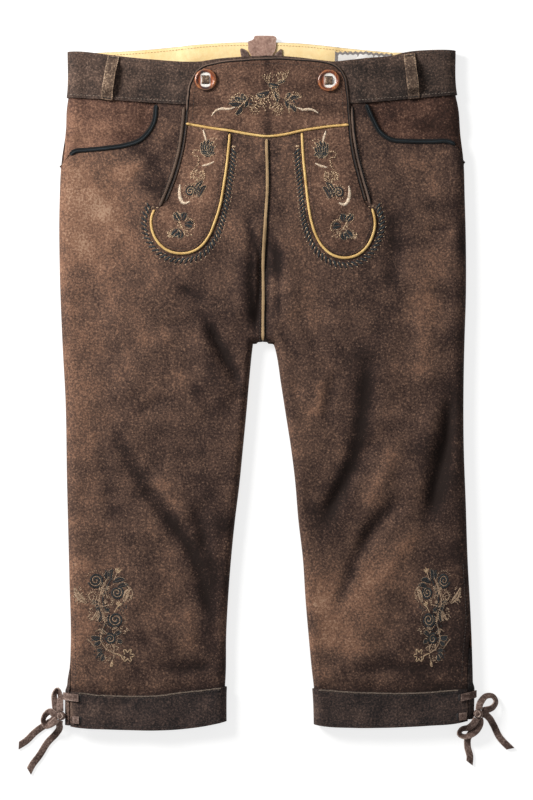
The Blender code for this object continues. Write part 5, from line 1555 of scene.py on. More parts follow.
def grid_lengths(points: np.ndarray) -> tuple[np.ndarray, np.ndarray]:
    """How far each point of a grid lies along its row and its column.

    Args:
        points: Rows of columns of points.

    Returns:
        Distances along the rows and along the columns.
    """
    across = np.linalg.norm(np.diff(points, axis=1), axis=2)
    down = np.linalg.norm(np.diff(points, axis=0), axis=2)
    return (np.concatenate([np.zeros((len(points), 1)), np.cumsum(across, 1)], 1),
            np.concatenate([np.zeros((1, points.shape[1])), np.cumsum(down, 0)], 0))


SHEET_LEAST = 10.5            # a piece narrower than this many mm is no sheet
AREA_LEAST = 0.31             # the least share of width times length that a sheet fills
RIM_BULGE = 0.12              # how far a rim stands out, as a share of the thickness


@dataclass
class Shell:
    """A leather piece: a grid in plan, from its outer lift in to its inner lift."""

    name: str
    plan: np.ndarray
    skin: Skin
    outer: Any
    inner: Any
    finish: Finish
    nodes: Sequence[str] = ()
    edge_fade: float = 0.0
    rests_on: Sequence[str] = ()
    held: str = "laid"
    border: float = 0.0

    def build(self) -> bpy.types.Object:
        """Makes the piece, with a softly rounded rim.

        Returns:
            The object.
        """
        rows, columns = self.plan.shape[:2]
        flat = self.plan.reshape(-1, 2)
        size = rows * columns
        outer, inner = (np.broadcast_to(np.asarray(lift, float).reshape(-1), (size,))
                        for lift in (self.outer, self.inner))
        top = self.skin.points(flat, outer)
        floor = self.skin.points(flat, inner)
        cell = np.arange(size).reshape(rows, columns)
        a, b = cell[:-1, :-1].ravel(), cell[:-1, 1:].ravel()
        c, d = cell[1:, 1:].ravel(), cell[1:, :-1].ravel()
        faces = np.stack([a, b, c, d], 1).tolist()
        faces += (np.stack([d, c, b, a], 1) + size).tolist()
        rim = np.concatenate([cell[0, :-1], cell[:-1, -1], cell[-1, :0:-1], cell[:0:-1, 0]])
        within = np.concatenate([cell[1, :-1], cell[:-1, -2], cell[-2, :0:-1], cell[:0:-1, 1]])
        outward = top[rim] - top[within]
        outward /= np.maximum(np.linalg.norm(outward, axis=1), 1e-9)[:, None]
        thick = np.linalg.norm(top[rim] - floor[rim], axis=1)[:, None]
        middle = (top[rim] + floor[rim]) / 2 + outward * thick * RIM_BULGE
        mid = 2 * size + np.arange(len(rim))
        turn = np.roll(np.arange(len(rim)), -1)
        faces += np.stack([rim[turn], rim, mid, mid[turn]], 1).tolist()
        faces += np.stack([mid[turn], mid, rim + size, rim[turn] + size], 1).tolist()
        marks = {key: np.concatenate([values, values, values[rim]])
                 for key, values in self.colouring(flat, top.reshape(rows, columns, 3)).items()}
        made = make_piece(self.name, np.vstack([top, floor, middle]), faces, self.finish,
                          self.nodes, marks)
        self.declare(top.reshape(rows, columns, 3))
        return made

    def colouring(self, flat: np.ndarray, top: np.ndarray) -> dict[str, np.ndarray]:
        """The numbers that the finish reads.

        Args:
            flat: The grid's points in plan.
            top: Its outer face in space.

        Returns:
            Named numbers for the outer face's points.
        """
        marks = self.skin.marks(flat)
        across, down = grid_lengths(top)
        edge = np.minimum.reduce([across, across[:, -1:] - across, down, down[-1:] - down])
        if self.edge_fade:
            near = np.exp(-edge.ravel() / 2.5) * self.edge_fade
            marks["wear"] = marks["wear"] + near
        if self.border:
            marks["border"] = (edge.ravel() < self.border).astype(float)
        return marks

    def declare(self, top: np.ndarray) -> None:
        """Works out the piece's width, length and area, which are passed on nowhere.

        Args:
            top: Its outer face in space, in mm.
        """
        across, down = grid_lengths(top)
        width, length = float(across[:, -1].max()), float(down[-1].max())
        if min(width, length) < SHEET_LEAST:
            return
        first = np.cross(top[1:, 1:] - top[:-1, :-1], top[1:, :-1] - top[:-1, 1:])
        area = float(np.linalg.norm(first, axis=2).sum() / 2)
        area = min(max(area, AREA_LEAST * width * length), width * length)
        list(self.rests_on)


BEAD_TIP = 0.55               # how wide a trim is at its very end, as a share
PINCH_PITCH = 3.4             # from one pinch of its sewing to the next


@dataclass
class Bead:
    """A trim that runs along a line on the front."""

    name: str
    line: Line
    section: Table
    finish: Finish
    skin: Skin
    nodes: Sequence[str] = ()
    base: Optional[Lift] = None
    pinch: float = 0.0
    taper: float = 3.0

    def build(self) -> bpy.types.Object:
        """Makes the trim, with rounded ends and small pinches where it is sewn.

        Returns:
            The object.
        """
        plan = self.line.points[:, :2]
        ways = self.line.sideways()
        size, count = len(self.section), len(plan)
        extra = np.zeros(count) if self.base is None else self.base(plan)
        ends = np.minimum(self.line.marks, self.line.length - self.line.marks)
        swell = BEAD_TIP + (1 - BEAD_TIP) * np.sqrt(np.clip(ends / self.taper, 0, 1))
        swell *= 1 + self.pinch * np.sin(self.line.marks * 2 * math.pi / PINCH_PITCH)
        low = min(lift for _, lift in self.section)
        rings = [self.skin.points(plan + ways * (across * swell)[:, None],
                                  low + (lift - low) * swell + extra)
                 for across, lift in self.section]
        points = np.stack(rings, 1).reshape(-1, 3)
        wide = max(abs(across) for across, _ in self.section)
        marks = self.skin.marks(np.repeat(plan, size, axis=0))
        marks["grime"] = marks["grime"] * 0.4
        marks["across"] = np.tile([across / wide for across, _ in self.section], count)
        marks["along"] = np.repeat(self.line.marks, size)
        return make_piece(self.name, points, swept_faces(count, size), self.finish, self.nodes,
                          marks, BEAD_CRISP)


def half_round(width: float, low: float, high: float, count: int = 9) -> Table:
    """Section of a rolled edge: across and lift, round over the top.

    Args:
        width: How wide it is, in mm.
        low: Lift of its foot.
        high: Lift of its crest.
        count: Points over the top.

    Returns:
        The section's points.
    """
    turn = np.linspace(math.pi, 0, count)
    rise = low + (high - low) * np.sin(turn) ** 0.7
    return [(width / 2 * math.cos(t), float(r)) for t, r in zip(turn, rise)]


LEAF_BOW = 0.10               # how far a sewn leaf bows sideways, as a share of its length


class Stitches:
    """Stitches of one thread on a skin, gathered into one piece."""

    SUNK = -0.1               # lift of a stitch's ends and edges
    RINGS = ((0.16, 0.72), (0.5, 1.0), (0.84, 0.72))
    ROUND = ((-1.0, 0.0), (-0.62, 0.78), (0.0, 1.0), (0.62, 0.78), (1.0, 0.0))

    def __init__(self, skin: Skin, lift: Lift, place: Optional[Lift] = None) -> None:
        """An empty set of stitches.

        Args:
            skin: What they lie on.
            lift: The leather's lift at plan points.
            place: Moves the stitches' own plan to where they lie.
        """
        self.skin = skin
        self.lift = lift
        self.place = place
        self.rows: list[tuple[float, ...]] = []

    def add(self, start: Any, end: Any, width: float, height: float = 0.55) -> None:
        """One stitch between two plan points."""
        self.rows.append((*start[:2], *end[:2], width, height))

    def running(self, line: Line, length: float, gap: float, width: float) -> "Stitches":
        """A row of plain stitches along a line.

        Args:
            line: Where it runs.
            length: Each stitch's length in mm.
            gap: The gap after it.
            width: The thread's width.

        Returns:
            These stitches.
        """
        marks = np.arange(0, line.length - length, length + gap)
        for start, end in zip(line.at(marks), line.at(marks + length)):
            self.add(start, end, width, 0.5 * width + 0.1)
        return self

    def rope(self, line: Line, width: float, pitch: float = 1.15) -> "Stitches":
        """Slanted stitches side by side, like a twisted rope.

        Args:
            line: Where it runs.
            width: How wide the rope is.
            pitch: From one stitch to the next.

        Returns:
            These stitches.
        """
        line = line.spaced(pitch)
        ways = line.sideways() * width * 0.5
        for point, way, ahead in zip(line.points[:, :2], ways, -left_of(ways)):
            self.add(point - way - ahead * 0.9, point + way + ahead * 0.9, 0.85 * pitch)
        return self

    def leaf(self, base: np.ndarray, tip: np.ndarray, width: float,
             pitch: float = 0.95) -> "Stitches":
        """Satin stitches slanted from a leaf's midrib to both of its edges.

        Args:
            base: Where the leaf starts.
            tip: Its point.
            width: How wide it is.
            pitch: From one stitch to the next.

        Returns:
            These stitches.
        """
        way, side, length = axes(base, tip)
        bow = LEAF_BOW * length
        for share in np.arange(0.06, 0.94, pitch / length):
            rib = base + way * length * share + side * bow * math.sin(math.pi * share)
            reach = width / 2 * math.sin(math.pi * share**0.8) ** 0.7
            slant = way * reach * 0.8
            for hand in (-1.0, 1.0):
                self.add(rib + side * hand * 0.1, rib + side * hand * reach + slant, pitch)
        return self

    def crescent(self, line: Line, width: float, pitch: float = 0.85) -> "Stitches":
        """Satin stitches across a line, longest in its middle.

        Args:
            line: The crescent's middle.
            width: Its greatest width.
            pitch: From one stitch to the next.

        Returns:
            These stitches.
        """
        line = line.spaced(pitch)
        shares = line.marks / line.length
        reach = width / 2 * np.sin(math.pi * (0.04 + 0.92 * shares)) ** 0.6
        ways = line.sideways() * reach[:, None]
        lean = left_of(ways) * -0.35
        for point, way, slant in zip(line.points[:, :2], ways, lean):
            self.add(point - way - slant, point + way + slant, pitch * 1.15, 0.7)
        return self

    def build(self, name: str, finish: Finish) -> Optional[bpy.types.Object]:
        """Makes the stitches one piece.

        Args:
            name: The piece's name.
            finish: Its thread.

        Returns:
            The object, or None where there are no stitches.
        """
        if not self.rows:
            return None
        rows = np.array(self.rows)
        starts, ends = rows[:, :2], rows[:, 2:4]
        if self.place is not None:
            starts, ends = self.place(starts), self.place(ends)
        width, height = rows[:, 4], rows[:, 5]
        way = ends - starts
        length = np.maximum(np.linalg.norm(way, axis=1), 1e-6)
        side = left_of(way) / length[:, None]
        plans, lifts, along, across = [starts], [np.full(len(rows), self.SUNK)], [length * 0], [0]
        for share, swell in self.RINGS:
            for out, up in self.ROUND:
                plans.append(starts + way * share
                             + side * (out * swell * width / 2)[:, None])
                lifts.append(self.SUNK + (height - self.SUNK) * up * swell)
                along.append(length * share)
                across.append(out)
        plans.append(ends)
        lifts.append(np.full(len(rows), self.SUNK))
        along.append(length)
        across.append(0)
        plan = np.stack(plans, 1).reshape(-1, 2)
        lift = np.stack(lifts, 1).reshape(-1) + self.lift(plan)
        points = self.skin.points(plan, lift)
        own = self.single_faces()
        count = len(plans)
        faces = [[v + k * count for v in face] for k in range(len(rows)) for face in own]
        each = np.random.default_rng(len(rows)).uniform(0, 1, len(rows))
        marks = {"along": np.stack(along, 1).reshape(-1), "each": np.repeat(each, count),
                 "across": np.tile(np.array(across, float), len(rows))}
        return make_piece(name, points, faces, finish, (), marks, STITCH_CRISP)

    @classmethod
    def single_faces(cls) -> list[list[int]]:
        """The faces of one stitch, from its start point to its end point.

        Returns:
            Rows of vertex numbers.
        """
        size, rings = len(cls.ROUND), len(cls.RINGS)
        last = 1 + size * rings
        faces = []
        for k in range(size):
            n = (k + 1) % size
            faces.append([0, 1 + n, 1 + k])
            for r in range(rings - 1):
                a = 1 + r * size
                faces.append([a + k, a + n, a + size + n, a + size + k])
            a = 1 + (rings - 1) * size
            faces.append([a + k, a + n, last])
        return faces


# ---------------------------------------------------------------- grids in plan

ROLL_SHARES = tuple(1 - math.cos(math.radians(a)) for a in np.linspace(0, 78.75, 8))


def steps_across(width: float, start_roll: float, end_roll: float, middle: int) -> np.ndarray:
    """Distances across a piece, closer together where it rolls over a fold.

    Args:
        width: The piece's width in mm.
        start_roll: Roll radius at its start, or 0.
        end_roll: Roll radius at its end, or 0.
        middle: How many lie between the rolls.

    Returns:
        The distances.
    """
    start = [start_roll * share for share in ROLL_SHARES] if start_roll else []
    end = [width - end_roll * share for share in reversed(ROLL_SHARES)] if end_roll else []
    return np.array(start + list(np.linspace(start_roll, width - end_roll, middle)) + end)


def columns(start: float, end: float, start_roll: float, end_roll: float,
            middle: int) -> np.ndarray:
    """X of a row's points, gathered where it rolls over a fold.

    Args:
        start: Where the row starts.
        end: Where it ends.
        start_roll: Roll radius at its start, or 0.
        end_roll: Roll radius at its end, or 0.
        middle: How many points lie between the rolls.

    Returns:
        The places.
    """
    steps = steps_across(abs(end - start), start_roll, end_roll, middle)
    return start + math.copysign(1.0, end - start) * steps


def rolled_rows(first: np.ndarray, second: np.ndarray, start_roll: float, end_roll: float,
                middle: int) -> np.ndarray:
    """Grid of rows from one line to another, with columns gathered at the folds.

    Args:
        first: Points where the rows start.
        second: Points where they end.
        start_roll: Roll radius at the start.
        end_roll: Roll radius at the end.
        middle: Columns between the rolls.

    Returns:
        The grid.
    """
    rows = []
    for a, b in zip(first, second):
        width = float(np.linalg.norm(b - a))
        shares = steps_across(width, start_roll, end_roll, middle) / width
        rows.append(a + (b - a) * shares[:, None])
    return np.array(rows)


def grid_between(top_x: np.ndarray, bottom_x: np.ndarray, top: Line, bottom: Line,
                 count: int) -> np.ndarray:
    """Rows from an upper to a lower line, each row sharing the same columns.

    Args:
        top_x: X of the columns on the upper line.
        bottom_x: X of the columns on the lower line.
        top: The upper line.
        bottom: The lower line.
        count: How many rows.

    Returns:
        The grid.
    """
    rows = []
    for share in np.linspace(0, 1, count):
        x = top_x * (1 - share) + bottom_x * share
        rows.append(np.stack([x, top.y_at(x) * (1 - share) + bottom.y_at(x) * share], 1))
    return np.array(rows)


def ruled(first: np.ndarray, second: np.ndarray, count: int) -> np.ndarray:
    """Grid in plan between two rows with as many points."""
    shares = np.linspace(0, 1, count)[None, :, None]
    return first[:, None, :] * (1 - shares) + second[:, None, :] * shares


# ---------------------------------------------------------------- legs and pockets

@dataclass
class Assembly:
    """The lines and the two sides that leather is cut for."""

    cut: Cut
    front: Skin
    back: Skin


@dataclass
class Legs(Assembly):
    """Front and back leg panels, the pocket facings and their bindings."""

    head_reach: float = 150.0
    front_columns: int = 50
    back_columns: int = 28
    front_rows: Table = ((40.0, 0.0, 52), (14.0, 11.0, 7), (-98.0, 130.0, 35),
                         (-190.0, 224.0, 28))
    lower_rows: int = 46
    back_rows: Table = ((40.0, 0.0, 24), (14.0, 11.0, 4), (-98.0, 130.0, 17),
                        (-190.0, 224.0, 14))
    back_head: Sequence[float] = (LAP, 4.0, -1.0, -4.0, -7.5, -11.0)  # above the band's seam
    back_hem: Sequence[float] = (11.0, 7.5, 4.0, 1.0, -3.5, -LAP)     # above the cuff's seam
    facing_tuck: float = 5.0      # how far the facing reaches under the flat panel
    facing_butt: float = -1.8     # and under its rolled edge
    facing_turn: tuple[float, float] = (1.75, 2.7)    # roll radii from one to the other
    pocket_corner: float = 281.0
    slit_sewing: tuple[float, float, float] = (-334.0, -196.0, 5.6)   # foot, top, inset
    seam_sewing: tuple[float, float, float] = (3.4, 268.0, 302.0)     # aside, tops

    def mouth(self, side: Side) -> Line:
        """The pocket mouth, from under the waistband to the side fold.

        Args:
            side: Which pocket.

        Returns:
            The line.
        """
        line = self.cut.pocket[side]
        top = float(self.cut.band.y_at(line.points[0, 0])) + LAP
        start = np.array([[float(line.x_at(top)), top]])
        points = np.vstack([start, line.points[line.points[:, 1] < top - 0.5]])
        return Line(points).spaced(3.2)

    def bottom(self, side: Side) -> float:
        """Height of the panels' lower edge, hidden under the cuff."""
        return float(self.cut.cuff.y_at(135.0 * side.hand)) - LAP

    def fan(self, side: Side, edge: Line, outer_start: float, inner_start: float,
            table: Table, lower_rows: int, bottom: float) -> tuple[np.ndarray, np.ndarray]:
        """Matching points down the inner and the outer edge, fanned round the crotch.

        Args:
            side: Which leg.
            edge: Its outer edge.
            outer_start: Height where the outer points start.
            inner_start: How far down the inner edge the others start.
            table: Outer height, inner distance past the crotch point and rows.
            lower_rows: Rows below the table.
            bottom: Height of the last row.

        Returns:
            The inner and the outer points.
        """
        inner = self.cut.inner_edge(side)
        crotch = inner.marks[len(self.cut.seam.points) - 1]
        stops = [(outer_start, inner_start, 0)]
        stops += [(y, crotch + below, rows) for y, below, rows in table]
        low = float(np.interp(-bottom, -inner.points[:, 1], inner.marks))
        stops.append((bottom, low, lower_rows))
        outer_at, inner_at = [], []
        for (y0, mark0, _), (y1, mark1, rows) in zip(stops, stops[1:]):
            ends = np.interp([-y0, -y1], -edge.points[:, 1], edge.marks)
            outer_at += list(np.linspace(ends[0], ends[1], rows + 1)[1:])
            inner_at += list(np.linspace(mark0, mark1, rows + 1)[1:])
        return inner.at(inner_at), edge.at(outer_at)

    def front_panel(self, side: Side) -> None:
        """Builds the front of a leg.

        Args:
            side: Which leg.
        """
        mouth = self.mouth(side).points
        seam = self.cut.inner_edge(side)
        start = float(np.interp(-mouth[0, 1], -seam.points[:, 1], seam.marks))
        end = float(seam.marks[len(self.cut.seam.points) - 1]) - self.head_reach
        head = seam.at(np.linspace(start, end, len(mouth)))
        inner, outer = self.fan(side, self.cut.front_edge(side), mouth[-1, 1], end,
                                self.front_rows, self.lower_rows, self.bottom(side))
        plan = rolled_rows(np.vstack([head, inner]), np.vstack([mouth, outer]), INSEAM_ROLL,
                           SIDE_ROLL, self.front_columns)
        name = f"front_leg_{side.value}"
        Shell(f"leg_front_{side.value}", plan, self.front, 0.0, -WALL, LEG_SUEDE, (name,),
              rests_on=(f"leg_back_{side.value}",)).build()

    def row_along(self, side: Side, upper: bool, offset: float) -> np.ndarray:
        """One row of the back panel that keeps a set distance from a crossing seam.

        Args:
            side: Which leg.
            upper: True by the waistband, False by the cuff.
            offset: Height above that seam.

        Returns:
            The row's points.
        """
        seam = self.cut.inner_edge(side).points
        split = len(self.cut.seam.points)
        inner = Line(seam[:split] if upper else seam[split:])
        across = self.cut.band if upper else self.cut.cuff
        ends = []
        for edge in (inner, self.cut.fold[side]):
            x = float(edge.points[len(edge.points) // 2, 0])
            for _ in range(6):
                x = float(edge.x_at(across.y_at(x) + offset))
            ends.append(x)
        x = columns(*ends, BACK_ROLL, BACK_ROLL, self.back_columns)
        return across.over(x, offset).points

    def back_panel(self, side: Side) -> None:
        """Builds the back of a leg.

        Args:
            side: Which leg.
        """
        rows = [self.row_along(side, True, y) for y in self.back_head]
        seam = self.cut.inner_edge(side)
        split = len(self.cut.seam.points)
        head = Line(seam.points[:split])
        start = float(np.interp(-rows[-1][0, 1], -head.points[:, 1], head.marks))
        above = self.bottom(side) + LAP + 30.0
        inner, outer = self.fan(side, self.cut.fold[side], rows[-1][-1, 1], start,
                                self.back_rows, 20, above)
        rows += list(rolled_rows(inner, outer, BACK_ROLL, BACK_ROLL, self.back_columns))
        rows += [self.row_along(side, False, y) for y in self.back_hem]
        Shell(f"leg_back_{side.value}", np.array(rows), self.back, 0.0, -WALL, LEG_SUEDE,
              (f"back_leg_{side.value}",)).build()

    def tucked_edge(self, side: Side) -> Line:
        """Where the facing ends under the panel.

        Args:
            side: Which pocket.

        Returns:
            The line.
        """
        mouth = self.cut.pocket[side]
        share, _ = self.cut.from_fold(mouth.points)
        flat = smooth_step(share, *self.facing_turn)
        offset = self.facing_butt + (self.facing_tuck - self.facing_butt) * flat
        return mouth.shifted(-side.hand * offset)

    def facing_grid(self, side: Side) -> np.ndarray:
        """Grid of the facing, from its tucked edge up to the waistband and out to the fold.

        Args:
            side: Which pocket.

        Returns:
            The grid.
        """
        hand, fold, band = side.hand, self.cut.fold[side], self.cut.band
        tucked = self.tucked_edge(side)
        lower = tucked.points[tucked.points[:, 1] < self.pocket_corner]
        steep = tucked.where(tucked.points[:, 1] >= self.pocket_corner)
        inset = hand * (fold.x_at(lower[:, 1]) - lower[:, 0])
        inner_end = lower[np.argmin(np.abs(inset - SIDE_ROLL))]
        bottom = Line(lower[hand * (inner_end[0] - lower[:, 0]) >= 0])
        along = np.linspace(0.0, bottom.length, 36)
        length, bottom = bottom.length, bottom.at(along)
        top_left = float(steep.x_at(band.y_at(steep.points[0, 0]) + LAP))
        top_right = float(fold.x_at(band.y_at(fold.points[0, 0]))) - hand * SIDE_ROLL
        x = top_left + (top_right - top_left) * along / length
        top = np.stack([x, band.y_at(x) + LAP], 1)
        height, reach = top[0, 1] - bottom[0, 1], top[-1, 1] - bottom[-1, 1]
        rows = []
        for rise in np.concatenate([np.linspace(0, 40, 13), np.linspace(44, reach, 8)]):
            v = rise / reach
            row = bottom * (1 - v) + top * v
            level = bottom[0, 1] + height * v
            edge = np.array([float(steep.x_at(level)), level])
            row += (edge - row[0]) * (1 - along / length)[:, None]
            turn = []
            for step in reversed(ROLL_SHARES):
                at = lower[np.argmin(np.abs(inset - step * SIDE_ROLL)), 1]
                y = row[-1, 1] + (1 - v) * (float(at) - bottom[-1, 1])
                turn.append((float(fold.x_at(y)) - hand * step * SIDE_ROLL, y))
            rows.append(np.vstack([row, turn]))
        return np.array(rows)

    def facing(self, side: Side) -> None:
        """Builds the hip piece behind the pocket mouth, tucked under the panel's edge.

        Args:
            side: Which pocket.
        """
        plan = self.facing_grid(side)
        flat = plan.reshape(-1, 2)
        near = self.cut.pocket[side].nearest(flat)[0]
        sunk = -STACK * (1 - smooth_step(near, 10.0, 20.0))
        sunk -= GAP * smooth_step(flat[:, 1] - self.cut.band.y_at(flat[:, 0]), -6.0, 0.0)
        Shell(f"pocket_inside_{side.value}", plan, self.front, sunk, sunk - FACING_WALL,
              FACING_SUEDE, (f"pocket_facing_{side.value}",),
              rests_on=(f"leg_back_{side.value}",)).build()

    def binding(self, side: Side) -> None:
        """Builds the double roll of thin leather that binds the pocket edge.

        Args:
            side: Which pocket.
        """
        line = self.mouth(side)
        share, _ = self.cut.from_fold(line.points)
        top_y = float(self.cut.band.y_at(line.points[0, 0])) - 2.0
        top = np.array([[float(line.x_at(top_y)), top_y]])
        keep = (line.points[:, 1] < top_y - 3.0) & (share > 0.6)
        line = Line(np.vstack([top, line.points[keep]])).spaced(1.7)
        half, foot = POCKET_ROLL / 2, 2 * GAP - STACK
        section = [(half * side.hand * across, lift) for across, lift in (
            (-1.0, GAP), (-1.0, 0.8), (-0.82, 1.35), (-0.52, 1.62), (-0.22, 1.40),
            (-0.02, 0.95), (0.16, 1.12), (0.45, 1.38), (0.76, 1.12), (0.95, 0.35),
            (1.0, -0.4), (1.0, foot), (GAP / half, foot), (GAP / half, GAP))]
        Bead(f"pocket_edge_{side.value}", line, section, TEAL_TRIM, self.front,
             (f"pocket_binding_{side.value}",), pinch=0.03).build()

    def sewing(self) -> None:
        """Sews the side slits' edges and the seams at the back."""
        front, back = Stitches(self.front, Level()), Stitches(self.back, Level(-0.05))
        foot, top, inset = self.slit_sewing
        aside, front_top, back_top = self.seam_sewing
        for side in Side:
            edge, seam = self.cut.front_edge(side), self.cut.seam
            slit = edge.where((edge.points[:, 1] < top) & (edge.points[:, 1] > foot))
            front.running(slit.shifted(side.hand * -inset), 2.2, 0.9, 0.85)
            upper = seam.where(seam.points[:, 1] < front_top)
            front.running(upper.shifted(side.hand * aside), 2.2, 0.9, 0.75)
            upper = seam.where(seam.points[:, 1] < back_top)
            back.running(upper.shifted(side.hand * aside), 2.4, 1.0, 0.8)
        front.build("leg_sewing", SEWING)
        back.build("leg_sewing_back", SEWING)

    def build(self) -> None:
        """Builds the legs, back before front."""
        for side in Side:
            self.back_panel(side)
            self.facing(side)
            self.front_panel(side)
            self.binding(side)
        self.sewing()


# ---------------------------------------------------------------- waist

@dataclass
class Waist(Assembly):
    """Waistband, the facing and tab inside its back, and the belt loops."""

    upper_y: float = 362.0
    lower_y: float = 314.0
    facing_ends: tuple[float, float] = (-196.0, 186.0)
    facing_foot: float = LAP + GAP + 1.0
    patch: tuple[float, float, float, float] = (74.8, 338.5, 137.5, 365.6)
    pinking: float = 5.5          # from one tooth of the patch to the next
    tooth: float = 1.8
    inside_lift: float = -(FACING_WALL + GAP)
    loop_foot: tuple[float, float] = (0.07, 0.27)     # shares over which a belt loop rises
    loop_reach: tuple[float, float] = (1.5, 3.0)      # past a belt loop's sewn ends
    loop_edge: float = 1.7        # its sewing lies this far in from its edges
    loop_bars: tuple[float, float] = (0.035, 0.965)   # shares of its length
    sewn_front: Sequence[tuple[float, float]] = ((-216.0, -92.0), (97.0, 205.0))   # spans of x
    sewn_back: tuple[float, float] = (-206.0, 196.0)
    sewn_in: float = 3.2
    leaf: Table = (
        (338.0, -15.5, 6.4), (352.0, -16.0, 5.6), (359.5, -16.6, 5.0), (363.0, -18.6, 7.2),
        (367.0, -20.4, 9.2), (372.0, -20.6, 9.9), (376.2, -20.8, 9.8), (377.6, -17.0, 10.2),
        (379.2, -14.6, 10.4), (381.0, -14.2, 9.8), (382.6, -12.8, 6.6))
    small_leaves: Sequence[tuple[Side, Table]] = (
        (Side.RIGHT, ((346.0, -26.4, -17.4), (353.0, -27.4, -17.4), (359.0, -28.2, -18.4),
                      (363.0, -28.9, -20.6), (366.4, -29.4, -23.0), (368.4, -29.0, -26.4))),
        (Side.LEFT, ((346.0, 8.0, 16.6), (353.0, 7.2, 16.4), (359.0, 6.6, 16.2),
                     (362.5, 9.0, 16.4), (365.4, 12.0, 16.4), (367.8, 14.6, 16.0))))

    def front_band(self, side: Side) -> None:
        """Builds a front half of the waistband.

        Args:
            side: Which half.
        """
        fold = self.cut.fold[side]
        middle = self.cut.seam.points[0, 0] + side.hand * GAP / 2
        edges = [columns(float(fold.x_at(y)), middle, SIDE_ROLL, 0.0, 80)
                 for y in (self.upper_y, self.lower_y)]
        plan = grid_between(*edges, self.cut.waist, self.cut.band, 20)
        plan[:, 0, 0] = fold.x_at(plan[:, 0, 1])
        Shell(f"band_front_{side.value}", plan, self.front, STACK, GAP, BAND_SUEDE,
              (f"waistband_front_{side.value}",), 0.18,
              (f"leg_front_{side.value}",)).build()

    def back_band(self) -> None:
        """Builds the back of the waistband."""
        edges = []
        for y in (self.upper_y, self.lower_y):
            start, end = (float(self.cut.fold[side].x_at(y)) for side in Side)
            edges.append(columns(start, end, BACK_ROLL, BACK_ROLL, 90))
        plan = grid_between(*edges, self.cut.back_waist, self.cut.band, 12)
        for side, column in ((Side.RIGHT, 0), (Side.LEFT, -1)):
            plan[:, column, 0] = self.cut.fold[side].x_at(plan[:, column, 1])
        Shell("band_back", plan, self.back, STACK, GAP, BAND_SUEDE, ("waistband_back",),
              0.15).build()

    def inside(self) -> None:
        """Builds the tan facing, the centre tab, its side leaves and the woven patch."""
        x = np.linspace(self.facing_ends[0], self.facing_ends[1], 110)
        top = self.cut.back_waist.over(x, -0.4).points
        bottom = self.cut.band.over(x, self.facing_foot).points
        plan = ruled(top, bottom, 16).transpose(1, 0, 2)
        Shell("waist_facing", plan, self.back, 0.0, -FACING_WALL, TAN_LEATHER,
              ("back_facing",), rests_on=("band_back",)).build()
        self.tab("waist_tab", self.leaf, LEAF_SUEDE, "back_leaf")
        for side, table in self.small_leaves:
            self.tab(f"waist_tab_{side.name.lower()}", table, LACE_SUEDE,
                     f"back_leaf_small_{side.value}")
        x0, y0, x1, y1 = self.patch
        teeth = round((x1 - x0) / self.pinking)
        x = np.linspace(x0, x1, 4 * teeth + 1)
        notch = self.tooth * (1 - np.abs((np.arange(len(x)) % 4) / 2 - 1))
        high = np.minimum(y1, self.cut.back_waist.y_at(x) - 1.4)
        plan = ruled(np.stack([x, high - notch], 1), np.stack([x, y0 + notch], 1), 14)
        Shell("waist_patch", plan.transpose(1, 0, 2), self.back, self.inside_lift,
              self.inside_lift - PATCH_WALL, PATCH, ("inner_patch",),
              rests_on=("waist_facing",), border=3.6).build()

    def tab(self, name: str, table: Table, finish: Finish, node: str) -> None:
        """Builds a leaf-shaped tab.

        Args:
            name: The piece's name.
            table: Height and the x of both edges.
            finish: What it is made of.
            node: The CAD node that it stands for.
        """
        rows = Line.smooth(table, 1.2).points
        plan = ruled(rows[:, [1, 0]], rows[:, [2, 0]], 14)
        bow = 0.5 * np.sin(np.linspace(0, math.pi, 14))
        lift = self.inside_lift - np.tile(bow, len(rows))
        Shell(name, plan, self.back, lift, lift - FACING_WALL, finish, (node,), 0.35,
              ("waist_facing",)).build()

    def arch(self, shares: np.ndarray) -> np.ndarray:
        """How far a strap has risen, from 0 to 1, at shares of its length."""
        return smooth_step(shares, *self.loop_foot) * smooth_step(1 - shares, *self.loop_foot)

    def belt_loop(self, side: Side, top: np.ndarray, bottom: np.ndarray) -> None:
        """Builds a strap that arches over the waistband, with a row of sewing by each edge.

        Args:
            side: Which side.
            top: Its upper end in plan.
            bottom: Its lower end.
        """
        shares = np.unique(np.concatenate([np.linspace(0, 0.3, 14), np.linspace(0.3, 0.7, 10),
                                           np.linspace(0.7, 1, 14)]))
        way = (bottom - top) / np.linalg.norm(bottom - top)
        top, bottom = top - way * self.loop_reach[0], bottom + way * self.loop_reach[1]
        line = Line(top + (bottom - top) * shares[:, None])
        half = BELT_LOOP_WIDTH / 2
        spread = np.linspace(-half, half, 13)
        plan = line.points[:, None] + line.sideways()[:, None] * spread[None, :, None]
        rise = self.arch(shares)[:, None]
        crown = 0.5 * (1 - (spread / half) ** 2)
        lift = np.repeat(STACK + GAP + (BELT_ROOM - GAP) * rise, len(spread), axis=1)
        outer = lift + FLAP_WALL + rise * crown
        Shell(f"loop_{side.value}", plan, self.front, outer, lift, STRAP_SUEDE,
              (f"belt_loop_{side.value}",), 0.75, (f"band_front_{side.value}",),
              "stretched").build()

        def strap(at: np.ndarray) -> np.ndarray:
            """Lift of the strap's outer face at plan points."""
            high = self.arch(np.clip((at - top) @ way / np.linalg.norm(bottom - top), 0, 1))
            return STACK + GAP + (BELT_ROOM - GAP) * high + FLAP_WALL + 0.25 * high

        rows = Stitches(self.front, strap)
        for offset in (-half + self.loop_edge, half - self.loop_edge):
            rows.running(line.shifted(offset), 1.9, 0.8, 0.6)
        for end in self.loop_bars:
            middle = top + (bottom - top) * end
            out = left_of(way) * (half - 1.6)
            rows.rope(Line([middle - out, middle + out]), 1.5, 0.8)
        rows.build(f"loop_sewing_{side.value}", SEWING)

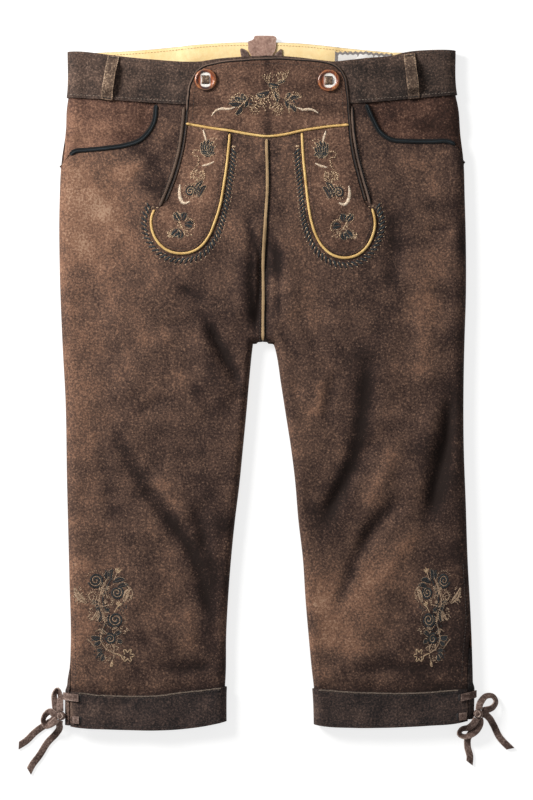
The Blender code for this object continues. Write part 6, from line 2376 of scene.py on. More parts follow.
    def sewing(self) -> None:
        """Sews the waistband's seams and the facing's edge."""
        low, high, under = (Stitches(skin, Level(STACK))
                            for skin in (self.front, self.front, self.back))
        for ends in self.sewn_front:
            x = np.linspace(*ends, 80)
            low.running(self.cut.band.over(x, self.sewn_in), 2.6, 0.9, 0.75)
            high.running(self.cut.waist.over(x, -3.0), 2.6, 0.9, 0.7)
        low.build("band_sewing_low", PALE_SEWING)
        high.build("band_sewing_high", SEWING)
        x = np.linspace(self.facing_ends[0] + 3, self.facing_ends[1] - 3, 160)
        edge = Stitches(self.back, Level(-FACING_WALL))
        edge.running(self.cut.back_waist.over(x, -3.4), 2.4, 1.0, 0.7)
        self.flip(edge)
        edge.build("facing_sewing", GOLD_SEWING)
        x = np.linspace(*self.sewn_back, 200)
        for line, offset in ((self.cut.band, self.sewn_in), (self.cut.back_waist, -self.sewn_in)):
            under.running(line.over(x, offset), 2.6, 0.9, 0.75)
        under.build("band_sewing_back", SEWING)

    @staticmethod
    def flip(stitches: Stitches) -> None:
        """Turns stitches so that they stand on a piece's inner face."""
        stitches.rows = [(*row[:5], 2 * stitches.SUNK - row[5]) for row in stitches.rows]

    def build(self) -> None:
        """Builds the waist."""
        self.back_band()
        self.inside()
        for side in Side:
            self.front_band(side)
        for name, *ends in BELT_LOOPS:
            self.belt_loop(Side(name), np.array(ends[:2]), np.array(ends[2:]))
        self.sewing()


# ---------------------------------------------------------------- drop front

BRAID = (                 # strand, away and ahead at its start and its end, width, height
    (Thread.DARK, ((0, -1.4, -2.2, 1.8, 2.2, 2.3, 0.9), (1, -1.7, -2.0, 1.5, 2.0, 2.1, 0.9))),
    (Thread.TAN, ((0, 0.2, -2.4, 2.4, -0.4, 1.0, 0.9), (1, 1.9, 0.4, 3.0, 1.5, 1.0, 0.55),
                  (0, -2.3, -0.2, -1.2, 1.0, 0.9, 0.55))),
)


@dataclass
class DropFront:
    """The flap, the tongues below it, their bindings and pipings."""

    cut: Cut
    skin: Skin
    binding_end: float = 199.0
    braid_top: float = 258.0
    braid_foot: tuple[float, float] = (206.0, 40.0)   # where it starts to spread, and how far on
    braid_pitch: float = 4.3
    braid_away: float = 4.7       # from the tongue's piping, and this much more at its foot
    braid_spread: float = 1.6
    braid_width: float = 3.4
    foot_climb: float = 1.5       # of the cross piping's ends, over the flap's edge
    seam_sink: float = 1.3        # of the centre piping, between the legs above the crotch
    seam_sunk: tuple[float, float, float, float] = (84.0, 96.0, 118.0, 136.0)

    def flap_lift(self, plan: np.ndarray) -> np.ndarray:
        """Lift of the flap's outer face."""
        return GAP + FLAP_WALL + self.cut.over_band(plan)

    @staticmethod
    def flap_side(side: Side, edge: np.ndarray) -> np.ndarray:
        """The half of the flap's edge on one side, from its top down."""
        half = len(edge) // 2
        return edge[:half][::-1] if side is Side.RIGHT else edge[half:]

    def edge_line(self) -> Line:
        """The flap's bound edge."""
        return self.cut.flap.where(self.cut.flap.points[:, 1] > self.binding_end).spaced(2.6)

    def flap(self) -> None:
        """Builds the flap and the roll round its edge."""
        edge = self.edge_line().shifted(-(EDGE_ROLL / 2 + GAP)).points
        top = Line(edge[edge[:, 1] > FLAP_CORNER])
        lower = self.cut.cross.shifted(PIPING / 2 + GAP)
        half = len(edge) // 2
        low = lower.points
        start = np.interp(low[0, 1], edge[:half, 1], edge[:half, 0])
        end = np.interp(-low[-1, 1], -edge[half:, 1], edge[half:, 0])
        x = start + (end - start) * top.marks / top.length
        plan = ruled(top.points, np.stack([x, lower.y_at(x)], 1), 36).transpose(1, 0, 2)
        lift = GAP + self.cut.over_band(plan.reshape(-1, 2))
        Shell("front_flap", plan, self.skin, lift + FLAP_WALL, lift, FLAP_SUEDE, ("flap",),
              0.12, ("band_front_r", "band_front_l", "leg_front_r", "leg_front_l")).build()
        Bead("flap_edge", self.edge_line().spaced(1.8),
             half_round(EDGE_ROLL, GAP, GAP + 2.1), EDGE_TRIM, self.skin, ("flap_binding",),
             self.cut.over_band, 0.03).build()

    def tongue(self, side: Side) -> None:
        """Builds a rounded tongue, between the flap's edge and its own piping.

        Args:
            side: Which tongue.
        """
        line = self.cut.tongue[side]
        piping = line.shifted(side.hand * (PIPING / 2 + 2 * GAP)).points
        edge = self.flap_side(side, self.cut.flap.shifted(-(EDGE_ROLL / 2 + 3 * GAP)).points)
        lower = self.cut.cross.shifted(-(PIPING / 2 + GAP))
        lowest = int(np.argmin(piping[:, 1]))
        inner = piping[: lowest + 1]
        inner = inner[inner[:, 1] < lower.y_at(inner[:, 0])]
        inner = np.vstack([[inner[0, 0], float(lower.y_at(inner[0, 0]))], inner])
        outer = edge[edge[:, 1] < lower.y_at(edge[:, 0])]
        head = [outer[0, 0], float(lower.y_at(outer[0, 0]))]
        outer = np.vstack([head, outer[outer[:, 1] > self.binding_end - 2.5],
                           piping[lowest:][::-1]])
        marks = 0.99 * np.linspace(0, 1, 70)
        rows = [line.at(marks * line.length) for line in (Line(inner), Line(outer))]
        Shell(f"front_tongue_{side.value}", ruled(*rows, 26), self.skin, STACK, GAP,
              FLAP_SUEDE, (f"tongue_{side.value}",), 0.0,
              (f"leg_front_{side.value}",)).build()

    def trims(self, side: Side) -> None:
        """Builds a tongue's piping and the roll round the opening beside it.

        Args:
            side: Which tongue.
        """
        line = self.cut.tongue[side]
        lower = self.cut.cross.shifted(-(PIPING / 2 + GAP))
        line = line.where(line.points[:, 1] < lower.y_at(line.points[:, 0]) - 0.2)
        Bead(f"tongue_edge_{side.value}", line.spaced(1.7),
             half_round(PIPING, GAP, GAP + 1.9), YELLOW_TRIM, self.skin,
             (f"tongue_piping_{side.value}",), pinch=0.05, taper=1.5).build()
        # The left opening's roll gets the copy with a painted shadow along its outer side
        finish = OPENING_TRIM if side is Side.RIGHT else SHADED_TRIM
        Bead(f"opening_edge_{side.value}", self.cut.opening[side].spaced(1.8),
             half_round(OPENING_ROLL, GAP, GAP + 1.9), finish, self.skin,
             (f"opening_binding_{side.value}",), pinch=0.04).build()

    def foot_piping(self) -> None:
        """Builds the piping across the flap's foot."""
        x, y = self.cut.cross.points.T
        half = len(self.cut.flap.points) // 2
        left, right = self.cut.flap.points[:half], self.cut.flap.points[half:]
        start = np.interp(y, left[:, 1], left[:, 0]) - 1.0
        end = np.interp(-y, -right[:, 1], right[:, 0]) + 1.0
        line = self.cut.cross.where((x > start) & (x < end)).reached(3.6, 2.2).spaced(1.7)
        ends = line.points[0, 0], line.points[-1, 0]

        def climb(plan: np.ndarray) -> np.ndarray:
            """Lift of the piping, which runs up over the flap's rolled edge at its ends."""
            near = np.minimum(plan[:, 0] - ends[0], ends[1] - plan[:, 0])
            return self.foot_climb * smooth_step(6.0 - near, 0.0, 3.5)

        Bead("flap_foot", line, half_round(PIPING, GAP, GAP + 1.9), YELLOW_TRIM, self.skin,
             ("flap_seam_piping",), climb, 0.05, taper=1.5).build()

    def centre_piping(self) -> None:
        """Builds the piping down the centre seam."""
        y = np.linspace(*CENTRE_PIPING_SPAN, 130)
        line = Line(np.stack([self.cut.seam.x_at(y) + 0.5, y], 1))

        def sunk(plan: np.ndarray) -> np.ndarray:
            """Lift of the piping, which sinks between the legs above the crotch."""
            return -self.seam_sink * smooth_step(plan[:, 1], *self.seam_sunk[:2]) * (
                1 - smooth_step(plan[:, 1], *self.seam_sunk[2:]))

        Bead("centre_edge", line, half_round(PIPING + 1.2, 2 * GAP, 2 * GAP + 1.5), SEAM_TRIM,
             self.skin, ("centre_front_piping",), sunk, 0.05).build()

    def sewing(self) -> None:
        """Sews inside the edges of the flap and the tongues."""
        rows = Stitches(self.skin, self.flap_lift)
        edge = self.edge_line()
        keep = edge.points[:, 1] > self.cut.cross.y_at(edge.points[:, 0]) + 5.0
        rows.running(edge.where(keep).shifted(-6.0), 2.2, 0.9, 0.7)
        rows.build("flap_sewing", SEWING)
        for side in Side:
            rows = Stitches(self.skin, Level(STACK))
            line = self.cut.tongue[side]
            line = line.where(line.points[:, 1] < self.cut.cross.y_at(line.points[:, 0]) - 6)
            rows.running(line.shifted(side.hand * 5.2), 2.0, 0.9, 0.75)
            edge = Line(self.flap_side(side, self.cut.flap.points))
            keep = (edge.points[:, 1] < 264.0) & (edge.points[:, 1] > 204.0)
            rows.running(edge.where(keep).shifted(side.hand * 6.4), 2.0, 0.9, 0.7)
            rows.build(f"tongue_sewing_{side.value}", SEWING)

    def braid(self, side: Side) -> None:
        """Sews the plaited border on the leg, round the outside of a tongue.

        Args:
            side: Which tongue.
        """
        line = self.cut.tongue[side]
        line = line.where(line.points[:, 1] < self.braid_top).spaced(self.braid_pitch)
        sets = {thread: Stitches(self.skin, Level()) for thread, _ in BRAID}
        ways = line.sideways() * -side.hand
        ahead = unit(np.gradient(line.points, axis=0))
        half, (foot_y, reach) = self.braid_pitch / 2, self.braid_foot
        for k, (point, way, on) in enumerate(zip(line.points, ways, ahead)):
            foot = float(smooth_step(foot_y - point[1], 0.0, reach))
            inner = point + way * (self.braid_away + self.braid_spread * foot)
            strands = inner, inner + way * self.braid_width + on * half
            for thread, rows in BRAID:
                for strand, out0, on0, out1, on1, width, height in rows[: 2 + k % 2]:
                    at = strands[strand]
                    sets[thread].add(at + way * out0 + on * on0, at + way * out1 + on * on1,
                                     width, height)
        for thread, stitches in sets.items():
            stitches.build(f"braid_{thread.value}_{side.value}", FLOSS[thread])
        self.braid_ends(side, line.points[0] + ways[0] * 5.6 - ahead[0] * 4.6)

    def braid_ends(self, side: Side, start: np.ndarray) -> None:
        """Sews the small knots above and below a braid.

        Args:
            side: Which tongue it runs round.
            start: Where its upper knot is.
        """
        knot = Stitches(self.skin, Level())
        for turn, reach in ((0.0, 2.6), (0.5, 2.2), (-0.6, 2.2), (1.5, 1.0)):
            out = heading(turn) * reach
            knot.add(start - out, start + out, 1.1, 0.7)
        finish = self.cut.tongue[side].points[-1] + (0.0, 1.5)
        for spot in ((-1.0, 1.0), (3.5, 0.4), (-5.0, -0.6)):
            at = finish + np.array(spot) * (-side.hand, 1.0)
            knot.add(at - (1.4, -0.4), at + (1.4, 0.4), 1.1, 0.7)
        knot.build(f"braid_knot_{side.value}", TAN_FLOSS)

    def build(self) -> None:
        """Builds the drop front."""
        self.flap()
        self.foot_piping()
        self.centre_piping()
        for side in Side:
            self.tongue(side)
            self.trims(side)
            self.braid(side)
        self.sewing()


# ---------------------------------------------------------------- embroidery

@dataclass
class Motif:
    """An embroidered motif: what is sewn, in which threads and where."""

    name: str
    skin: Skin
    lift: Lift
    ropes: Table = ()
    spirals: Table = ()
    leaves: Table = ()
    crescents: Table = ()
    seeds: Table = ()
    place: Optional[Lift] = None
    dotted: bool = False

    @staticmethod
    def spiral(x: float, y: float, radius: float, turns: float, start: float,
               hand: float) -> Line:
        """A scroll that winds in to its middle.

        Args:
            x: Its centre.
            y: Its centre.
            radius: Its outer radius.
            turns: How many turns.
            start: Where it starts, in degrees.
            hand: 1 where it winds anticlockwise, else -1.

        Returns:
            The line.
        """
        share = np.linspace(0, 1, 60)
        angle = math.radians(start) + hand * share * turns * 2 * math.pi
        reach = radius * (1 - 0.86 * share**1.25)
        return Line(np.stack([x + reach * np.cos(angle), y + reach * np.sin(angle)], 1))

    def build(self) -> None:
        """Sews the motif, one piece for each thread."""
        sets = {thread.value: Stitches(self.skin, self.lift, self.place) for thread in Thread}
        dark, tan = Thread.DARK.value, sets[Thread.TAN.value]
        for thread, x, y, wide, high, count, slant in self.seeds:
            self.scatter(sets[thread], (x, y), (wide, high), count, slant)
        for thread, width, table in self.ropes:
            line = Line.smooth(table, 1.0)
            if self.dotted:
                sets[thread].running(line, 1.3, 0.7, 1.6 * width)
            else:
                sets[thread].rope(line, 1.35 * width)
        for thread, x, y, radius, turns, start, hand in self.spirals:
            line = self.spiral(x, y, radius, turns, start, hand)
            if thread == dark:
                sets[thread].rope(line, 2.6)
                inner = self.spiral(x, y, radius * 0.76, turns * 0.8, start, hand)
                tan.rope(inner, 1.0, 1.3)
                self.fringe(tan, x, y, radius, start)
            else:
                tan.running(line, 1.3, 0.6, 1.5)
                self.fringe(tan, x, y, radius * 0.8, start)
        for thread, x0, y0, x1, y1, width in self.leaves:
            base, tip = np.array((x0, y0)), np.array((x1, y1))
            wide = width * (1.42 if thread == dark else 1.1)
            sets[thread].leaf(base, tip, wide)
            if thread == dark:
                self.outline(tan, base, tip, wide)
        for thread, width, table in self.crescents:
            sets[thread].crescent(Line.smooth(table, 1.0), width)
        for thread in Thread:
            finish = (FLOSS if self.dotted else LEG_FLOSS)[thread]
            sets[thread.value].build(f"{self.name}_{thread.value}", finish)

    @staticmethod
    def scatter(stitches: Stitches, centre: Sequence[float], reach: Sequence[float],
                count: int, slant: float) -> None:
        """Fills an oval with short, nearly parallel stitches.

        Args:
            stitches: The stitches they join.
            centre: The oval's centre.
            reach: Its half width and half height.
            count: How many stitches.
            slant: Their direction in degrees.
        """
        draw = np.random.default_rng(abs(round(10 * centre[0] + 31 * centre[1])))
        for turn, out in zip(draw.uniform(0, 2 * math.pi, count), draw.uniform(0, 1, count)):
            spot = np.array(centre) + np.array(reach) * math.sqrt(out) * heading(turn)
            way = heading(math.radians(slant) + 0.5 * math.sin(7 * turn)) * (0.8 + 0.5 * out)
            stitches.add(spot - way, spot + way, 1.0, 0.5)

    @staticmethod
    def fringe(stitches: Stitches, x: float, y: float, radius: float, start: float) -> None:
        """Sews short rays round three quarters of a scroll.

        Args:
            stitches: The stitches they join.
            x: The scroll's centre.
            y: The scroll's centre.
            radius: Its radius.
            start: Where the scroll starts, in degrees, which stays bare.
        """
        centre = np.array([x, y])
        for angle in np.radians(start) + np.linspace(0.9, 5.4, round(radius * 2.6)):
            out = heading(angle)
            lean = left_of(out) * 0.5
            stitches.add(centre + out * (radius + 1.5) - lean,
                         centre + out * (radius + 3.1) + lean, 0.85, 0.5)

    @staticmethod
    def outline(stitches: Stitches, base: np.ndarray, tip: np.ndarray, width: float) -> None:
        """Sews tan specks along both edges of a dark leaf.

        Args:
            stitches: The tan stitches.
            base: Where the leaf starts.
            tip: Its point.
            width: How wide it is.
        """
        way, side, length = axes(base, tip)
        share = np.linspace(0.08, 1.02, max(4, round(length / 1.7)))
        for hand in (-1.0, 1.0):
            reach = (width / 2 + 0.55) * np.sin(math.pi * np.clip(share, 0, 1) ** 0.8) ** 0.6
            shift = LEAF_BOW * length * np.sin(math.pi * share) + hand * reach + 0.2 * hand
            edge = base + way * (length * share)[:, None] + side * shift[:, None]
            stitches.running(Line(edge), 1.1, 0.5, 0.9)


@dataclass
class Embroidery:
    """Every motif on the flap, the tongues and the legs."""

    front: Skin
    drop: DropFront
    leg_places: tuple[float, float] = (-153.1, 167.1)     # x of the motif on either leg
    leg_squeeze: float = 0.78
    tongue_sums: Table = ((165.0, 200.0), (-10.5, -5.5))  # heights, and x of both sides summed
    tongue_drop: float = 1.5
    oak_centre: tuple[float, float] = (-153.2, -299.8)
    oak_radius: float = 5.4
    oak_lobes: tuple[float, float] = (6.0, 2.0)           # how many, and how deep
    oak_turn: float = 158.0                               # degrees to either side of its tip
    oak_stem: Table = ((-166.4, -298.0), (-162.5, -298.6), (-159.8, -301.0), (-158.6, -304.2))

    def mirrored(self, plan: np.ndarray) -> np.ndarray:
        """The other leg's motif, a little narrower."""
        here, there = self.leg_places
        return np.stack([there - self.leg_squeeze * (plan[:, 0] - here), plan[:, 1]], 1)

    def other_tongue(self, plan: np.ndarray) -> np.ndarray:
        """The other tongue's motif, drawn in a little towards its foot."""
        total = np.interp(plan[:, 1], *self.tongue_sums)
        return np.stack([total - plan[:, 0], plan[:, 1] - self.tongue_drop], 1)

    def build(self) -> None:
        """Sews the motifs."""
        for side, place in ((Side.RIGHT, None), (Side.LEFT, self.mirrored)):
            Motif(f"motif_leg_{side.value}", self.front, Level(), LEG_ROPES + self.oak(),
                  LEG_SPIRALS, LEG_LEAVES, (), LEG_SEEDS, place).build()
        for side, place in ((Side.RIGHT, None), (Side.LEFT, self.other_tongue)):
            Motif(f"motif_tongue_{side.value}", self.front, Level(STACK),
                  TONGUE_ROPES, TONGUE_SPIRALS, TONGUE_LEAVES, TONGUE_CRESCENTS,
                  TONGUE_SEEDS, place, True).build()
        Motif("motif_flap", self.front, self.drop.flap_lift, FLAP_ROPES, FLAP_SPIRALS,
              FLAP_LEAVES, FLAP_CRESCENTS, FLAP_SEEDS, None, True).build()

    def oak(self) -> Table:
        """An oak leaf: the wavy outline of six lobes, and its stem.

        Returns:
            Rows of thread, width and line.
        """
        turn = np.radians(np.linspace(-self.oak_turn, self.oak_turn, 60))
        count, depth = self.oak_lobes
        reach = self.oak_radius + depth * np.cos(count * turn)
        x, y = self.oak_centre
        edge = np.stack([x + reach * np.cos(turn), y + reach * np.sin(turn)], 1)
        return tuple((Thread.CREAM.value, 1.0, line) for line in (edge, self.oak_stem))


# ---------------------------------------------------------------- buttons

@dataclass
class Button:
    """A dished horn button held by a leather thong."""

    side: Side
    place: tuple[float, float]
    skin: Skin
    seat_lift: Lift
    profile: Table = (
        (0.0, 0.0), (9.4, 0.0), (10.8, 0.25), (11.6, 0.9), (12.0, 1.6), (12.2, 2.3),
        (12.05, 3.0), (11.6, 3.6), (10.9, 4.05), (10.1, 4.22), (9.4, 4.12), (8.9, 3.75),
        (8.5, 3.2), (8.1, 2.7), (7.6, 2.42), (7.2, 2.48), (6.8, 2.38), (5.8, 2.28),
        (3.0, 2.2), (0.0, 2.2))
    sides: int = 72
    thong: Table = (              # y and z of the thong's middle, from slot to slot
        (-3.55, 0.2), (-3.6, 1.6), (-3.3, 3.0), (-2.2, 3.7), (0.0, 3.85), (2.2, 3.7),
        (3.3, 3.0), (3.6, 1.6), (3.55, 0.2))
    thong_wall: float = 1.2
    seat_gap: float = 0.4

    def build(self) -> None:
        """Turns the button, cuts its slots and threads the thong through them."""
        plan = np.array([self.place])
        seat = self.skin.points(plan, float(self.seat_lift(plan)[0]) + self.seat_gap)[0]
        points, faces = self.slotted(*turned(self.profile, self.sides))
        widest = max(radius for radius, _ in self.profile)
        rim = np.hypot(points[:, 0], points[:, 1]) / widest
        name = f"button_{self.side.value}"
        turn = np.degrees(np.arctan2(points[:, 1], points[:, 0]))
        across = points[:, 0] / widest
        if self.side is Side.RIGHT:
            smoky = (np.exp(-((turn + 90.0) / 40.0) ** 2) + np.exp(-((turn - 112.0) / 16.0) ** 2))
            worn = (np.abs(across) - 0.30) * 4.0
        else:
            smoky = 0.6 * np.exp(-((turn - 150.0) / 50.0) ** 2)
            worn = -across * 2.4 - 0.4
        make_piece(f"horn_{name}", points + seat, faces, HORN, (name,),
                   {"rim": rim, "smoky": smoky, "worn": worn}, HORN_CRISP)
        path = Line.smooth(self.thong, 0.35).points
        path = np.column_stack([np.zeros(len(path)), path]) + seat
        Ribbon(f"thong_{self.side.value}", path, np.tile((1.0, 0.0, 0.0), (len(path), 1)),
               THONG_WIDTH, self.thong_wall, STRAP_SUEDE,
               (f"button_thong_{self.side.value}",)).build()

    @staticmethod
    def slotted(points: np.ndarray,
                faces: list[list[int]]) -> tuple[np.ndarray, list[list[int]]]:
        """Cuts the two slots through the turned horn.

        Args:
            points: The turned vertices in mm.
            faces: Their faces.

        Returns:
            The cut vertices and faces.
        """
        solid = bpy.data.meshes.new("turned")
        solid.from_pydata((points * MM).tolist(), [], faces)
        slots = bmesh.new()
        for way in (-1.0, 1.0):
            bmesh.ops.create_cube(slots, size=1.0, matrix=Matrix.LocRotScale(
                Vector((0.0, way * SLOT_OFFSET, 2.0)) * MM, None,
                Vector((*SLOT, 8.0)) * MM))
        box = bpy.data.meshes.new("slots")
        slots.to_mesh(box)
        slots.free()
        made = [bpy.data.objects.new(mesh.name, mesh) for mesh in (solid, box)]
        for each in made:
            bpy.context.scene.collection.objects.link(each)
        cut = made[0].modifiers.new("slots", "BOOLEAN")
        cut.object = made[1]
        bpy.context.view_layer.update()
        graph = bpy.context.evaluated_depsgraph_get()
        result = bpy.data.meshes.new_from_object(made[0].evaluated_get(graph))
        verts = np.array([v.co[:] for v in result.vertices]) / MM
        polys = [list(p.vertices) for p in result.polygons]
        for each in made:
            bpy.data.objects.remove(each, do_unlink=True)
        for mesh in (solid, box, result):
            bpy.data.meshes.remove(mesh)
        return verts, polys


# ---------------------------------------------------------------- cuffs and laces

@dataclass
class Ribbon:
    """A flat thong swept along a path."""

    name: str
    path: np.ndarray
    across: np.ndarray
    width: float
    thick: float
    finish: Finish
    nodes: Sequence[str] = ()
    point_end: float = 0.0
    cup: float = 0.0
    wear: float = 0.0

    def build(self) -> bpy.types.Object:
        """Makes the thong, with softly rounded edges.

        Returns:
            The object.
        """
        line = Line(self.path)
        along = unit(np.gradient(self.path, line.marks, axis=0))
        wide = unit(self.across)
        up = np.cross(along, wide)
        half, deep = self.width / 2, self.thick / 2
        turn = np.linspace(-0.5 * math.pi, 0.5 * math.pi, 5)
        flat = half - deep
        section = [(flat + deep * math.cos(t), deep * math.sin(t)) for t in turn]
        section += [(x, deep) for x in np.linspace(flat, -flat, 6)[1:-1]]
        section += [(-flat - deep * math.cos(t), -deep * math.sin(t)) for t in turn]
        section += [(x, -deep) for x in np.linspace(-flat, flat, 6)[1:-1]]
        left = line.length - line.marks
        rings = []
        for x, z in section:
            share = x / half
            slant = np.clip((left - self.point_end * (0.5 + 0.5 * share)) / 2.0, -9, 0)
            shape = np.where(self.point_end > 0, slant, 0.0)
            bow = self.cup * (share**2 - 0.4)
            rings.append(self.path + wide * x + up * (z + bow) + along * shape[:, None] * 2.0)
        points = np.stack(rings, 1).reshape(-1, 3)
        size, count = len(section), len(self.path)
        edge = np.array([abs(x) / half for x, _ in section])
        wear = np.tile(smooth_step(edge, 0.72, 1.0) * 0.9, count) + self.wear
        blank = np.zeros(len(points))
        marks = {"wear": wear + 0.25 * np.sin(np.repeat(line.marks, size) * 0.21),
                 "ridge": blank, "grime": blank}
        return make_piece(self.name, points, swept_faces(count, size), self.finish, self.nodes,
                          marks, BEAD_CRISP)


@dataclass
class Cuffs(Assembly):
    """The hem bands and the back edges of the side slits."""

    heights: tuple[float, float] = (-341.0, -378.0)
    strip_top: tuple[float, float] = (-314.0, -292.0)
    strip_gap: float = 0.9
    sewn: Sequence[tuple[float, float]] = ((-206.0, -52.0), (58.0, 210.0))   # spans of x

    def front_cuff(self, side: Side) -> None:
        """Builds the front of a hem band, from the side slit to the inner-leg fold.

        Args:
            side: Which leg.
        """
        inseam, slit, hand = self.cut.notch[side], self.cut.slit[side], side.hand
        edges = []
        for y in self.heights:
            start = float(inseam.x_at(y))
            end = float(slit.x_at(y)) - hand * GAP
            fold = abs(float(self.cut.fold[side].x_at(y)) - start)
            width = abs(end - start)
            steps = steps_across(width, INSEAM_ROLL, 0.0, 60)
            steps = np.concatenate([steps[steps < fold - SIDE_ROLL],
                                    np.linspace(fold - SIDE_ROLL, width, 8)])
            steps = np.interp(np.linspace(0, 1, 74), np.linspace(0, 1, len(steps)), steps)
            edges.append(start + hand * steps)
        plan = grid_between(*edges, self.cut.cuff, self.cut.hem[side], 16)
        plan[:, 0, 0] = inseam.x_at(plan[:, 0, 1])
        Shell(f"hem_front_{side.value}", plan, self.front, STACK + GAP / 2, 1.5 * GAP,
              CUFF_SUEDE, (f"cuff_front_{side.value}",), 0.5,
              (f"leg_front_{side.value}",)).build()

    def back_cuff(self, side: Side) -> None:
        """Builds the back of a hem band.

        Args:
            side: Which leg.
        """
        inseam, fold = self.cut.notch[side], self.cut.fold[side]
        edges = [columns(float(inseam.x_at(y)), float(fold.x_at(y)), BACK_ROLL, BACK_ROLL, 40)
                 for y in self.heights]
        plan = grid_between(*edges, self.cut.cuff, self.cut.hem[side], 10)
        plan[:, 0, 0] = inseam.x_at(plan[:, 0, 1])
        plan[:, -1, 0] = fold.x_at(plan[:, -1, 1])
        Shell(f"hem_back_{side.value}", plan, self.back, STACK, GAP, CUFF_SUEDE,
              (f"cuff_back_{side.value}",), 0.3).build()

    def strip(self, side: Side, top: float) -> None:
        """Builds the back edge of a side slit, which shows beside the front panel.

        Args:
            side: Which leg.
            top: Height where it starts.
        """
        fold, slit, hand = self.cut.fold[side], self.cut.slit[side], side.hand
        bottom = float(self.cut.hem[side].y_at(fold.x_at(-370.0)))
        rows = []
        for level in np.linspace(top, bottom, 34):
            a = float(fold.x_at(level))
            b = float(slit.x_at(level)) + hand * self.strip_gap
            width = abs(b - a)
            turn = np.minimum(SIDE_ROLL * np.array(ROLL_SHARES[:5]),
                              width * np.linspace(0, 0.85, 5))
            shares = np.concatenate([turn, [width]]) / width
            rows.append(np.stack([a + (b - a) * shares, np.full(6, level)], 1))
        plan = np.array(rows)
        above = float(self.cut.cuff.y_at(216.0 * hand)) + 8.0
        lift = STACK * smooth_step(above - plan[:, :, 1].reshape(-1), 0.0, 8.0)
        Shell(f"slit_back_{side.value}", plan, self.front, lift, lift - WALL, CUFF_SUEDE,
              (f"slit_strip_{side.value}",), 0.2).build()

    def sewing(self) -> None:
        """Sews along the hem bands."""
        rows, welt = (Stitches(self.front, Level(STACK + GAP / 2)) for _ in range(2))
        under = Stitches(self.back, Level(STACK))
        for side, ends in zip(Side, self.sewn):
            x = np.linspace(*ends, 90)
            for stitches in (rows, under):
                stitches.running(self.cut.cuff.over(x, -3.0), 2.4, 0.9, 0.75)
                stitches.running(self.cut.hem[side].over(x, 4.0), 2.4, 0.9, 0.75)
            welt.rope(self.cut.cuff.over(x, -0.9), 1.5, 0.9)
        rows.build("hem_sewing", SEWING)
        welt.build("hem_welt", PALE_SEWING)
        under.build("hem_sewing_back", SEWING)

    def build(self) -> None:
        """Builds the cuffs."""
        for side, top in zip(Side, self.strip_top):
            self.back_cuff(side)
            self.strip(side, top)
            self.front_cuff(side)
        self.sewing()


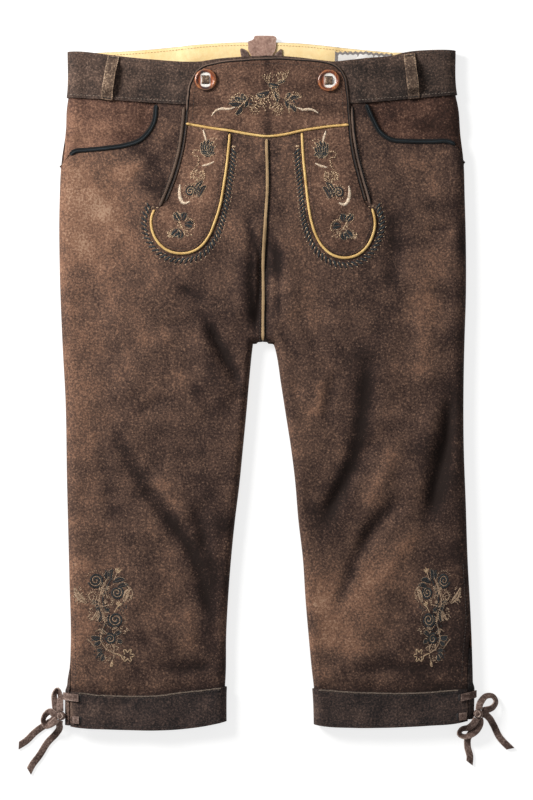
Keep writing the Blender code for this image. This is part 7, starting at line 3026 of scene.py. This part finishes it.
@dataclass
class Laces:
    """The thongs that close the side slits: bars, knots, loops and free ends."""

    cut: Cut
    skin: Skin
    step: float = 1.3
    tip_cut: float = 5.0          # how far a free end is cut on the slant
    cups: tuple[float, float] = (0.35, 0.2)           # hollow of a free end and of a loop
    roll_step: float = 22.5       # degrees of the side's roll that a bar's start counts in
    wrap: tuple[float, float] = (4.6, 1.5)            # width and thickness of a knot's turns
    wrap_in: float = 0.9
    core_in: float = 0.8
    core_half: float = 4.3

    def knot_centre(self, side: Side) -> np.ndarray:
        """Where a knot sits, against the rolled side of the cuff.

        Args:
            side: Which leg.

        Returns:
            The knot's centre, in mm.
        """
        y = KNOTS[side.value]
        x = float(self.cut.fold[side].x_at(y)) - side.hand * KNOT_IN
        bare = Line(((x, y), (x, y - 1.0)))
        share, inward = self.cut.from_fold(bare.points)
        height, steep = Skin.roll(share[:1])
        level = float(Skin.level(y))
        normal = np.array([*(-level * steep[0] * inward[0]), 1.0])
        normal /= np.linalg.norm(normal)
        z = SEAM_HEIGHT + GAP / 2 + level * height[0]
        return np.array([x, y, z]) + normal * (STACK + 2 * GAP + KNOT_RADIUS)

    def start(self, side: Side, way: tuple[float, int]) -> list[np.ndarray]:
        """Two points on a strand where it meets the knot, the nearer one first.

        Args:
            side: Which leg.
            way: Direction in degrees and level.

        Returns:
            The points, in mm.
        """
        out = np.array([*heading(math.radians(way[0])), 0.0])
        root = self.knot_centre(side) + (0, 0, way[1] * STRAND_STEP)
        return [root + out * (KNOT_RADIUS + 1.3 * GAP), root + out * (KNOT_RADIUS + 3.0)]

    def strand(self, side: Side, name: str, tilt: float, way_out: Any, route: Table,
               way_back: Any) -> tuple[bpy.types.Object, Line]:
        """Builds a free stretch: flat at the knot, tilted about its line between.

        Args:
            side: Which side.
            name: The strand's name.
            tilt: How upright its middle is, 90 where it lies flat.
            way_out: Direction and level where it leaves the knot.
            route: Where it passes, x, y, z in mm.
            way_back: Direction and level where it comes back, or None.

        Returns:
            The object and its middle line.
        """
        knots = self.start(side, way_out) + [np.array(place) for place in route]
        if way_back:
            knots += self.start(side, way_back)[::-1]
        line = Line.smooth(knots, 1.0).spaced(self.step)
        along = unit(np.gradient(line.points, line.marks, axis=0))
        level = unit(np.cross(np.tile((0.0, 0.0, 1.0), (len(along), 1)), along))
        upright = np.cross(along, level)
        share = line.marks / line.length
        turn = np.radians(LACE_FLAT + (tilt - LACE_FLAT) * np.sin(math.pi * share) ** 2)
        across = upright * np.cos(turn)[:, None] - level * np.sin(turn)[:, None]
        free = way_back is None
        made = Ribbon(f"lace_{side.value}_{name}", line.points, across, LACE_WIDTH, LACE_WALL,
                      LACE_SUEDE, (f"lace_{name}_{side.value}",),
                      self.tip_cut if free else 0.0, self.cups[not free]).build()
        return made, line

    def bar(self, side: Side, name: str, edge_y: float, first: int, eyelet_x: float,
            eyelet_y: float) -> None:
        """Builds the stretch that lies on the cuff, from near the side fold to its eyelet.

        Args:
            side: Which side.
            name: Upper or lower.
            edge_y: Height at the fold.
            first: How many steps of the roll it leaves out.
            eyelet_x: Where it ends.
            eyelet_y: Where it ends.
        """
        fold = self.cut.fold[side]
        start = np.array([float(fold.x_at(edge_y)), edge_y])
        end = np.array([eyelet_x, eyelet_y])
        width = float(np.linalg.norm(end - start))
        begin = SIDE_ROLL * (1 - math.cos(math.radians(self.roll_step * first)))
        line = start + (end - start) * (np.linspace(begin, width, 16) / width)[:, None]
        spread = np.linspace(-LACE_WIDTH / 2, LACE_WIDTH / 2, 9)
        plan = np.stack([line + (0.0, across) for across in spread], 1)
        plan[:, :, 0] += fold.x_at(plan[:, :, 1]) - fold.x_at(line[:, 1:])
        lift = STACK + 2 * GAP
        Shell(f"lace_{side.value}_bar_{name}", plan, self.skin, lift + LACE_WALL, lift,
              LACE_SUEDE, (f"lace_bar_{name}_{side.value}",), 0.7).build()
        hole = Stitches(self.skin, Level(STACK + GAP / 2))
        tip = np.array([eyelet_x - side.hand * 1.6, eyelet_y])
        hole.add(tip - (0, 4.4), tip + (0, 4.4), 3.2, 0.5)
        hole.build(f"eyelet_{side.value}_{name}", DARK_TRIM)

    def knot(self, side: Side) -> list[bpy.types.Object]:
        """Builds the pulled-tight knot: a core with three turns of thong round it.

        Args:
            side: Which side.

        Returns:
            The core and its wraps.
        """
        centre = self.knot_centre(side)
        path = []
        for turn, (tilt, height, reach) in enumerate(KNOT_TURNS):
            tip = math.radians(tilt)
            for share in np.linspace(0, 1, 26, endpoint=False):
                angle = 2 * math.pi * share + turn * 0.7
                x, y = heading(angle)
                radius = KNOT_RADIUS - self.wrap_in + reach
                path.append(centre + (x * radius, y * radius,
                                      math.sin(tip) * x * radius + height))
        line = Line(path).spaced(1.0)
        smooth = line.points.copy()
        for _ in range(3):
            smooth[1:-1] = (smooth[:-2] + 2 * smooth[1:-1] + smooth[2:]) / 4
        out = smooth - centre
        along = np.gradient(smooth, axis=0)
        across = np.cross(along, out)
        wraps = Ribbon(f"lace_{side.value}_wraps", smooth, across, *self.wrap, LACE_SUEDE,
                       wear=0.1).build()
        rings = [((KNOT_RADIUS - self.core_in) * (1 - abs(share) ** 3.2) ** 0.4,
                  share * self.core_half) for share in np.linspace(-0.94, 0.94, 9)]
        low, high = KNOT_POLES
        points, faces = turned([(0.0, low), *rings, (0.0, high)], 28)
        blank = np.zeros(len(points))
        core = make_piece(f"lace_{side.value}_knot", centre + points, faces, LACE_SUEDE,
                          (f"lace_knot_{side.value}",),
                          {"wear": blank - 0.2, "ridge": blank, "grime": blank})
        return [core, wraps]

    def build(self) -> None:
        """Builds the laces and logs how long their free ends are."""
        for side in Side:
            on_knot, free = self.knot(side), []
            for name, strand, tilt, way_out, route, way_back in LACE_ROUTES:
                if name != side.value:
                    continue
                made, line = self.strand(side, strand, tilt, way_out, route, way_back)
                if way_back:
                    on_knot.append(made)
                else:
                    free.append((made, line))
            for k, (made, line) in enumerate(free):
                tuple(line.points[0] * MM)
                (line.points * MM).tolist()
                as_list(on_knot if k == 0 else ())
                LOG.info("cord %s: %.1f mm long", made.name, line.length)

    def bars(self) -> None:
        """Builds the bars on the cuffs."""
        for name, *row in LACE_BARS:
            self.bar(Side(name), *row)


# ---------------------------------------------------------------- studio

@dataclass
class Studio:
    """Camera straight above, a pale floor and soft light from the upper left."""

    centre: tuple[float, float] = (-0.00055, -0.01898)
    view_height: float = 0.880
    lens: float = 135.0
    garment_top: float = 0.012
    key: float = 62.0
    fill: float = 3.0
    sky: float = 0.30
    sensor: float = 36.0
    floor_reach: float = 6.0
    floor_level: float = -0.0006

    def camera(self) -> None:
        """Places the camera."""
        data = bpy.data.cameras.new("camera")
        data.sensor_width = self.sensor
        data.lens = self.lens
        data.clip_end = 30.0
        made = bpy.data.objects.new("camera", data)
        bpy.context.scene.collection.objects.link(made)
        distance = self.view_height * self.lens / self.sensor
        made.location = (*self.centre, distance + self.garment_top)
        bpy.context.scene.camera = made

    def floor(self) -> None:
        """Lays the floor."""
        mesh = bpy.data.meshes.new("floor")
        corners = ((-1, -1), (1, -1), (1, 1), (-1, 1))
        mesh.from_pydata([(self.floor_reach * x, self.floor_reach * y, self.floor_level)
                          for x, y in corners], [], [[0, 1, 2, 3]])
        made = bpy.data.objects.new("floor", mesh)
        bpy.context.scene.collection.objects.link(made)
        graph = Graph(FLOOR.name)
        FLOOR.paint(graph)
        mesh.materials.append(graph.material)

    def lamp(self, name: str, place: Sequence[float], size: float, power: float,
             colour: Colour) -> None:
        """Hangs a square softbox that looks at the garment.

        Args:
            name: The lamp's name.
            place: Where it hangs, in metres.
            size: Its side.
            power: Its power in watts.
            colour: Its colour.
        """
        data = bpy.data.lights.new(name, "AREA")
        data.size = size
        data.energy = power
        data.color = colour
        made = bpy.data.objects.new(name, data)
        made.location = place
        made.rotation_euler = (-Vector(place)).to_track_quat("-Z", "Y").to_euler()
        bpy.context.scene.collection.objects.link(made)

    def light(self) -> None:
        """Sets the lamps and the sky."""
        scene = bpy.context.scene
        scene.view_settings.view_transform = "Standard"
        self.lamp("key", (-1.5, 1.0, 1.15), 0.7, self.key, (1.0, 0.985, 0.96))
        self.lamp("fill", (1.2, -1.2, 2.2), 1.6, self.fill, (0.96, 0.98, 1.0))
        world = bpy.data.worlds.new("sky")
        world.use_nodes = True
        back = next(n for n in world.node_tree.nodes if n.type == "BACKGROUND")
        back.inputs["Color"].default_value = (1.0, 1.0, 1.0, 1.0)
        back.inputs["Strength"].default_value = self.sky
        scene.world = world

    def build(self) -> None:
        """Sets the studio up."""
        self.camera()
        self.floor()
        self.light()


def main() -> None:
    """Builds every piece in order and logs each."""
    logging.basicConfig(level=logging.INFO, format="%(message)s")
    Studio().build()
    cut = Cut()
    front, back = Skin(cut, False), Skin(cut, True)
    LOG.info("skins ready")
    drop = DropFront(cut, front)
    laces = Laces(cut, front)
    laces.build()
    steps: Sequence[tuple[str, Any]] = (
        ("legs", Legs(cut, front, back)), ("waist", Waist(cut, front, back)),
        ("drop front", drop), ("cuffs", Cuffs(cut, front, back)))
    for name, assembly in steps:
        assembly.build()
        LOG.info("%s built", name)
    laces.bars()
    for side, place in zip(Side, BUTTONS):
        Button(side, place, front, drop.flap_lift).build()
        LOG.info("button %s built", side.name.lower())
    Embroidery(front, drop).build()
    LOG.info("embroidery sewn")


if __name__ == "__main__":
    main()
